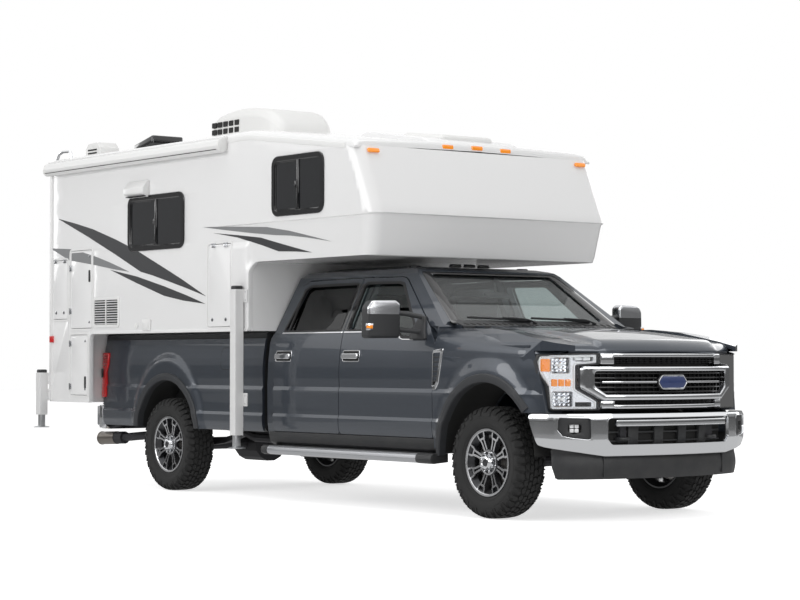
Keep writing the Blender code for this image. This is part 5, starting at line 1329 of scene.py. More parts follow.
FENDER_HEIGHTS = sorted([0.48 + 0.02 * k for k in range(11)] + [0.697, 0.722]
                        + [0.74 + 0.02 * k for k in range(9)] + [0.916, 0.946]
                        + [0.966 + 0.02 * k for k in range(11)] + [1.18])


def over_body(form: Form, out: float = 0.0) -> Form:
    """Lay a form drawn in XZ, with Y outwards, over the left body side."""
    return form.bend(lambda v: (v.x, BODY.side_y(v.x, v.z) + v.y + out, v.z)).outwards()


@dataclass
class TruckBody:
    """Painted panels, glass trim and small parts of the truck."""

    skin_depth: float = 0.022
    seam_soft: float = 0.0022
    seam_angle: float = 65.0
    mirror_sweep: float = 0.03

    def panel(self, outline: Outline, low_x: float, high_x: float, step: float) -> Form:
        """Make a painted side panel from its outline, with a thickness that reaches the solid behind."""
        form = sheet(outline).sliced(0, low_x, high_x, step).sliced(2, 0.4, 1.9, 2.0, HEIGHTS)
        form.bend(lambda v: (v.x, BODY.side_y(v.x, v.z), v.z))
        return form.thickened(lambda v: (v.x, v.y - self.skin_depth, v.z))

    def doors(self, side: Side) -> None:
        """Outer skins of the doors with belt trim, window seals and handles."""
        for place, outline in DOORS.items():
            corners = [0.028 if z < 0.6 else 0.05 for _, z in outline]
            skin = self.panel(rounded(outline, corners, 5), -2.8, -0.6, 0.12)
            window = rounded(grown(PANES[place], 0.014), 0.04, 6)
            skin.cut(plate(window, "Y", 0.5, 1.2))
            skin.soften(self.seam_soft, 2, self.seam_angle).paint(0)
            handle_x = -1.653 if place == "front" else -2.6
            self.handle(skin, handle_x)
            inner_edge = grown(window, -0.016)
            seal = band(grown(window, 0.007), inner_edge, -0.02, 0.003, 0.002).sliced(2, 1.3, 1.8, 0.06)
            skin.add(over_body(seal).paint(2))
            low, high = (-1.8, -1.13) if place == "front" else (-2.668, -1.822)
            belt = box((low, -0.002, 1.378), (high, 0.0075, 1.3925), 0.003).sliced(0, low, high, 0.1)
            skin.add(over_body(belt).paint(1))
            if place == "front":
                run = [(-1.135, 1.385), (-1.085, 1.372), (-1.05, 1.335), (-1.005, 1.322), (-0.87, 1.32)]
                rail = pipe([(x, 0.004, z) for x, z in run], 0.006, 8)
                skin.add(over_body(rail).paint(1))
                skin.add(over_body(box((-1.806, -0.004, 1.4), (-1.76, 0.003, 1.775), 0.002)).paint(3))
            else:
                skin.add(over_body(box((-1.862, -0.004, 1.4), (-1.822, 0.003, 1.775), 0.002)).paint(3))
                skin.add(over_body(box((-2.6, -0.01, 1.402), (-2.582, 0.004, 1.755), 0.002)).paint(2))
            name = f"{place}_door_{side.value}"
            skin.sided(side).piece(f"{name}_skin", [PAINT, CHROME, SEAL, BLACK_GLOSS, BLACK_AND_PAINTED_SHADE],
                                   body=name, slot="body_paint", sharp=13.0)

    def handle(self, form: Form, x: float) -> None:
        """Add a chrome pull handle over a cup, with its surround; the cup's floor is a near-black plate of
        painted shade.
        """
        cup = rounded(rectangle(x - 0.115, x + 0.115, 1.148, 1.242), 0.022, 6)
        form.add(over_body(band(cup, grown(cup, -0.009), -0.004, 0.0065, 0.002).sliced(2, 1.14, 1.25,
                                                                                       0.03)).paint(1))
        # Near-black plate inside the surround: painted shade of the cup's recess.
        form.add(over_body(plate(grown(cup, -0.008), "Y", -0.003, 0.004).sliced(2, 1.14, 1.25,
                                                                                 0.03)).paint(4))
        bar = plate(rounded(rectangle(x - 0.108, x + 0.108, 1.172, 1.216), 0.016, 5), "Y", 0.02,
                    0.036).soften(0.006, 3, 50.0)
        bar.bend(lambda v: (v.x, v.y - 0.01 * ((v.x - x) / 0.108) ** 2, v.z))
        form.add(over_body(bar).paint(1))
        for dx in (-0.082, 0.082):
            form.add(over_body(box((x + dx - 0.018, 0.0, 1.178), (x + dx + 0.018, 0.026, 1.21),
                                   0.006)).paint(1))

    def fender(self, side: Side) -> None:
        """Front fender from the door to the lamp, with its flare and rolled top."""
        rows = []
        stations = [-0.5985 + 0.0205 * k for k in range(52)] + [0.465 + 0.0118 * k
                                                                for k in range(20)] + [0.7005]
        edge = BODY.hood_half + 0.006
        for x in stations:
            row = [(x, BODY.side_y(x, z), z) for z in FENDER_HEIGHTS]
            low_y = row[-1][1]
            low_z = row[-1][2]
            for k in range(1, 15):
                turn = math.radians(90.0 * k / 14)
                y = edge + (low_y - edge) * math.cos(turn) ** 0.8
                z = low_z + (BODY.crown(x, y) - low_z) * math.sin(turn) ** 0.8
                row.append((x, y, z))
            rows.append(row)
        form = skinned(rows, closed=False)
        form.thickened(lambda v: (v.x, v.y - 0.004, v.z) if v.z < 1.2 else (v.x, v.y - 0.003, v.z - 0.003))
        arch_x, arch_z, radius = BODY.front_arch
        hole = rod((arch_x, 0.5, arch_z), (arch_x, 1.3, arch_z), radius + 0.002, 72)
        lamp = plate([(0.64, 0.4), (0.64, 0.79), (0.592, 1.06), (0.551, 1.2055), (1.2, 1.2055),
                      (1.2, 0.4)], "Y", 0.5, 1.3)
        low = box((-1.0, 0.5, 0.4), (0.2, 1.3, 0.5))
        front_low = box((0.2, 0.5, 0.4), (1.2, 1.3, 0.786))
        form.cut(hole, lamp, low, front_low)
        form.paint(0)
        form.add(self.arch_trim(BODY.front_arch, 36.0, 183.0).paint(1))
        self.vent(form)
        name = f"fender_{side.value}"
        form.sided(side).piece(f"{name}_skin", [PAINT, MOULDING, CHROME, BLACK_GLOSS, BLACK],
                               slot="body_paint", sharp=17.5)

    def arch_trim(self, arch: tuple[float, float, float], start: float, end: float) -> Form:
        """Charcoal moulding round a wheel arch."""
        centre_x, centre_z, radius = arch
        rings = []
        for k in range(49):
            angle = math.radians(start + (end - start) * k / 48)
            ring_points = []
            for reach, out in ((radius - 0.012, -0.055), (radius - 0.012, 0.004), (radius - 0.006, 0.012),
                               (radius + 0.02, 0.016), (radius + 0.046, 0.013), (radius + 0.054, 0.006),
                               (radius + 0.056, -0.004)):
                x, z = centre_x + reach * math.cos(angle), centre_z + reach * math.sin(angle)
                ring_points.append((x, BODY.side_y(x, z) + out, z))
            rings.append(ring_points)
        return skinned(rings)

    def vent(self, form: Form) -> None:
        """Add the chrome-edged vent at the back of the fender."""
        outer = rounded([(-0.5965, 1.24), (-0.47, 1.25), (-0.478, 1.215), (-0.52, 0.985),
                         (-0.56, 0.938), (-0.5965, 0.938)], [0.006, 0.02, 0.01, 0.03, 0.012, 0.006],
                        4)
        inner = rounded([(-0.5955, 1.216), (-0.505, 1.22), (-0.508, 1.2), (-0.548, 1.0),
                         (-0.572, 0.972), (-0.5955, 0.97)], [0.004, 0.012, 0.01, 0.02, 0.01, 0.004],
                        4)
        form.add(over_body(band(outer, inner, -0.006, 0.012, 0.004)).paint(2))
        form.add(over_body(plate(grown(inner, 0.002), "Y", -0.006, 0.0022)).paint(3))
        for k in range(6):
            z = 1.0 + 0.036 * k
            reach = -0.545 + 0.035 * k / 6
            form.add(over_body(box((-0.592, 0.0, z), (reach, 0.0065, z + 0.01), 0.002)).paint(4))

    def hood(self) -> None:
        """Hood with its raised middle and rolled front edge."""
        spread = [0.0, 0.08, 0.16, 0.24, 0.32, 0.4, 0.45, 0.48, 0.5, 0.515, 0.53, 0.545, 0.56, 0.575,
                  0.59, 0.61, 0.64, 0.68, 0.72, 0.76, 0.795, 0.8]
        both = sorted({-y for y in spread} | set(spread))
        rows = []
        for k in range(49):
            share = k / 28 * 0.88 if k < 28 else 0.88 + 0.12 * math.sin(math.radians(90.0 * (k - 28) / 20))
            row = []
            for y in both:
                x = -0.497 + (smooth_table(BODY.lip, abs(y)) + 0.497) * share
                row.append((x, y, BODY.crown(x, y) - (0.0035 if abs(y) >= 0.8 else 0.0)))
            rows.append(row)
        form = skinned(rows, closed=False)
        form.thickened(lambda v: (v.x - (0.016 if v.x > 0.6 else 0.0), v.y * 0.996, v.z - 0.024))
        for sign in (-1.0, 1.0):
            form.add(box((-0.506, sign * 0.64 - 0.035, 1.411), (-0.47, sign * 0.64 + 0.035, 1.419)))
            form.add(rod((-0.506, sign * 0.6, 1.416), (-0.506, sign * 0.68, 1.416), 0.0055, 12))
            washer = box((-0.36, sign * 0.33 - 0.02, 1.426), (-0.33, sign * 0.33 + 0.02, 1.438), 0.005)
            form.add(washer.paint(1))
        form.piece("hood_skin", [PAINT, BLACK], body="hood", replaces=["hood"], slot="body_paint",
                   sharp=40.0)

    def bed(self) -> None:
        """Outer skins of the cargo bed with the rail caps and arch mouldings; the black rail caps fill up
        to the camper's underside, so they are partly real caps and partly painted shadow under the camper.
        """
        form = Form()
        outline = rounded([(BODY.bed_back, 0.565), (BODY.bed_front, 0.565), (BODY.bed_front, 1.346),
                           (BODY.bed_back, 1.346)], [0.03, 0.012, 0.012, 0.06], 6)
        skin = sheet(outline).sliced(0, BODY.bed_back, BODY.bed_front, 0.5)
        skin.sliced(0, -5.15, -3.7, 0.025).sliced(2, 0.57, 1.4, 0.025, HEIGHTS)
        skin.bend(lambda v: (v.x, BODY.side_y(v.x, v.z) - 0.016 * ease(0.03, 0.0, v.x - BODY.bed_back),
                             v.z))
        skin.thickened(lambda v: (v.x, min(v.y - 0.004, 0.984 if v.z < 1.15 else v.y - 0.02), v.z))
        arch_x, arch_z, radius = BODY.rear_arch
        lamp = rounded([(-5.64, 1.24), (-5.493, 1.236), (-5.493, 1.12), (-5.527, 1.05),
                        (-5.527, 0.85), (-5.545, 0.812), (-5.64, 0.812)],
                       [0.0, 0.02, 0.02, 0.03, 0.03, 0.015, 0.0], 4)
        skin.cut(rod((arch_x, 0.5, arch_z), (arch_x, 1.3, arch_z), radius + 0.002, 72),
                 plate(lamp, "Y", 0.8, 1.3))
        skin.soften(self.seam_soft, 2, self.seam_angle).paint(0)
        form.add(skin, self.arch_trim(BODY.rear_arch, 8.0, 172.0).paint(1))
        # Black rail cap from the bed top up to the camper's underside: part real cap, part painted shadow
        # under the camper.
        edge = BODY.side_y(-4.5, 1.355) - 0.006
        cap = rounded([(0.852, 1.38), (edge - 0.03, 1.3695), (edge - 0.026, 1.343), (edge, 1.343),
                       (edge, 1.388), (edge - 0.015, 1.4), (0.86, 1.4)], 0.006, 3)
        form.add(plate(cap, "X", BODY.bed_back + 0.02, BODY.bed_front - 0.002).soften(0.003, 2,
                                                                                      60.0).paint(2))
        door = rounded(rectangle(-3.56, -3.37, 1.08, 1.27), 0.05, 6)
        form.add(over_body(ring(door, 0.0045, -0.002, 0.0004, 0.0002)).paint(3))
        form.both_sides().piece("cargo_bed_skin", [PAINT, MOULDING, BLACK, SEAL], slot="body_paint",
                                sharp=15.0)

    def tail_lamps(self) -> None:
        """Tail lamps with their red lens, dark notch and clear reversing lamp."""
        for side in Side:
            outline = rounded([(-5.605, 1.232), (-5.499, 1.23), (-5.499, 1.122), (-5.533, 1.052),
                               (-5.533, 0.852), (-5.548, 0.819), (-5.605, 0.819)],
                              [0.012, 0.018, 0.02, 0.03, 0.03, 0.012, 0.01], 4)
            form = plate(outline, "Y", 0.868, 1.0).soften(0.006, 3, 50.0)
            form.bend(lambda v: (v.x, v.y if v.y < 0.95 else v.y + (BODY.side_y(-5.55, v.z) - 0.997), v.z))
            notch = plate(rounded(rectangle(-5.6065, -5.578, 1.0, 1.085), 0.006, 3), "Y", 0.955,
                          1.0165).soften(0.003, 2, 50.0)
            form.paint(0)
            form.add(notch.paint(1))
            form.add(box((-5.6085, 0.89, 0.92), (-5.6045, 0.99, 0.99), 0.003).paint(2))
            for k in range(5):
                z = 1.11 + 0.022 * k
                form.add(box((-5.59, 1.0, z), (-5.51, 1.0135, z + 0.004), 0.001).paint(1))
            name = f"tail_lamp_{side.value}"
            form.sided(side).piece(f"{name}_lens", [RED_LENS, BLACK_GLOSS, LENS_WHITE], replaces=[name],
                                   slot="lamp_red", sharp=35.0)

    def mirrors(self, side: Side) -> None:
        """Towing mirrors with their caps, arms, glasses and side lamps."""
        face = rounded([(1.128, 1.33), (1.4, 1.326), (1.414, 1.345), (1.408, 1.56), (1.372, 1.612),
                        (1.165, 1.616), (1.128, 1.59)], [0.03, 0.03, 0.02, 0.045, 0.04, 0.03,
                                                          0.03], 5)
        head = plate(face, "X", -0.935, -0.835).soften(0.022, 4, 50.0)

        def swept(v: Vector) -> tuple[float, float, float]:
            """Point of the head, swept back towards its end."""
            return v.x - self.mirror_sweep * max(0.0, (v.y - 1.128) / 0.286) ** 2, v.y, v.z

        head.bend(swept)
        form = head.sliced(2, 1.45, 1.55, 1.0, [1.51]).paint(0)
        for part in form.bm.faces:
            middle = part.calc_center_median()
            if middle.z > 1.51 and middle.x > -0.905:
                part.material_index = 1
        form.add(plate(grown(face, -0.026), "X", -0.94, -0.93).bend(swept).paint(2))
        form.add(box((-0.9, 1.376, 1.385), (-0.845, 1.4145, 1.44), 0.008).paint(4))
        form.add(box((-0.892, 1.384, 1.398), (-0.842, 1.4149, 1.427), 0.006).paint(3))
        for z, dz in ((1.395, -0.02), (1.52, -0.03)):
            arm = smooth_path([(-0.87, 1.14, z), (-0.85, 1.08, z - 0.005),
                               (-0.815, 1.01, z + dz * 0.6), (-0.785, 0.96, z + dz)], 5)
            form.add(pipe(arm, 0.019, 14).paint(0))
        foot = rounded([(-0.7, 1.318), (-0.905, 1.318), (-0.905, 1.395), (-0.86, 1.5),
                        (-0.8, 1.5)], 0.016, 4)
        base = plate(foot, "Y", -0.012, 0.022).soften(0.006, 2, 50.0).sliced(2, 1.3, 1.52, 0.04)
        form.add(over_body(base).paint(0))
        name = f"mirror_{side.value}"
        form.sided(side).piece(f"{name}_head", [BLACK, CHROME_SATIN, MIRROR, AMBER, CHROME],
                               body=f"front_door_{side.value}", replaces=[name], slot="black_plastic",
                               sharp=35.0)

    def steps(self, side: Side) -> None:
        """Running board, its brackets and the black sill over it."""
        section = rounded([(0.935, 0.396), (1.07, 0.386), (1.1, 0.398), (1.106, 0.42), (1.1, 0.446),
                           (1.08, 0.459), (0.935, 0.459)],
                          [0.006, 0.012, 0.012, 0.012, 0.012, 0.01, 0.006], 4)
        form = plate(section, "X", -2.7, -0.68).soften(0.002, 1, 60.0).paint(0)
        for low, high in ((-2.785, -2.692), (-0.69, -0.5)):
            form.add(plate(grown(section, 0.002), "X", low, high).soften(0.01, 3, 50.0).paint(1))
        for k in range(7):
            y = 0.96 + 0.018 * k
            form.add(box((-2.69, y, 0.4575), (-0.692, y + 0.008, 0.4605), 0.001).paint(1))
        for x in (-2.45, -1.65, -0.85):
            arm = [(x, 0.975, 0.415), (x, 0.9, 0.405), (x, 0.835, 0.43), (x, 0.83, 0.499)]
            form.add(pipe(smooth_path(arm, 4), 0.018, 12).paint(1))
        name = f"running_board_{side.value}"
        form.sided(side).piece(f"{name}_step", [ALUMINIUM, BLACK], replaces=[name], slot="brushed_metal",
                               sharp=35.0)
        sill = rounded([(0.8, 0.458), (0.944, 0.458), (0.986, 0.485), (0.997, 0.535), (0.999, 0.568),
                        (0.985, 0.572), (0.93, 0.502), (0.8, 0.502)],
                       [0.0, 0.01, 0.01, 0.01, 0.004, 0.004, 0.01, 0.0], 3)
        cover = plate(sill, "X", -2.82, -0.545).soften(0.003, 2, 60.0)
        cover.sided(side).piece(f"sill_cover_{side.value}", BLACK, slot="body_paint", sharp=40.0)

    def screen_trim(self) -> None:
        """Black edge of the windshield, cowl, wipers, cabin mirror and roof lamps."""
        slope = Vector((-0.605, 0.0, 0.44)).normalized()
        out = Vector((0.44, 0.0, 0.605)).normalized()
        base = Vector((-0.56, 0.0, 1.432))

        def on_screen(form: Form, lift: float) -> Form:
            """Lay a form drawn with X across and Z up the glass, Y outwards."""
            form.bend(lambda v: base + slope * v.z + out * (v.y + lift) + Vector((0.0, v.x, 0.0)))
            return form.outwards()

        outer = rounded([(-0.845, 0.012), (0.845, 0.012), (0.69, 0.722), (-0.69, 0.722)], 0.03, 6)
        inner = rounded([(-0.735, 0.056), (0.735, 0.056), (0.615, 0.69), (-0.615, 0.69)], 0.05, 6)
        form = on_screen(band(outer, inner, -0.006, 0.0035, 0.002), 0.0).paint(0)
        cowl = [(-0.5, 1.402), (-0.5, 1.424), (-0.53, 1.434), (-0.575, 1.448), (-0.6, 1.468),
                (-0.612, 1.462), (-0.57, 1.42)]
        form.add(plate(cowl, "Y", -0.785, 0.785).soften(0.003, 2, 60.0).paint(1))
        # Near-black cowl slots: painted shade of the vent openings.
        for k in range(24):
            y = -0.74 + 0.0635 * k
            form.add(box((-0.56, y, 1.436), (-0.52, y + 0.03, 1.4425), 0.001)
                     .bend(lambda v: (v.x, v.y, v.z - 0.3 * (v.x + 0.56) + 0.004)).paint(2))
        for pivot_y, tip_y in ((0.6, 0.02), (-0.02, -0.62)):
            arm = [(pivot_y, 0.02, 0.015), (pivot_y - 0.1, 0.034, 0.035),
                   ((pivot_y + tip_y) / 2, 0.026, 0.062)]
            form.add(on_screen(pipe(smooth_path(arm, 5), 0.0075, 8), 0.0).paint(1))
            blade = pipe([(pivot_y - 0.03, 0.012, 0.04), ((pivot_y + tip_y) / 2, 0.018, 0.06),
                          (tip_y - 0.03, 0.012, 0.082)], 0.009, 8)
            form.add(on_screen(blade, 0.0).paint(1))
            form.add(on_screen(rod((pivot_y, 0.0, 0.015), (pivot_y, 0.028, 0.015), 0.016, 16, soft=0.003),
                               0.0).paint(1))
        glass_mirror = plate(rounded(rectangle(-0.115, 0.115, 0.5, 0.58), 0.022, 5), "Y", -0.105,
                             -0.085).soften(0.006, 2, 50.0)
        form.add(on_screen(glass_mirror, 0.0).paint(1))
        form.add(on_screen(rod((0.0, -0.1, 0.56), (0.0, -0.012, 0.64), 0.01, 12), 0.0).paint(1))
        form.piece("windshield_trim", [BLACK_GLOSS, BLACK, BLACK_AND_PAINTED_SHADE], slot="black_plastic", sharp=35.0)
        lamps = Form()
        for y in (-0.56, -0.145, 0.0, 0.145, 0.56):
            lens = plate(rounded([(-0.06, 0.0), (0.06, 0.0), (0.045, 0.026), (-0.045, 0.026)], 0.01,
                                 4), "Y", -0.018, 0.018)
            lens.soften(0.006, 3, 50.0)
            rise = 1.908 - 0.022 * (y / 0.56) ** 2
            lamps.add(lens.move(Matrix.Translation((-1.4, y, rise)) @ Matrix.Rotation(math.pi / 2, 4,
                                                                                        "Z")))
        lamps.bend(lambda v: (v.x, v.y, v.z + 0.003))
        lamps.piece("cab_roof_lamps", BLACK_GLOSS, slot="black_plastic")

    def build(self) -> None:
        """Make every piece of the truck's outside."""
        for side in Side:
            self.doors(side)
            self.fender(side)
            self.mirrors(side)
            self.steps(side)
        self.hood()
        self.bed()
        self.tail_lamps()
        self.screen_trim()


def band(outer: Outline, inner: Outline, low: float, high: float, soft: float) -> Form:
    """Make a frame between two outlines with the same number of points, with Y as its depth.

    Args:
        outer: Outer edge in XZ.
        inner: Inner edge in XZ.
        low: Back of the frame.
        high: Face of the frame.
        soft: Width of the bevels.

    Returns:
        The closed frame.
    """
    crest_out, crest_in = grown(outer, -soft), grown(inner, soft)
    rows = [[(u, low, w) for u, w in outer], [(u, high - soft, w) for u, w in outer],
            [(u, high - soft * 0.3, w) for u, w in grown(outer, -soft * 0.35)],
            [(u, high, w) for u, w in crest_out], [(u, high, w) for u, w in crest_in],
            [(u, high - soft * 0.3, w) for u, w in grown(inner, soft * 0.35)],
            [(u, high - soft, w) for u, w in inner], [(u, low, w) for u, w in inner]]
    return looped(rows)


def mirrored(half: Outline) -> Outline:
    """Complete an outline that was drawn for the left half, from top to bottom."""
    return half + [(-u, w) for u, w in reversed(half)]


@dataclass
class FrontEnd:
    """Grille, lamps, bumper and air dam, laid over the curved nose."""

    nose: tuple[tuple[float, float], ...] = ((0.0, 0.935), (0.2, 0.918), (0.4, 0.88), (0.5, 0.85),
                                             (0.6, 0.815), (0.7, 0.775), (0.738, 0.76), (0.8, 0.735),
                                             (0.86, 0.7), (0.9, 0.672), (0.935, 0.643), (0.96, 0.615),
                                             (0.975, 0.588), (0.984, 0.56), (0.99, 0.52))
    bumper_plan: tuple[tuple[float, float], ...] = ((0.0, 0.985), (0.1, 0.9845), (0.3, 0.967),
                                                    (0.56, 0.922), (0.79, 0.842), (0.9, 0.775),
                                                    (0.96, 0.715), (0.992, 0.655), (1.006, 0.6),
                                                    (1.012, 0.54), (1.014, 0.48))

    def nose_x(self, y: float) -> float:
        """Station of the nose at a distance from the middle."""
        return smooth_table(self.nose, abs(y))

    def on_nose(self, form: Form, out: float = 0.0, step: float = 0.04) -> Form:
        """Lay a form drawn in XZ, with Y outwards, over the nose."""
        form.sliced(0, -1.0, 1.0, step)
        return form.bend(lambda v: (self.nose_x(v.x) + v.y + out, v.x, v.z)).outwards()

    def bumper_point(self, reach: float, back: float) -> tuple[float, float]:
        """Point of the bumper's plan at a distance along it from the middle.

        Args:
            reach: Distance along the outer face, negative to the right.
            back: How far inside the outer face.

        Returns:
            X and Y of the point.
        """
        sign = -1.0 if reach < 0 else 1.0
        left = abs(reach)
        line = [(x, y) for y, x in self.bumper_plan]
        for (ax, ay), (bx, by) in zip(line, line[1:]):
            length = math.hypot(bx - ax, by - ay)
            if left <= length or (bx, by) == line[-1]:
                share = left / length
                way = Vector((bx - ax, by - ay)).normalized()
                return (ax + (bx - ax) * share - way.y * back,
                        sign * (ay + (by - ay) * share + way.x * back))
            left -= length
        return line[-1]

    def grille(self) -> None:
        """Chrome frame and bars over a black mesh, with a plain plaque in the middle."""
        outer = mirrored(rounded([(0.0, 1.118), (0.74, 1.118), (0.742, 0.962), (0.592, 0.873),
                                  (0.0, 0.873)], [0.0, 0.03, 0.04, 0.05, 0.0], 5)[1:-1])
        inner = mirrored(rounded([(0.0, 1.08), (0.652, 1.08), (0.65, 0.975), (0.57, 0.918),
                                  (0.0, 0.918)], [0.0, 0.022, 0.03, 0.04, 0.0], 5)[1:-1])
        form = self.on_nose(band(outer, inner, -0.05, 0.034, 0.013))
        form.add(self.on_nose(box((-0.594, -0.03, 1.184), (0.594, 0.01, 1.209), 0.005)))
        form.add(self.on_nose(box((-0.594, -0.03, 0.815), (0.594, 0.016, 0.842), 0.006)))
        for side in (-1.0, 1.0):
            for low, high, out in ((1.132, 1.207, 0.014), (0.817, 0.87, 0.02)):
                block = box((side * 0.549 - 0.047, -0.04, low), (side * 0.549 + 0.047, out, high), 0.007)
                form.add(self.on_nose(block, 0.0, 0.03))
        for low, high in ((0.15, 0.59), (-0.59, -0.15)):
            form.add(self.on_nose(box((low, -0.03, 0.9965), (high, 0.012, 1.0105), 0.003)))
        mesh = Form()
        for k in range(5):
            z = 0.928 + 0.0335 * k
            mesh.add(box((-0.655, -0.034, z), (0.655, -0.012, z + 0.009), 0.002))
        for k in range(25):
            u = -0.636 + 0.053 * k
            mesh.add(box((u - 0.0025, -0.036, 0.915), (u + 0.0025, -0.016, 1.084)))
        for low, high in ((1.14, 1.18), (0.842, 0.872)):
            for k in range(3):
                z = low + (high - low) * (k + 0.5) / 3
                mesh.add(box((-0.505, -0.034, z - 0.0025), (0.505, -0.014, z + 0.0025)))
            for k in range(20):
                u = -0.48 + 0.0505 * k
                mesh.add(box((u - 0.002, -0.036, low - 0.002), (u + 0.002, -0.018, high + 0.002)))
        form.add(self.on_nose(mesh.paint(1), 0.0, 0.2))
        # Near-black sheet behind the mesh: painted shade of the hollow behind the grille.
        form.add(self.on_nose(plate(rounded(rectangle(-0.73, 0.73, 0.8, 1.214), 0.03, 3), "Y", -0.072,
                                    -0.06), 0.0, 0.1).paint(2))
        form.piece("grille_chrome", [CHROME, BLACK_GLOSS, BLACK_AND_PAINTED_SHADE], replaces=["grille"],
                   slot="chrome", sharp=35.0)
        self.plaque()

    def plaque(self) -> None:
        """Plain six-sided plaque in the middle of the grille."""
        outline = rounded([(-0.158, 1.003), (-0.112, 1.06), (0.112, 1.06), (0.158, 1.003),
                           (0.112, 0.946), (-0.112, 0.946)], [0.04, 0.045, 0.045, 0.04, 0.045, 0.045],
                          6)
        form = self.on_nose(plate(outline, "Y", -0.05, 0.016).soften(0.004, 2, 50.0).paint(2), 0.0, 0.05)
        form.add(self.on_nose(ring(grown(outline, -0.006), 0.009, 0.01, 0.0225, 0.003).paint(1), 0.0,
                              0.05))
        form.add(self.on_nose(plate(grown(outline, -0.014), "Y", 0.01, 0.0195).soften(0.003, 2,
                                                                                       50.0).paint(0),
                              0.0, 0.05))
        form.piece("grille_plaque", [BLANK_PLATE, CHROME, BLACK_GLOSS], slot="chrome", sharp=35.0)

    def lamp(self, side: Side) -> None:
        """Headlamp with its reflectors, amber corner and clear lens."""
        corners = [(0.602, 1.203), (0.968, 1.196), (0.978, 1.15), (0.9755, 1.072), (0.932, 0.975),
                   (0.926, 0.88), (0.922, 0.812), (0.604, 0.812), (0.604, 0.868), (0.752, 0.956),
                   (0.752, 1.128), (0.604, 1.14)]
        outline = rounded(corners, [0.01, 0.012, 0.0, 0.012, 0.012, 0.0, 0.014, 0.01, 0.012, 0.02,
                                    0.016, 0.008], 4)
        housing = plate(outline, "Y", -0.075, -0.03).soften(0.002, 1, 60.0).paint(0)
        pockets = [rounded(rectangle(0.795, 0.905, 1.07, 1.18), 0.012, 4),
                   rounded(rectangle(0.775, 0.898, 0.83, 0.935), 0.012, 4),
                   rounded(rectangle(0.64, 0.76, 0.83, 0.862), 0.008, 4),
                   rounded(rectangle(0.625, 0.77, 1.152, 1.188), 0.008, 4)]
        housing.cut(*[plate(line, "Y", -0.066, 0.05) for line in pockets])
        form = self.on_nose(housing, 0.0, 0.03)
        for line in pockets[:2]:
            form.add(self.on_nose(ring(grown(line, 0.006), 0.008, -0.04, -0.0245, 0.002), 0.0,
                                  0.03).paint(1))
        inside = Form()
        random.seed(4)
        for low_u, high_u, low_z, high_z in ((0.797, 0.903, 1.072, 1.178), (0.777, 0.896, 0.832, 0.933)):
            for i in range(4):
                for j in range(4):
                    u = low_u + (high_u - low_u) * i / 4
                    z = low_z + (high_z - low_z) * j / 4
                    wide, tall = (high_u - low_u) / 4, (high_z - low_z) / 4
                    crest = -0.052 + 0.01 * random.random()
                    facet = skinned([[(u, -0.064, z), (u + wide, -0.064, z), (u + wide, -0.064, z + tall),
                                      (u, -0.064, z + tall)],
                                     [(u + wide * 0.3, crest, z + tall * 0.2),
                                      (u + wide * 0.8, crest - 0.005, z + tall * 0.3),
                                      (u + wide * 0.7, crest + 0.004, z + tall * 0.8),
                                      (u + wide * 0.2, crest, z + tall * 0.7)]])
                    inside.add(facet)
            middle = ((low_u + high_u) / 2, (low_z + high_z) / 2)
            inside.add(rod((middle[0], -0.064, middle[1]), (middle[0], -0.034, middle[1]), 0.014, 20,
                           0.011, 0.002).paint(2))
        form.add(self.on_nose(inside, 0.0, 0.03))
        for low_u, high_u in ((0.64, 0.69), (0.7, 0.75)):
            form.add(self.on_nose(box((low_u, -0.062, 1.158), (high_u, -0.036, 1.182), 0.004), 0.0,
                                  0.03).paint(3))
        amber = plate(rounded(rectangle(0.921, 0.964, 1.08, 1.172), 0.008, 4), "Y", -0.03,
                      -0.008).soften(0.004, 2, 50.0)
        form.add(self.on_nose(amber, 0.0, 0.015).paint(4))
        for low_u, high_u in ((0.79, 0.822), (0.832, 0.864), (0.874, 0.906)):
            square = plate(rounded(rectangle(low_u, high_u, 0.975, 1.026), 0.006, 3), "Y", -0.034,
                           -0.018).soften(0.003, 2, 50.0)
            form.add(self.on_nose(square, 0.0, 0.02).paint(4))
        strip = band(grown(outline, -0.006), grown(outline, -0.018), -0.034, -0.02, 0.003)
        form.add(self.on_nose(strip, 0.0, 0.03).paint(3))
        name = f"headlamp_{side.value}"
        form.sided(side).piece(f"{name}_inside", [REFLECTOR, CHROME_SATIN, LENS_WHITE, LENS_WHITE, AMBER],
                               replaces=[name], slot="lamp_clear", sharp=25.0)
        lens = plate(outline, "Y", -0.004, 0.0).soften(0.0012, 1, 60.0)
        lens = self.on_nose(lens, 0.0, 0.02).sided(side)
        lens.piece(f"{name}_lens", LENS, slot="lamp_clear", sharp=35.0)
        edge = band(grown(outline, 0.009), grown(outline, 0.0015), -0.05, 0.001, 0.002)
        self.on_nose(edge, 0.0, 0.03).sided(side).piece(f"{name}_seal", BLACK, slot="black_plastic")

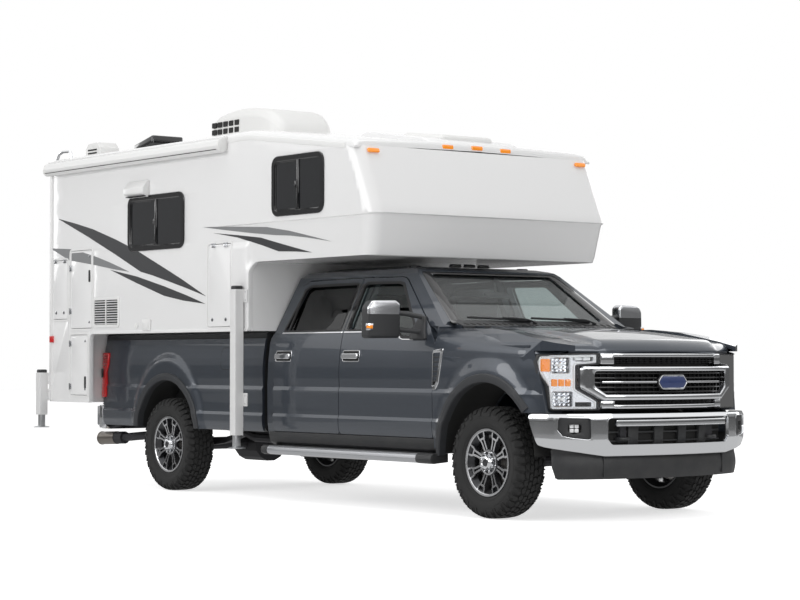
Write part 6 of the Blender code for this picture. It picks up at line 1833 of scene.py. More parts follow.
    def bumper(self) -> None:
        """Chrome bumper with its openings, crossbar and fog lamps."""
        half = [(0.0, 0.779), (0.6, 0.779), (1.075, 0.779), (1.235, 0.776), (1.215, 0.7),
                (1.15, 0.56), (1.095, 0.545), (0.76, 0.498), (0.62, 0.478), (0.0, 0.478)]
        line = rounded(half, [0.0, 0.0, 0.01, 0.015, 0.0, 0.03, 0.04, 0.06, 0.06, 0.0], 5)
        outline = line[1:-1] + [(-u, w) for u, w in reversed(line[1:-1])]
        centre = rounded([(-0.615, 0.752), (0.615, 0.752), (0.615, 0.6), (0.58, 0.556),
                          (-0.58, 0.556), (-0.615, 0.6)], [0.035, 0.035, 0.03, 0.04, 0.04, 0.03],
                         5)
        fog = rounded([(0.74, 0.752), (0.985, 0.757), (0.99, 0.665), (0.955, 0.622), (0.88, 0.606),
                       (0.74, 0.592)], [0.025, 0.025, 0.02, 0.02, 0.02, 0.025], 5)
        shell = plate(outline, "Y", -0.0045, 0.0)
        holes = [centre, fog, [(-u, w) for u, w in reversed(fog)]]
        shell.cut(*[plate(hole, "Y", -0.1, 0.1) for hole in holes])
        shell.sliced(0, -1.24, 1.24, 0.045).sliced(2, 0.478, 0.779, 0.03, [0.77, 0.775, 0.486])
        form = self.on_bumper(shell)
        for hole in holes:
            lip = band(grown(hole, 0.0015), grown(hole, -0.004), -0.03, 0.0015, 0.0015)
            form.add(self.on_bumper(lip.sliced(0, -1.2, 1.2, 0.045)))
        bar = plate(rounded(rectangle(-0.548, 0.548, 0.69, 0.736), 0.01, 4), "Y", -0.04,
                    0.012).soften(0.01, 3, 50.0)
        form.add(self.on_bumper(bar.sliced(0, -0.6, 0.6, 0.05)))
        # Near-black sheet behind the centre opening: painted shade of the hollow behind the bumper.
        painted_shade_backing = plate(grown(centre, 0.01), "Y", -0.1, -0.09).sliced(0, -0.7, 0.7, 0.08)
        form.add(self.on_bumper(painted_shade_backing).paint(1))
        for u in (-0.36, -0.12, 0.12, 0.36):
            post = box((u - 0.045, -0.095, 0.55), (u + 0.045, -0.06, 0.7), 0.006)
            form.add(self.on_bumper(post).paint(2))
        for level in (0.575, 0.64):
            form.add(self.on_bumper(box((-0.61, -0.093, level), (0.61, -0.075, level + 0.012),
                                        0.003).sliced(0, -0.6, 0.6, 0.1)) .paint(2))
        for sign in (-1.0, 1.0):
            hook = smooth_path([(0.8, 0.4, 0.6), (0.885, 0.4, 0.6), (0.905, 0.42, 0.6),
                                (0.905, 0.455, 0.6), (0.885, 0.475, 0.6), (0.8, 0.475, 0.6)], 5)
            form.add(pipe([(x, sign * y, z) for x, y, z in hook], 0.012, 12).paint(2))
            bucket = plate([(sign * u, w) for u, w in grown(fog, 0.002)], "Y", -0.07, -0.06).sliced(0,
                                                                                                      -1.1,
                                                                                                      1.1,
                                                                                                      0.06)
            form.add(self.on_bumper(bucket).paint(2))
            turns = [math.atan2(w - 0.678, u - 0.86) for u, w in fog]
            eye = [(0.86 + 0.052 * math.cos(turn), 0.677 + 0.044 * math.sin(turn)) for turn in turns]
            bezel = band(grown(fog, -0.003), eye, -0.06, -0.012, 0.006)
            if sign < 0:
                bezel.bend(lambda v: (-v.x, v.y, v.z))
            form.add(self.on_bumper(bezel.sliced(0, -1.1, 1.1, 0.04)).paint(2))
            for i in (-1, 1):
                for j in (-1, 1):
                    u, w = sign * (0.86 + 0.018 * i), 0.677 + 0.016 * j
                    cell = box((u - 0.015, -0.062, w - 0.0135), (u + 0.015, -0.04, w + 0.0135), 0.004)
                    form.add(self.on_bumper(cell).paint(3))
        form.piece("front_bumper_chrome", [CHROME, BLACK_AND_PAINTED_SHADE, BLACK, LENS_WHITE],
                   replaces=["front_bumper"], slot="chrome", sharp=35.0)

    def on_bumper(self, form: Form) -> Form:
        """Wrap a form drawn in XZ, with Y outwards, around the bumper's plan."""

        def place(v: Vector) -> tuple[float, float, float]:
            """Point on the bumper for a point of the drawing."""
            lean = 0.01 * ease(0.755, 0.779, v.z) + 0.03 * ease(0.6, 0.478, v.z)
            x, y = self.bumper_point(v.x, lean - v.y)
            return x, y, v.z

        return form.bend(place).outwards()

    def dam(self) -> None:
        """Black air dam under the bumper."""
        half = [(0.0, 0.4885), (0.64, 0.4885), (0.77, 0.503), (1.04, 0.535), (1.062, 0.52),
                (1.05, 0.4), (1.03, 0.335), (0.99, 0.313), (0.0, 0.313)]
        line = rounded(half, [0.0, 0.03, 0.03, 0.01, 0.01, 0.03, 0.02, 0.02, 0.0], 4)
        outline = line[1:-1] + [(-u, w) for u, w in reversed(line[1:-1])]
        form = plate(outline, "Y", -0.062, -0.0385).sliced(0, -1.06, 1.06, 0.05).sliced(2, 0.313, 0.53,
                                                                                        0.02)
        form.bend(lambda v: (v.x, v.y + (0.014 * math.sin(math.pi
                                                          * min(max((v.z - 0.315) / 0.17, 0.0), 1.0))
                                         - 0.004), v.z))
        form = self.on_bumper(form)
        form.soften(0.003, 2, 60.0)
        for u in (-0.62, 0.62):
            form.add(self.on_bumper(box((u - 0.004, -0.045, 0.33), (u + 0.004, -0.0225, 0.47), 0.002)))
        form.piece("air_dam_skin", BLACK, replaces=["air_dam"], slot="black_plastic", sharp=40.0)

    def build(self) -> None:
        """Make the whole front end."""
        self.grille()
        for side in Side:
            self.lamp(side)
        self.bumper()
        self.dam()


def on_axle(profile: Outline, steps: int) -> Form:
    """Turn a profile about the wheel's axis."""
    return turned(profile, (0, 0, 0), (0, 1, 0), steps)


@dataclass
class Wheels:
    """Treaded tyres on machined alloy wheels, with brakes behind."""

    pitches: int = 42
    lug_height: float = 0.0125
    rolling_radius: float = 0.412
    section: tuple[tuple[float, float], ...] = ((0.0, 0.3994), (0.04, 0.399), (0.075, 0.3974),
                                                (0.096, 0.3945), (0.112, 0.389), (0.122, 0.377),
                                                (0.1275, 0.36), (0.13, 0.338), (0.129, 0.315),
                                                (0.1235, 0.29), (0.114, 0.266), (0.106, 0.256),
                                                (0.1, 0.252), (0.095, 0.244))

    def __post_init__(self) -> None:
        """Measure the tyre's section along its length."""
        self.runs = [0.0]
        for (y, r), (next_y, next_r) in zip(self.section, self.section[1:]):
            self.runs.append(self.runs[-1] + math.hypot(next_y - y, next_r - r))

    def on_section(self, run: float, lift: float) -> tuple[float, float]:
        """Point on the tyre's section.

        Args:
            run: Length along the section from the middle of the tread.
            lift: Height over it.

        Returns:
            Distance across the tyre and from its axis.
        """
        ahead = [(s, p[0]) for s, p in zip(self.runs, self.section)]
        up = [(s, p[1]) for s, p in zip(self.runs, self.section)]
        across, radius = smooth_table(ahead, run), smooth_table(up, run)
        step = 0.004
        dy = smooth_table(ahead, run + step) - smooth_table(ahead, max(run - step, 0.0))
        dr = smooth_table(up, run + step) - smooth_table(up, max(run - step, 0.0))
        size = math.hypot(dy, dr)
        return across - lift * dr / size, radius + lift * dy / size

    def lug(self, outline: Outline, side: float, turn: float, fade: float = 0.0) -> Form:
        """Make one tread block from its outline along the section and round the tyre."""
        form = plate(outline, "Y", -0.004, self.lug_height)
        top_edges = [e for e in form.bm.edges if all(v.co.y > 0.0 for v in e.verts)]
        bmesh.ops.bevel(form.bm, geom=top_edges, offset=0.0016, segments=1, affect="EDGES")

        def wrap(v: Vector) -> tuple[float, float, float]:
            """Wrap a point of the flat block round the tyre."""
            lift = v.y * (1.0 - fade * ease(0.105, 0.155, v.x)) if v.y > 0.0 else v.y
            across, radius = self.on_section(v.x, lift)
            angle = turn + v.z / self.rolling_radius
            return radius * math.cos(angle), side * across, radius * math.sin(angle)

        return form.bend(wrap).outwards()

    def tyre(self) -> Form:
        """One tyre with its axis along Y, its middle at the origin."""
        half = [self.on_section(self.runs[-1] * k / 26, 0.0) for k in range(27)]
        loop = [(r, y) for y, r in reversed(half)] + [(r, -y) for y, r in half[1:]]
        inner = [(0.232, -0.09), (0.3, -0.112), (0.375, -0.1), (0.392, 0.0), (0.375, 0.1),
                 (0.3, 0.112), (0.232, 0.09)]
        form = on_axle(loop + inner, 108)
        form.paint(0)
        for k in range(self.pitches):
            pitch = math.tau * k / self.pitches
            for side in (-1.0, 1.0):
                turn = pitch + (0.5 * math.tau / self.pitches if side > 0 else 0.0)
                centre = [(0.004, -0.024), (0.015, -0.0275), (0.033, -0.017), (0.036, 0.004),
                          (0.03, 0.022), (0.012, 0.025), (0.004, 0.015)]
                middle = [(0.043, -0.02), (0.06, -0.026), (0.074, -0.013), (0.076, 0.01),
                          (0.064, 0.023), (0.047, 0.017), (0.0415, 0.002)]
                form.add(self.lug(centre, side, turn))
                form.add(self.lug(middle, side, turn + 0.04))
                reach = 0.162 if k % 2 else 0.14
                wide = 0.02 if k % 2 else 0.0235
                shoulder = [(0.083, -0.016), (0.098, -wide), (0.12, -wide), (reach, -wide * 0.8),
                            (reach, wide * 0.8), (0.12, wide), (0.1, wide), (0.084, 0.016)]
                form.add(self.lug(shoulder, side, turn + 0.004, 0.45))
        for radius, across in ((0.33, 0.129), (0.278, 0.119)):
            for side in (-1.0, 1.0):
                form.add(on_axle([(radius - 0.003, side * (across - 0.004)),
                                  (radius - 0.001, side * (across + 0.0022)),
                                  (radius + 0.001, side * (across + 0.0022)),
                                  (radius + 0.003, side * (across - 0.004))], 108))
        return form

    def spoke(self, turn: float) -> Form:
        """One spoke: two machined rails over a dark web, joined near the rim."""
        form = Form()

        def dish(r: float) -> float:
            """Depth of the wheel's face at a radius."""
            return 0.085 + 0.012 * ease(0.09, 0.22, r)

        def rail(path: Outline, width: float, low: float, top: int) -> Form:
            """A bar along a path on the wheel's face, with bright top and dark sides."""
            left, right = [], []
            for i, (r, u) in enumerate(path):
                before = Vector(path[max(i - 1, 0)])
                after = Vector(path[min(i + 1, len(path) - 1)])
                way = (after - before).normalized()
                across = Vector((-way.y, way.x)) * width / 2
                left.append((r + across.x, u + across.y))
                right.append((r - across.x, u - across.y))
            bar = plate(left + right[::-1], "Y", -low, 0.0).paint(0)
            bmesh.ops.bevel(bar.bm, geom=[e for e in bar.bm.edges
                                          if all(v.co.y > -0.001 for v in e.verts)], offset=0.0016,
                            segments=2, affect="EDGES")
            bar.bm.normal_update()
            for part in bar.bm.faces:
                if abs(part.normal.y) > 0.5 and part.calc_center_median().y > -0.004:
                    part.material_index = top
            bar.bend(lambda v: (v.x, v.y + dish(v.x), v.z))
            return bar

        for side in (-1.0, 1.0):
            path = [(0.088, side * 0.0125), (0.15, side * 0.015), (0.176, side * 0.0185),
                    (0.196, side * 0.031), (0.232, side * 0.037)]
            form.add(rail(path, 0.0155, 0.042, 1))
        form.add(rail([(0.184, -0.03), (0.184, 0.03)], 0.015, 0.036, 1))
        web = plate([(0.08, -0.016), (0.18, -0.022), (0.236, -0.038), (0.236, 0.038), (0.18, 0.022),
                     (0.08, 0.016)], "Y", -0.046, -0.02)
        form.add(web.bend(lambda v: (v.x, v.y + dish(v.x), v.z)).paint(0))
        return form.move(Matrix.Rotation(turn, 4, "Y")).outwards()

    def rim(self) -> Form:
        """One wheel with its axis along Y, its outer face towards +Y."""
        barrel = [(0.25, 0.106), (0.25, 0.098), (0.232, 0.084), (0.212, 0.06), (0.208, -0.06),
                  (0.228, -0.084), (0.247, -0.096), (0.248, -0.106), (0.236, -0.106),
                  (0.22, -0.08), (0.201, -0.06), (0.203, 0.058), (0.223, 0.08), (0.234, 0.096)]
        form = on_axle(barrel, 96).paint(0)
        lip = [(0.25, 0.1045), (0.2485, 0.108), (0.235, 0.1078), (0.23, 0.1035), (0.233, 0.096),
               (0.249, 0.096)]
        form.add(on_axle(lip, 96).paint(1))
        for k in range(8):
            form.add(self.spoke(math.radians(22.5 + 45.0 * k)))
        hub = [(0.094, 0.04), (0.1, 0.07), (0.098, 0.086), (0.09, 0.092), (0.08, 0.09),
               (0.03, 0.09), (0.03, 0.04)]
        form.add(on_axle(hub, 64).paint(0))
        ring_edge = [(0.09, 0.09), (0.0905, 0.0955), (0.08, 0.0955), (0.08, 0.09)]
        form.add(on_axle(ring_edge, 64).paint(1))
        cap = [(0.062, 0.088), (0.06, 0.1), (0.05, 0.118), (0.045, 0.128), (0.036, 0.131),
               (0.033, 0.125), (0.02, 0.122), (0.0005, 0.122), (0.0005, 0.088)]
        form.add(on_axle(cap, 48).paint(2))
        for k in range(8):
            angle = math.tau * (k + 0.5) / 8
            spot = (0.07 * math.cos(angle), 0.0, 0.07 * math.sin(angle))
            nut = rod((spot[0], 0.086, spot[2]), (spot[0], 0.112, spot[2]), 0.0105, 6, soft=0.002).paint(2)
            form.add(nut)
            rib_spot = (0.052 * math.cos(angle + 0.39), 0.0, 0.052 * math.sin(angle + 0.39))
            rib = box((-0.007, 0.095, -0.004), (0.007, 0.121, 0.004), 0.002)
            rib.move(Matrix.Translation(rib_spot) @ Matrix.Rotation(-(angle + 0.39), 4, "Y"))
            form.add(rib.paint(2))
        dark_cap = on_axle([(0.028, 0.12), (0.026, 0.1265), (0.0005, 0.1275), (0.0005, 0.118)], 40)
        form.add(dark_cap.paint(0))
        return form

    def brake(self) -> Form:
        """Brake disc with its hat and cooling vanes, behind the spokes."""
        disc = [(0.18, 0.012), (0.18, 0.032), (0.098, 0.032), (0.096, 0.058), (0.03, 0.058),
                (0.03, 0.012)]
        form = on_axle(disc, 72).paint(0)
        for k in range(36):
            angle = math.tau * k / 36
            vane = rod((0.179 * math.cos(angle), 0.022, 0.179 * math.sin(angle)),
                       (0.1815 * math.cos(angle), 0.022, 0.1815 * math.sin(angle)), 0.004, 6)
            form.add(vane.paint(1))
        return form

    def build(self) -> None:
        """Make the four wheels."""
        tyre, rim, brake = self.tyre(), self.rim(), self.brake()
        for place in ("front", "rear"):
            for side in Side:
                name = f"wheel_{place}_{side.value}"
                low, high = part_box(f"tyre_{place}_{side.value}")
                centre = (low + high) / 2.0
                shift = Matrix.Translation((centre.x - AXLE_X, abs(centre.y), centre.z))
                rubber = tyre.copy().move(shift)
                rubber.sided(side).piece(f"tyre_{place}_{side.value}_tread", RUBBER, body=name,
                                         replaces=[f"tyre_{place}_{side.value}"], slot="tyre_rubber",
                                         sharp=40.0)
                metal = rim.copy().move(shift)
                metal.sided(side).piece(f"{name}_alloy", [ALLOY_DARK, ALLOY, CHROME], body=name,
                                        replaces=[name], slot="wheel_alloy", sharp=35.0)
                plates = brake.copy().move(shift)
                plates.sided(side).piece(f"brake_{place}_{side.value}", [STEEL_BARE, IRON], body=name,
                                         slot="axle_iron", sharp=35.0)


@dataclass
class RearEnd:
    """What the back of the camper and of the truck carries."""

    wall_x: float = -6.23
    ladder_y: tuple[float, float] = (-1.09, -0.78)
    ladder_x: float = -6.315
    tube: float = 0.0138
    hinge_out: float = 0.0073
    hinge_y: float = -0.486

    def on_wall(self, outline: Outline, depth: float, soft: float = 0.002) -> Form:
        """Make a plate that stands out from the rear wall by a depth."""
        return plate(outline, "X", self.wall_x - depth, self.wall_x + 0.001).soften(soft, 2, 50.0)

    def ladder(self) -> None:
        """Chrome ladder with its rungs, wall feet and hoops over the roof."""
        top = 3.05
        form = Form()
        hoop = [(self.ladder_x, top - 0.18), (-6.3535, top - 0.095), (-6.3535, top + 0.01),
                (self.ladder_x + 0.01, top + 0.085), (self.ladder_x + 0.09, top + 0.105),
                (self.ladder_x + 0.22, top + 0.1), (self.ladder_x + 0.25, top + 0.07),
                (self.ladder_x + 0.25, top + 0.03)]
        for y in self.ladder_y:
            path = [(self.ladder_x, y, 0.95), (self.ladder_x, y, 1.7), (self.ladder_x, y, 2.5)]
            form.add(pipe(path + [(x, y, z) for x, z in hoop], self.tube, 16))
            for z in (1.0, 1.95, 2.84):
                form.add(rod((self.wall_x, y, z), (self.ladder_x, y, z), 0.0105, 14))
                form.add(rod((self.wall_x - 0.006, y, z), (self.wall_x + 0.001, y, z), 0.026, 20,
                             soft=0.002))
        for k in range(6):
            z = 1.15 + 0.31 * k
            form.add(rod((self.ladder_x, self.ladder_y[0], z), (self.ladder_x, self.ladder_y[1], z),
                         0.0115, 14).paint(0))
            form.add(rod((self.ladder_x, self.ladder_y[0] + 0.02, z),
                         (self.ladder_x, self.ladder_y[1] - 0.02, z), 0.0128, 14) .paint(1))
        form.piece("ladder_tubes", [CHROME, BLACK], slot="chrome", sharp=35.0)

    def wall_trim(self) -> None:
        """Corner mouldings, marker lamps, tail lamps and the blank plate of the rear wall."""
        form = Form()
        for side in (-1.0, 1.0):
            corner = rounded(rectangle(side * 1.192 - 0.03, side * 1.192 + 0.03, 0.78, 3.04), 0.008, 2)
            form.add(self.on_wall(corner, 0.01, 0.004).paint(0))
            for k in range(14):
                form.add(screw((self.wall_x - 0.01, side * 1.18, 0.86 + 0.16 * k), (-1, 0, 0), 0.005,
                               0.0015).paint(1))
            lamp = rounded(rectangle(side * 0.99 - 0.12, side * 0.99 + 0.12, 0.88, 0.99), 0.02, 4)
            form.add(self.on_wall(grown(lamp, 0.01), 0.008).paint(0),
                     self.on_wall(lamp, 0.022, 0.006).paint(2))
            clear = rounded(rectangle(side * 0.94 - 0.04, side * 0.94 + 0.04, 0.9, 0.97), 0.01, 3)
            form.add(self.on_wall(clear, 0.0235, 0.003).paint(3))
        form.add(self.on_wall(rectangle(-1.17, 1.17, 3.01, 3.045), 0.012, 0.004).paint(0))
        form.add(self.on_wall(rectangle(-1.17, 1.17, 0.772, 0.8), 0.01, 0.003).paint(0))
        for y in (-0.12, 0.0, 0.12, -1.08, 1.08):
            marker = rounded(rectangle(y - 0.045, y + 0.045, 2.95, 2.98), 0.01, 3)
            form.add(self.on_wall(marker, 0.02, 0.006).paint(2))
        porch = rounded(rectangle(0.3, 0.42, 2.5, 2.62), 0.02, 4)
        form.add(self.on_wall(porch, 0.02, 0.004).paint(0),
                 self.on_wall(grown(porch, -0.016), 0.036, 0.008).paint(3))
        number = rounded(rectangle(0.5, 0.82, 1.18, 1.345), 0.01, 3)
        form.add(self.on_wall(grown(number, 0.012), 0.008).paint(1),
                 self.on_wall(number, 0.0105, 0.001).paint(4))
        vent = rounded(rectangle(0.52, 0.98, 1.52, 1.76), 0.02, 4)
        form.add(self.on_wall(vent, 0.01, 0.003).paint(0))
        # Near-black bars across the vent: painted shade of its slots.
        for k in range(9):
            z = 1.545 + 0.022 * k
            form.add(box((self.wall_x - 0.0135, 0.55, z), (self.wall_x - 0.006, 0.95, z + 0.009),
                         0.0015).paint(5))
        form.piece("rear_wall_trim", [TRIM_WHITE, CHROME_SATIN, RED_LENS, LENS_WHITE, WHITE_PLASTIC,
                                      BLACK_AND_PAINTED_SHADE], slot="camper_white", sharp=35.0)

    def entry_door(self) -> None:
        """Frame, window, hinges and latch of the entry door."""
        frame_outline = rounded(rectangle(-0.493, 0.213, 0.917, 2.763), 0.07, 8)
        surround = ring(frame_outline, 0.016, -0.01, 0.01, 0.003)
        surround.bend(lambda v: (self.wall_x - v.y, v.x, v.z))
        surround.outwards()
        surround.piece("entry_door_frame", CHROME_SATIN, slot="camper_white", sharp=35.0)
        face_x = self.wall_x - 0.004
        form = Form()
        door = rounded(rectangle(-0.474, 0.194, 0.936, 2.744), 0.056, 8)
        form.add(plate(door, "X", face_x - 0.005, face_x + 0.001).soften(0.003, 2, 50.0).paint(0))
        pane = rounded(rectangle(-0.34, 0.06, 1.9, 2.4), 0.05, 6)
        form.add(plate(grown(pane, 0.022), "X", face_x - 0.016, face_x).soften(0.005, 2, 50.0).paint(1))
        form.add(plate(grown(pane, -0.004), "X", face_x - 0.0175, face_x - 0.01).soften(0.001, 1,
                                                                                         50.0).paint(2))
        form.add(box((face_x - 0.018, -0.345, 2.14), (face_x - 0.012, 0.065, 2.152), 0.001).paint(1))
        inset = rounded(rectangle(-0.38, 0.1, 1.06, 1.74), 0.03, 5)
        raised = ring(inset, 0.012, 0.0, 0.004, 0.0015)
        raised.bend(lambda v: (face_x - 0.005 - v.y, v.x, v.z))
        raised.outwards()
        form.add(raised.paint(0))
        cup = rounded(rectangle(0.09, 0.17, 1.78, 1.9), 0.016, 4)
        form.add(plate(cup, "X", face_x - 0.014, face_x).soften(0.004, 2, 50.0).paint(1))
        # Near-black floor of the handle cup: painted shade in the recess.
        form.add(plate(grown(cup, -0.014), "X", face_x - 0.0155, face_x - 0.012).paint(3))
        form.add(box((face_x - 0.03, 0.104, 1.835), (face_x - 0.012, 0.156, 1.858), 0.006).paint(4))
        form.add(rod((face_x - 0.019, 0.13, 1.806), (face_x - 0.012, 0.13, 1.806), 0.009, 20,
                     soft=0.001).paint(4))
        for z in (1.1, 1.84, 2.6):
            pin = [(self.wall_x - self.hinge_out, self.hinge_y, end) for end in (z - 0.0515, z + 0.0515)]
            form.add(rod(*pin, 0.0076, 14).paint(4))
        form.piece("entry_door_fittings", [GELCOAT, CHROME_SATIN, CAMPER_GLASS, BLACK_AND_PAINTED_SHADE, CHROME],
                   body="camper_entry_door", slot="camper_white", sharp=35.0)
        grab = smooth_path([(self.wall_x, 0.29, 1.5), (self.wall_x - 0.055, 0.29, 1.525),
                            (self.wall_x - 0.06, 0.29, 1.7), (self.wall_x - 0.06, 0.29, 2.0),
                            (self.wall_x - 0.055, 0.29, 2.175), (self.wall_x, 0.29, 2.2)], 5)
        handle = pipe(grab, 0.0125, 16).paint(0)
        for z in (1.5, 2.2):
            handle.add(rod((self.wall_x - 0.006, 0.29, z), (self.wall_x + 0.001, 0.29, z), 0.026, 20,
                           soft=0.002).paint(0))
        handle.piece("entry_grab_handle", CHROME, slot="chrome", sharp=35.0)

    def truck_tail(self) -> None:
        """Bumper ends and pads, exhaust tip and hitch of the truck."""
        form = Form()
        half = [(-5.64, 0.948), (-5.74, 0.952), (-5.778, 0.935), (-5.793, 0.895), (-5.796, 0.6),
                (-5.796, 0.35)]
        inner = [(x + (0.02 if y < 0.94 else 0.0), y - 0.018) for x, y in reversed(half)]
        for side in (-1.0, 1.0):
            shell = plate([(x, side * y) for x, y in half + inner], "Z", 0.528, 0.742).soften(0.006, 3,
                                                                                              50.0)
            form.add(shell.paint(0))
            pad = rounded([(-5.785, side * 0.36), (-5.785, side * 0.9), (-5.65, side * 0.94),
                           (-5.64, side * 0.36)], 0.02, 4)
            form.add(plate(pad, "Z", 0.752, 0.762).soften(0.003, 2, 50.0).paint(1))
            for k in range(6):
                x = -5.77 + 0.022 * k
                form.add(box((x, side * 0.63 - 0.24, 0.76), (x + 0.01, side * 0.63 + 0.24, 0.7655),
                             0.001).paint(1))
            form.add(box((-5.798, side * 0.76 - 0.03, 0.6), (-5.79, side * 0.76 + 0.03, 0.64),
                         0.003).paint(1))
        plate_outline = rounded(rectangle(-0.17, 0.17, 0.535, 0.69), 0.012, 3)
        form.add(plate(grown(plate_outline, 0.008), "X", -5.7945,
                       -5.789).cut(box((-5.9, -0.05, 0.5), (-5.5, 0.05, 0.645))) .paint(1))
        form.add(plate(rectangle(-0.16, 0.16, 0.648, 0.684), "X", -5.797, -5.793).paint(2))
        form.piece("rear_bumper_skin", [CHROME, BLACK, WHITE_PLASTIC], slot="chrome", sharp=35.0)
        start, end = Vector((-5.56, -0.8667, 0.438)), Vector((-5.786, -0.9009, 0.4298))
        tip = rod(start, end, 0.0605, 40).paint(0)
        tip.add(rod(end - (end - start).normalized() * 0.012, end + (end - start).normalized() * 0.004,
                    0.0635, 40, soft=0.003) .paint(0))
        way = (end - start).normalized()
        # Near-black disc just inside the tip: painted shade of the pipe's hollow.
        tip.add(rod(end + way * 0.0035, end + way * 0.0052, 0.054, 40).paint(1))
        tip.piece("exhaust_tip", [EXHAUST, BLACK_AND_PAINTED_SHADE], slot="axle_iron", sharp=35.0)

    def liners(self) -> None:
        """Black liners inside the wheel arches."""
        for side in Side:
            form = Form()
            for (centre_x, centre_z, radius), low, inside, outside in ((BODY.front_arch, 0.0, 0.6, 1.0),
                                                                       (BODY.rear_arch, 9.0, 0.7, 0.985)):
                reach = radius - 0.006
                rows = []
                for k in range(33):
                    angle = math.radians(low + (180.0 - 2.0 * low) * k / 32)
                    x, z = centre_x + reach * math.cos(angle), centre_z + reach * math.sin(angle)
                    rows.append([(x, inside, z), (x, (inside + outside) / 2, z), (x, outside, z)])
                shell = skinned(rows, closed=False)
                shell.thickened(lambda v: (centre_x + (v.x - centre_x) * 0.994, v.y,
                                           centre_z + (v.z - centre_z) * 0.994))
                form.add(shell)
            # The liners are real black plastic in the near-black finish, which also carries the painted
            # shade inside the arches.
            form.sided(side).piece(f"arch_liner_{side.value}", BLACK_AND_PAINTED_SHADE, slot="black_plastic",
                                   sharp=35.0)

    def build(self) -> None:
        """Make every piece of the back and below."""
        self.ladder()
        self.wall_trim()
        self.entry_door()
        self.truck_tail()
        self.liners()


WHITE = (1.0, 1.0, 1.0, 1.0)
LAMPS = {
    "top_lamp": ((1.0, -1.0, 9.0), (0.0, 0.0, 1.5), (9.0, 7.0), 300.0),
    "side_lamp": ((-1.0, -9.0, 5.0), (-0.5, 0.0, 1.6), (9.0, 4.0), 310.0),
    "front_lamp": ((10.0, -1.5, 4.0), (1.0, 0.0, 1.4), (5.0, 3.5), 160.0),
    "left_lamp": ((-1.0, 10.0, 5.0), (-0.5, 0.0, 1.6), (9.0, 4.0), 170.0),
    "back_lamp": ((-14.0, -1.0, 4.0), (-3.0, 0.0, 1.8), (6.0, 4.0), 170.0),
}


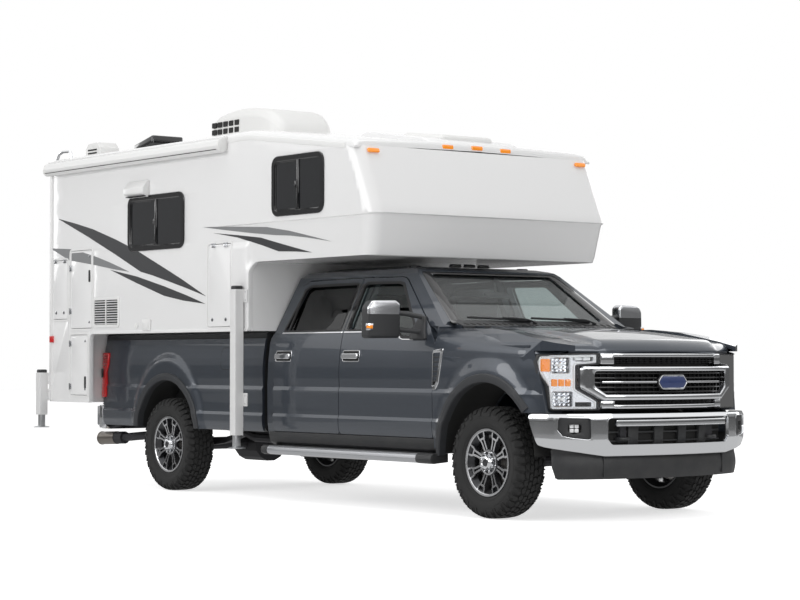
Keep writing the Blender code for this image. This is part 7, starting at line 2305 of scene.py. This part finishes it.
@dataclass
class Studio:
    """Floor, light and camera."""

    eye: Point = (15.168, -11.25, 1.157)
    azimuth: float = 52.776
    rise: float = 1.58
    lens: float = 99.144
    floor_half: float = 60.0
    sky: float = 0.46
    floor_glow: float = 0.62
    band_reach: float = 20.0
    band_height: float = 5.0
    dark_from: float = 6.5

    def shown(self, tree: bpy.types.NodeTree, least: float,
              most: float | None = None) -> bpy.types.NodeSocket:
        """Make a strength that is higher for the camera, for reflections and through glass.

        Args:
            tree: Where the nodes go.
            least: Strength for the rays that light the vehicle, or the only one where most is left out.
            most: Strength for the rays that show it.

        Returns:
            The socket of the strength.
        """
        low, high = (0.0, least) if most is None else (least, most)
        path = put_node(tree, "LightPath").outputs
        seen = put_node(tree, "Math", {}, {0: path["Is Camera Ray"], 1: path["Is Glossy Ray"]},
                        operation="MAXIMUM").outputs["Value"]
        through = put_node(tree, "Math", {}, {0: seen, 1: path["Is Transmission Ray"]}, operation="MAXIMUM")
        level = put_node(tree, "MapRange", {"To Min": low, "To Max": high},
                         {"Value": through.outputs["Value"]})
        return level.outputs["Result"]

    def staged(self, name: str, form: Form, values: dict) -> bpy.types.Object:
        """Make a piece of the studio.

        Args:
            name: Its name, and its material's.
            form: Its shape.
            values: Values of its shader.

        Returns:
            The object, declared as stage.
        """
        mesh = bpy.data.meshes.new(name)
        form.bm.to_mesh(mesh)
        form.bm.free()
        made = bpy.data.materials.new(name)
        made.use_nodes = True
        for key, value in values.items():
            made.node_tree.nodes["Principled BSDF"].inputs[key].default_value = value
        mesh.materials.append(made)
        thing = bpy.data.objects.new(name, mesh)
        # The object.
        bpy.context.scene.collection.objects.link(thing)
        return thing

    def floor(self) -> None:
        """Lay a pale floor that is white to the camera apart from the shadow."""
        form = Form()
        bmesh.ops.create_grid(form.bm, x_segments=2, y_segments=2, size=self.floor_half)
        thing = self.staged("studio_floor", form, {
            "Base Color": (0.93, 0.93, 0.93, 1.0), "Roughness": 0.9, "Specular IOR Level": 0.1,
            "Emission Color": WHITE})
        tree = thing.data.materials[0].node_tree
        tree.links.new(self.shown(tree, self.floor_glow),
                       tree.nodes["Principled BSDF"].inputs["Emission Strength"])

    def dark_card(self, name: str, profile: Outline, shade: float) -> None:
        """Turn a dark card round the vehicle that only its glossy surfaces show.

        Args:
            name: Its name.
            profile: Radius and height of its edges.
            shade: How light it is.
        """
        form = turned(profile, (0.0, 0.0, 0.0), (0.0, 0.0, 1.0), 64, closed=False)
        thing = self.staged(name, form, {"Base Color": (0.0, 0.0, 0.0, 1.0), "Specular IOR Level": 0.0,
                                         "Emission Color": WHITE, "Emission Strength": shade})
        thing.visible_camera = False
        thing.visible_diffuse = False
        thing.visible_shadow = False
        thing.visible_transmission = False

    def world(self) -> None:
        """White surroundings for the camera and for reflections, softer light on the vehicle."""
        world = bpy.data.worlds.new("studio_world")
        world.use_nodes = True
        back = world.node_tree.nodes["Background"]
        back.inputs["Color"].default_value = WHITE
        world.node_tree.links.new(self.shown(world.node_tree, self.sky, 1.0), back.inputs["Strength"])
        bpy.context.scene.world = world

    def lamp(self, name: str, at: Point, aim: Point, size: tuple[float, float], power: float) -> None:
        """Hang one large soft lamp.

        Args:
            name: Its name.
            at: Where it hangs.
            aim: What it points at.
            size: Width and height.
            power: Watts.
        """
        light = bpy.data.lights.new(name, "AREA")
        light.shape = "RECTANGLE"
        light.size, light.size_y = size
        light.energy = power
        thing = bpy.data.objects.new(name, light)
        thing.location = at
        thing.rotation_euler = (Vector(aim) - Vector(at)).to_track_quat("-Z", "Y").to_euler()
        bpy.context.scene.collection.objects.link(thing)

    def camera(self) -> None:
        """Stand the camera where the photograph was taken."""
        data = bpy.data.cameras.new("photo_camera")
        data.lens = self.lens
        data.sensor_width = 36.0
        data.clip_end = 500.0
        thing = bpy.data.objects.new("photo_camera", data)
        thing.location = self.eye
        turn = math.radians(self.azimuth)
        way = Vector((-math.sin(turn), math.cos(turn), math.tan(math.radians(self.rise))))
        thing.rotation_euler = way.to_track_quat("-Z", "Y").to_euler()
        bpy.context.scene.collection.objects.link(thing)
        bpy.context.scene.camera = thing

    def build(self) -> None:
        """Set the whole studio up."""
        self.floor()
        self.world()
        for name, lamp in LAMPS.items():
            self.lamp(name, *lamp)
        middle = self.band_height * 0.42
        self.dark_card("low_band", [(self.band_reach, 0.0), (self.band_reach, middle)], 0.1)
        self.dark_card("high_band", [(self.band_reach, middle), (self.band_reach, self.band_height)], 0.26)
        self.dark_card("near_floor_card", [(0.05, 0.012), (self.dark_from, 0.012)], 0.58)
        self.dark_card("far_floor_card", [(self.dark_from, 0.015), (self.band_reach, 0.015)], 0.3)
        self.camera()
        bpy.context.scene.view_settings.view_transform = "Standard"


SLOT_FINISHES = {
    "body_paint": PAINT, "camper_white": GELCOAT, "chrome": CHROME, "black_plastic": BLACK,
    "tyre_rubber": RUBBER, "wheel_alloy": ALLOY, "frame_steel": STEEL, "axle_iron": IRON,
    "glass": DOOR_GLASS, "window_glass": CAMPER_GLASS, "lamp_clear": REFLECTOR, "lamp_red": RED_LENS,
    "brushed_metal": ALUMINIUM, "cabin_trim": CABIN,
}
NODE_FINISHES = {
    "cargo_bed": BLACK, "rear_door_glass_left": PRIVACY_GLASS, "rear_door_glass_right": PRIVACY_GLASS,
    "windshield": SCREEN_GLASS,
}


def dress_solids() -> None:
    """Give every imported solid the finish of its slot."""
    slots = {part["node"]: part["material_slot"] for part in frame["record"]["subparts"]}
    for name, thing in frame["nodes"].items():
        finish = NODE_FINISHES.get(name, SLOT_FINISHES[slots[name]])
        thing.data.materials.clear()
        thing.data.materials.append(finish.material())
        LOG.info("%s dressed in %s", name, finish.name)


def main() -> None:
    """Build the whole scene."""
    logging.basicConfig(level=logging.INFO, format="%(message)s")
    dress_solids()
    CamperBody().build()
    TruckBody().build()
    Wheels().build()
    RearEnd().build()
    FrontEnd().build()
    Studio().build()
    LOG.info("%d pieces, %d triangles", Form.count, Form.triangles)


if __name__ == "__main__":
    main()
